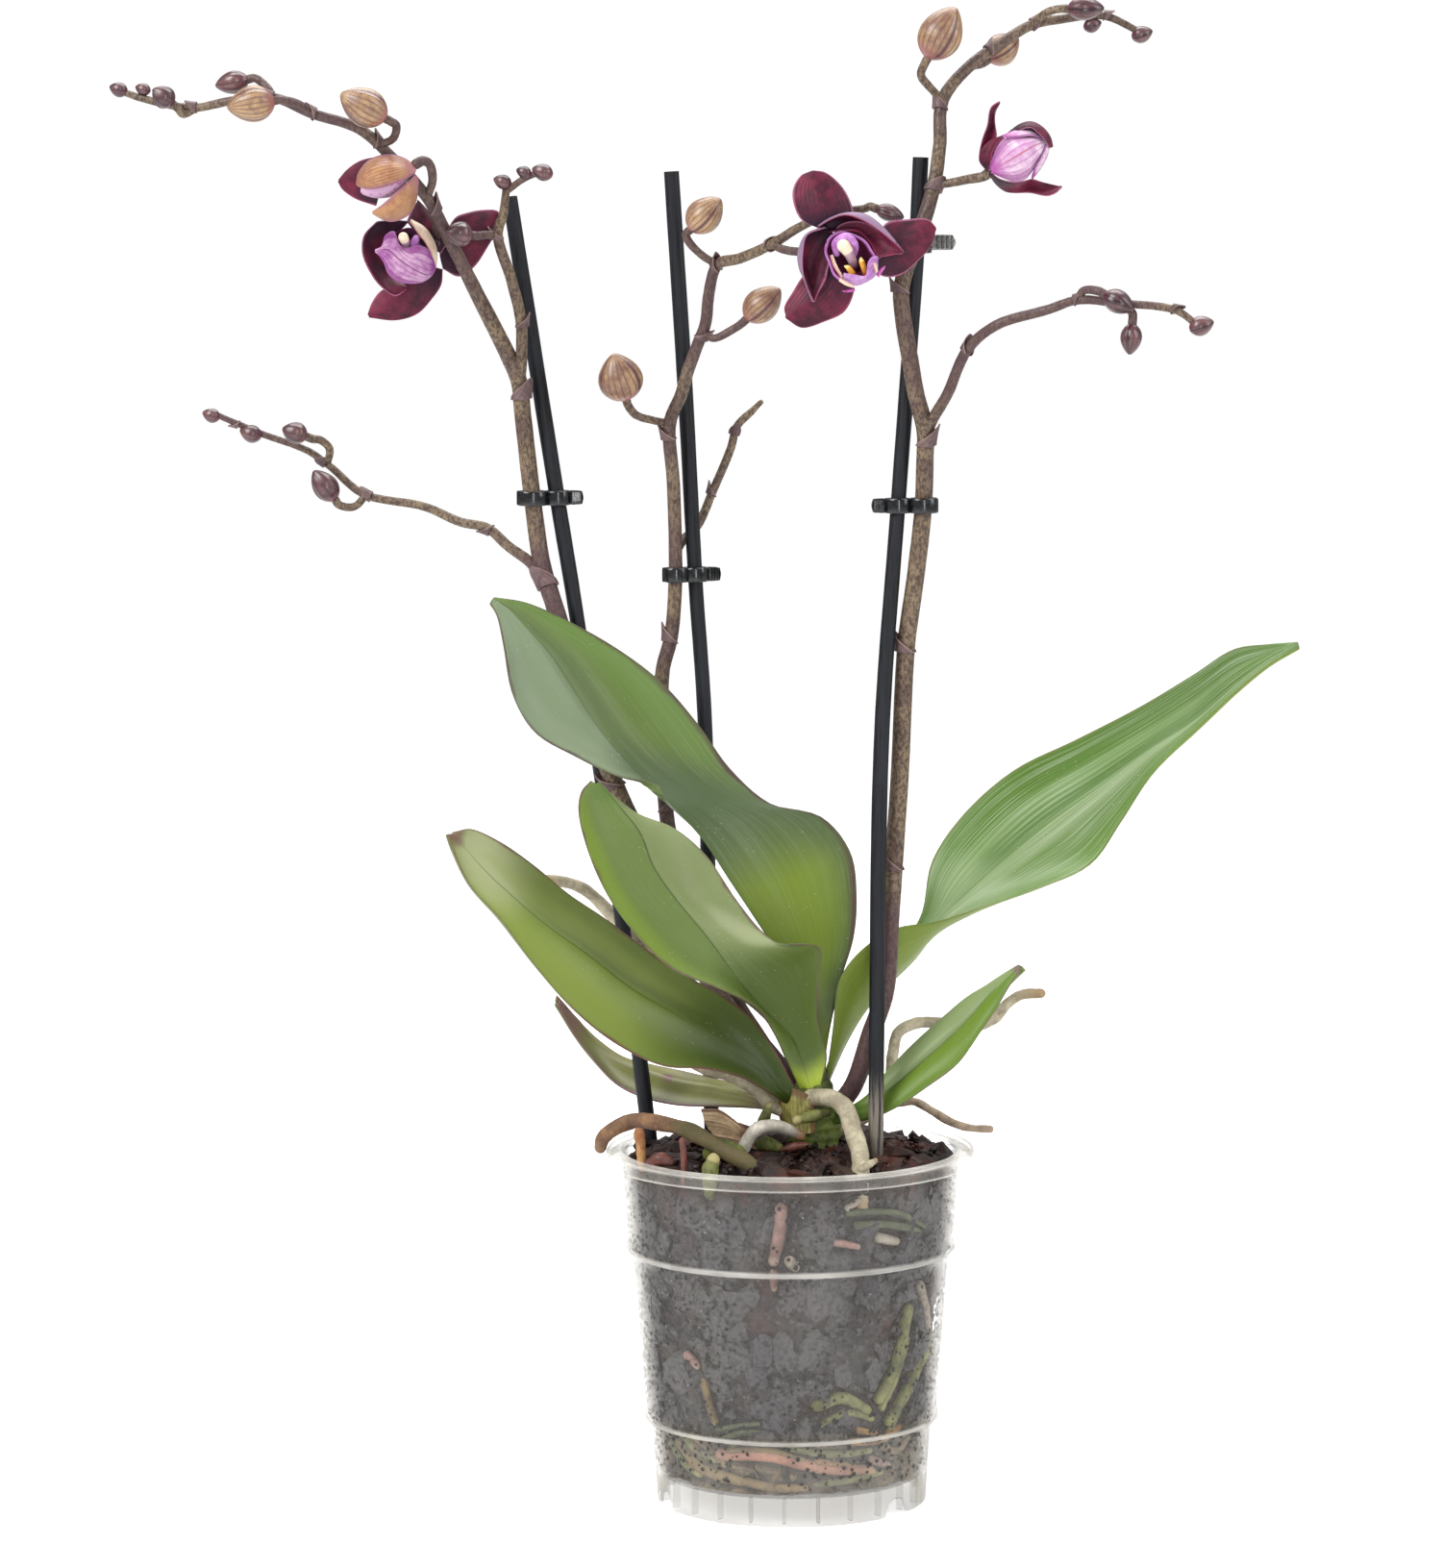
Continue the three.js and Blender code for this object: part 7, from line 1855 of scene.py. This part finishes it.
def roots(tree):
    for seed, (name, (radius, route)) in enumerate(ROOTS.items()):
        look, knobs = ROOT_LOOKS[name]
        line = smooth(route, 10 * len(route))
        sizes = root_profile(line, radius, seed + 2, knobs)
        tube_piece(f"{name}_skin", tree, [(line, sizes, "round", "round")], look, "air_root", (name,), sides=20,
                   bump=0.5, bump_size=2.4, seed=seed)
    for seed, (name, (radius, points)) in enumerate(WALL_ROOTS.items()):
        line = wall_root_points(points, radius, 60)
        sizes = root_profile(line, radius, seed + 20, 0.05)
        tube_piece(f"{name}_skin", tree, [(line, sizes, "round", "round")], WALL_ROOT_LOOKS[name], "pot_root",
                   (name,), sides=16, bump=0.3, bump_size=3.0, seed=seed)
    for seed, (radius, look, points) in enumerate(THIN_WALL_ROOTS):
        line = wall_root_points(points, radius, 40)
        sizes = root_profile(line, radius, seed + 40, 0.08)
        tube_piece(f"thin_wall_root_{seed + 1}", tree, [(line, sizes, "round", "round")], f"wall_{look}",
                   "pot_root", sides=12, bump=0.3, bump_size=2.5, seed=seed)


def stubs(tree):
    for number, (look, radii, route) in enumerate(STUBS):
        line = smooth(route, 20)
        sizes = read_along(list(zip((0, 0.5, 1), radii)), np.linspace(0, 1, 21))
        tube_piece(f"stub_{number + 1}", tree, [(line, sizes, "round", "round")], look, "air_root", sides=14, bump=1.0,
                   bump_size=1.8, seed=number + 60)
    grid, across, _ = blade_grid(HUSK, 24, 9, 0.2)
    grid[:, :, 2] += 0.4 * np.sin(across * 16)[None, :]
    finish_shape("papery_husk", sheet_shape(Shape(), grid, 0.7, across), LOOKS["husk"], "dry_sheath", angle=70)


def crown():
    """The short green stump that the leaves grow from, ringed by old leaf scars."""
    heights = np.linspace(CROWN["profile"][0][1], CROWN["profile"][-1][1], 60)
    radii = np.interp(heights, [z for _, z in CROWN["profile"]], [r for r, _ in CROWN["profile"]])
    turn = 2 * math.pi * np.arange(40) / 40
    rings = []
    for z, r in zip(heights, radii):
        scar = 1 + 0.035 * math.sin(z * 1.9) + 0.03 * np.sin(3 * turn + z * 0.21)
        rings.append(np.stack([CROWN["at"][0] + r * scar * np.cos(turn), CROWN["at"][1] + r * scar * np.sin(turn),
                               np.full(40, z)], 1))
    shape = Shape().skin(rings, along=np.linspace(0, 0.8, 60)[:, None])
    finish_shape("crown_stump", shape, LOOKS["crown"], "crown", ("crown",))


# ---------------------------------------------------------------- leaves and buds


EASE = {"rounds": 40}


def blade_grid(lines, rows, half, dome):
    """Points over a blade between two margins and a rib, closer set at the edges."""
    left, rib, right = (smooth(line, rows) for line in lines)
    across = np.sin(np.linspace(-1, 1, 2 * half + 1) * math.pi / 2)
    normal = unit_rows(np.cross(np.gradient(rib, axis=0), right - left))
    for _ in range(EASE["rounds"]):
        normal[1:-1] = unit_rows(normal[:-2] + normal[1:-1] + normal[2:])
    grid = []
    for s in across:
        edge = left if s < 0 else right
        reach = abs(s)
        rise = 4 * reach * (1 - reach) * dome * np.linalg.norm(edge - rib, axis=1)
        grid.append(rib + (edge - rib) * reach + normal * rise[:, None])
    return np.stack(grid, axis=1), across, normal


def leaves():
    for name, lines in LEAVES.items():
        grid, across, normal = blade_grid(lines, LEAF["rows"], LEAF["half"], LEAF["dome"])
        up = 1 if np.mean(normal[:, 2]) > 0 else -1
        dip = LEAF["groove"] * np.exp(-(across / 0.07) ** 2)
        grid = grid - up * normal[:, None, :] * dip[None, :, None]
        thickness = mix(LEAF["rib"], LEAF["margin"], across ** 2)
        shape = sheet_shape(Shape(), grid, thickness, across, upper_way=(0, 0, 1))
        finish_shape(f"{name}_blade", shape, LOOKS[name], "leaf", (name,), angle=70)


def dry_sheath():
    grid, across, _ = blade_grid(DRY_SHEATH, 30, 10, 0.1)
    ripple = 0.35 * np.sin(np.linspace(0, 17, grid.shape[0]))[:, None] * np.cos(across * 9)[None, :]
    grid[:, :, 1] += ripple
    shape = sheet_shape(Shape(), grid, 0.7, across)
    finish_shape("dry_sheath_husk", shape, LOOKS["sheath"], "dry_sheath", ("dry_sheath",), angle=70)


def bud_shape(base, tip, width, foot=0.35, rows=30, sides=48, seam=0.08):
    """A plump bud of three sepals that meet in soft grooves."""
    start = np.array(base, dtype=float)
    axis = np.array(tip) - start
    long = np.linalg.norm(axis)
    axis = axis / long
    side = unit(np.cross((0.2, -0.9, 0.4), axis))
    other = np.cross(axis, side)
    turn = 2 * math.pi * np.arange(sides) / sides
    valley = np.abs(np.cos(1.5 * (turn + math.pi / 3))) ** 0.5
    rings, seams = [], []
    levels = (1 - np.cos(np.linspace(0, math.pi, rows + 1))) / 2
    for level in levels:
        swell = math.sin(math.pi * min(0.03 + 0.955 * level ** 0.85, 0.985)) ** 0.72
        groove = 1 - seam * 1.6 * (1 - valley) * math.sin(math.pi * min(level * 1.1, 1)) + seam * 0.6 * np.cos(3 * turn)
        r = width / 2 * swell * groove
        middle = start + axis * (foot + (long - foot) * level)
        rings.append(middle + np.outer(r * np.cos(turn), side) + np.outer(r * np.sin(turn), other))
        seams.append(1 - valley)
    return Shape().skin(rings, along=levels[:, None], around=(turn / (2 * math.pi))[None, :], seam=np.array(seams))


def buds():
    for name, (_, _, base, tip, width, look) in BUDS.items():
        shape = bud_shape(base, tip, width)
        finish_shape(f"{name}_sepals", shape, LOOKS[f"bud_{look}"], "bud", (name,), angle=80)
    for stem, tips in TIP_BUDS.items():
        if not tips:
            continue
        shape = Shape()
        for centre, radius in tips:
            centre = np.array(centre, dtype=float)
            ahead = np.array([radius * 1.15 * (1 if centre[0] > 0 else -1), 0, 0.4 * radius])
            one = bud_shape(centre - ahead, centre + ahead, 1.9 * radius, rows=12, sides=18)
            shape.add(np.vstack(one.points), one.faces, **one.marks[0][1])
        finish_shape(f"{stem}_tip_buds", shape, LOOKS["bud_maroon"], "bud", angle=80)


# ---------------------------------------------------------------- flowers


def flower_frame(facing):
    out = unit(facing)
    up = np.array([0, 0, 1.0])
    up = unit(up - out * np.dot(up, out))
    return out, up, np.cross(up, out)


def in_flower(at, line):
    """A line given from a flower's heart as right, up and forward, in the plant's own axes."""
    return [(at[0] + right, at[1] - ahead, at[2] + up) for right, up, ahead in line]


def petal_patch(shape, at, lines, thick=0.8, rows=26, columns=16):
    """A thin petal through a fan of lines that run from its foot to its tip."""
    runs = np.array([smooth(in_flower(at, line), rows) for line in lines])
    grid = np.array([smooth(runs[:, i], columns) for i in range(rows + 1)])
    return sheet_shape(shape, grid, thick, np.linspace(-1, 1, columns + 1), upper_way=(0, -1, 0))


def ball_shape(shape, centre, radius, **marks):
    turn = 2 * math.pi * np.arange(16) / 16
    rings = []
    for tilt in np.linspace(0.12, math.pi - 0.12, 9):
        ring = np.stack([np.cos(turn) * math.sin(tilt), np.sin(turn) * math.sin(tilt), np.full(16, math.cos(tilt))], 1)
        rings.append(np.array(centre) + radius * ring)
    return shape.skin(rings, **marks)


def cup_shape(at, cup, wall=0.8, rows=18, sides=56):
    """The cupped lip: a thin wall from a small foot out to its own rim line."""
    edge = smooth(in_flower(at, [*cup["rim"], cup["rim"][0]]), sides)[:-1]
    heart = np.array(in_flower(at, [cup["foot"]])[0])
    flat = (edge - heart) * (1, 0, 1)
    ahead = (edge - heart) * (0, 1, 0)
    size = np.linalg.norm(flat, axis=1, keepdims=True)

    def ring(level, inset):
        spread = math.sin(level * math.pi / 2) ** 0.6
        return heart + flat * spread * (1 - inset / size) + ahead * level - np.array([0, inset * (1 - level), 0])

    levels = np.linspace(0.03, 1, rows)
    rings = [ring(level, 0.0) for level in levels] + [ring(level, wall) for level in levels[::-1]]
    along = np.concatenate([levels, levels[::-1]])
    upper = np.concatenate([np.zeros(rows), np.ones(rows)])
    around = np.linspace(-0.9, 0.9, sides)
    return Shape().skin(np.array(rings), along=along[:, None], across=around[None, :], upper=upper[:, None])


PETAL_SLOTS = {
    "tepal": "tepal", "tan_sepal": "tepal", "petal": "furled_petal", "lip": "lip", "cup": "lip", "lobe": "lip",
    "cavity": "lip", "tip": "lip", "cream": "column",
}
PETAL_STANDS = {("bloom_a", "tepal"), ("bloom_b", "tepal"), ("half_open_c", "tepal"), ("half_open_d", "tan_sepal")}


def petals():
    opens = {name: flower["at"] for name, flower in FLOWERS.items()}
    opens.update({name: flower["base"] for name, flower in HALF_OPEN.items()})
    for name, by_look in PETALS.items():
        for look, fans in by_look.items():
            shape = Shape()
            if (name, look) in PETAL_STANDS:
                ball_shape(shape, opens[name], 1.9 if name in FLOWERS else 1.1, across=0.0, along=0.0, upper=1.0)
            for lines in fans:
                petal_patch(shape, opens[name], lines)
            stands = (f"{name}_tepals",) if (name, look) in PETAL_STANDS else ()
            stands = (f"{name}_lip",) if (name, look) == ("bloom_a", "lip") else stands
            finish_shape(f"{name}_{look}_blades", shape, LOOKS[look], PETAL_SLOTS[look], stands, angle=70)


def flowers(tree):
    petals()
    cup = cup_shape(FLOWERS["bloom_b"]["at"], LIP_CUP)
    finish_shape("bloom_b_lip_cup", cup, LOOKS["cup"], "lip", ("bloom_b_lip",), angle=70)
    for name, (look, slot, stands, radii, route) in FLESH.items():
        line = smooth(in_flower(FLOWERS[name[:7]]["at"], route), 24)
        sizes = read_along(list(zip((0, 0.5, 1), radii)), np.linspace(0, 1, 25))
        tube_piece(name, tree, [(line, sizes, "round", "round")], look, slot, (stands,) if stands else (), sides=18,
                   bump=0.15, bump_size=2.0)
    for name, flower in HALF_OPEN.items():
        core = bud_shape(flower["base"], flower["tip"], flower["width"], FURLED_FOOT, seam=0.08)
        finish_shape(f"{name}_furled", core, LOOKS["petal"], "furled_petal", (f"{name}_petals",), angle=80)


# ---------------------------------------------------------------- clips


def point_at_height(route, height):
    line = smooth(route, 400)
    return line[int(np.argmin(np.abs(line[:, 2] - height)))]


def clip_ring(shape, centre, way, hole, gap, facing):
    """One spring ring of a clip, open on one side, with rounded edges."""
    wall, tall = CLIP["sheet"], CLIP["tall"]
    other = np.array([-way[1], way[0], 0])
    section = []
    for turn in np.linspace(0, 2 * math.pi, 17)[:-1]:
        c, s = math.cos(turn), math.sin(turn)
        section.append((wall / 2 * math.copysign(abs(c) ** 0.45, c), tall / 2 * math.copysign(abs(s) ** 0.3, s)))
    rings = []
    for turn in np.radians(np.linspace(facing + gap / 2, facing + 360 - gap / 2, 40)):
        away = way * math.cos(turn) + other * math.sin(turn)
        rings.append([centre + away * (hole + wall / 2 + x) + np.array([0, 0, z]) for x, z in section])
    return shape.skin(np.array(rings))


def clip_block(shape, start, end, wide, tall, taper=1.0):
    """A rounded bar from one point to another, for a clip's bridge and levers."""
    way = unit(end - start)
    other = unit(np.cross((0, 0, 1), way))
    rings = []
    for t in np.linspace(0, 1, 12):
        size = mix(1, taper, t) * math.sqrt(max(1 - (2 * t - 1) ** 12, 0.05))
        ring = []
        for turn in np.linspace(0, 2 * math.pi, 17)[:-1]:
            c, s = math.cos(turn), math.sin(turn)
            x = wide / 2 * math.copysign(abs(c) ** 0.4, c) * size
            z = tall / 2 * math.copysign(abs(s) ** 0.4, s) * size
            ring.append(mix(start, end, t) + other * x + np.array([0, 0, z]))
        rings.append(ring)
    return shape.skin(np.array(rings))


def clips():
    for name, (stick_name, stem, height, stem_radius) in CLIPS.items():
        held = point_at_height(STICKS[stick_name], height)
        grown = point_at_height(STEMS[stem][0][0], height)
        held[2] = grown[2] = height
        way = unit(grown - held)
        stick_hole = STICK_RADIUS + CLIP["play"]
        stem_hole = stem_radius + CLIP["play"]
        shape = Shape()
        clip_ring(shape, held, way, stick_hole, 34, 180)
        clip_ring(shape, grown, way, stem_hole, 50, 0)
        clip_block(shape, held + way * (stick_hole - 0.2), grown - way * (stem_hole - 0.2), 4.2, 4.6)
        tab = held - way * (stick_hole + CLIP["sheet"] / 2)
        for side in (-1, 1):
            other = np.array([-way[1], way[0], 0]) * side
            lever = tab - way * CLIP["tab"] + other * 1.5
            clip_block(shape, tab + other * 1.1, lever, 1.3, 4.8, 0.9)
            for k in range(4):
                place = mix(tab + other * 1.8, lever + other * 0.7, 0.3 + 0.2 * k)
                clip_block(shape, place - (0, 0, 2.1), place + np.array([0.01, 0, 2.1]), 0.7, 0.7)
        finish_shape(f"{name}_spring", shape, LOOKS["clip"], "clip", (name,), angle=50)
    plate, slots = Shape(), Shape()
    start, end = (np.array(place, dtype=float) for place in TOP_LEVER["span"])
    clip_block(plate, start, end, TOP_LEVER["thick"], TOP_LEVER["tall"])
    for k in range(TOP_LEVER["slots"]):
        foot = mix(start, end, 0.46 + 0.14 * k) - np.array([0.4, TOP_LEVER["thick"] / 2, 0])
        clip_block(slots, foot, foot + np.array([0.8, 0, 0]), 1.0, 4.1)
    finish_shape("clip_top_lever", plate, LOOKS["clip_grey"], "clip", angle=50)
    finish_shape("clip_top_slots", slots, LOOKS["clip"], "clip", angle=50)


# ---------------------------------------------------------------- assembly


def build_plant():
    tube = tube_tree()
    strew = scatter_tree()
    pot_wall()
    pot_floor()
    pot_ribs(ring_tree())
    bark(strew)
    grit(strew)
    sticks(tube)
    stems(tube)
    roots(tube)
    stubs(tube)
    crown()
    leaves()
    dry_sheath()
    buds()
    flowers(tube)
    clips()


add_camera()
add_world()
add_lights()
make_finishes()
add_floor()
build_plant()
bpy.context.scene.view_settings.view_transform = "Standard"
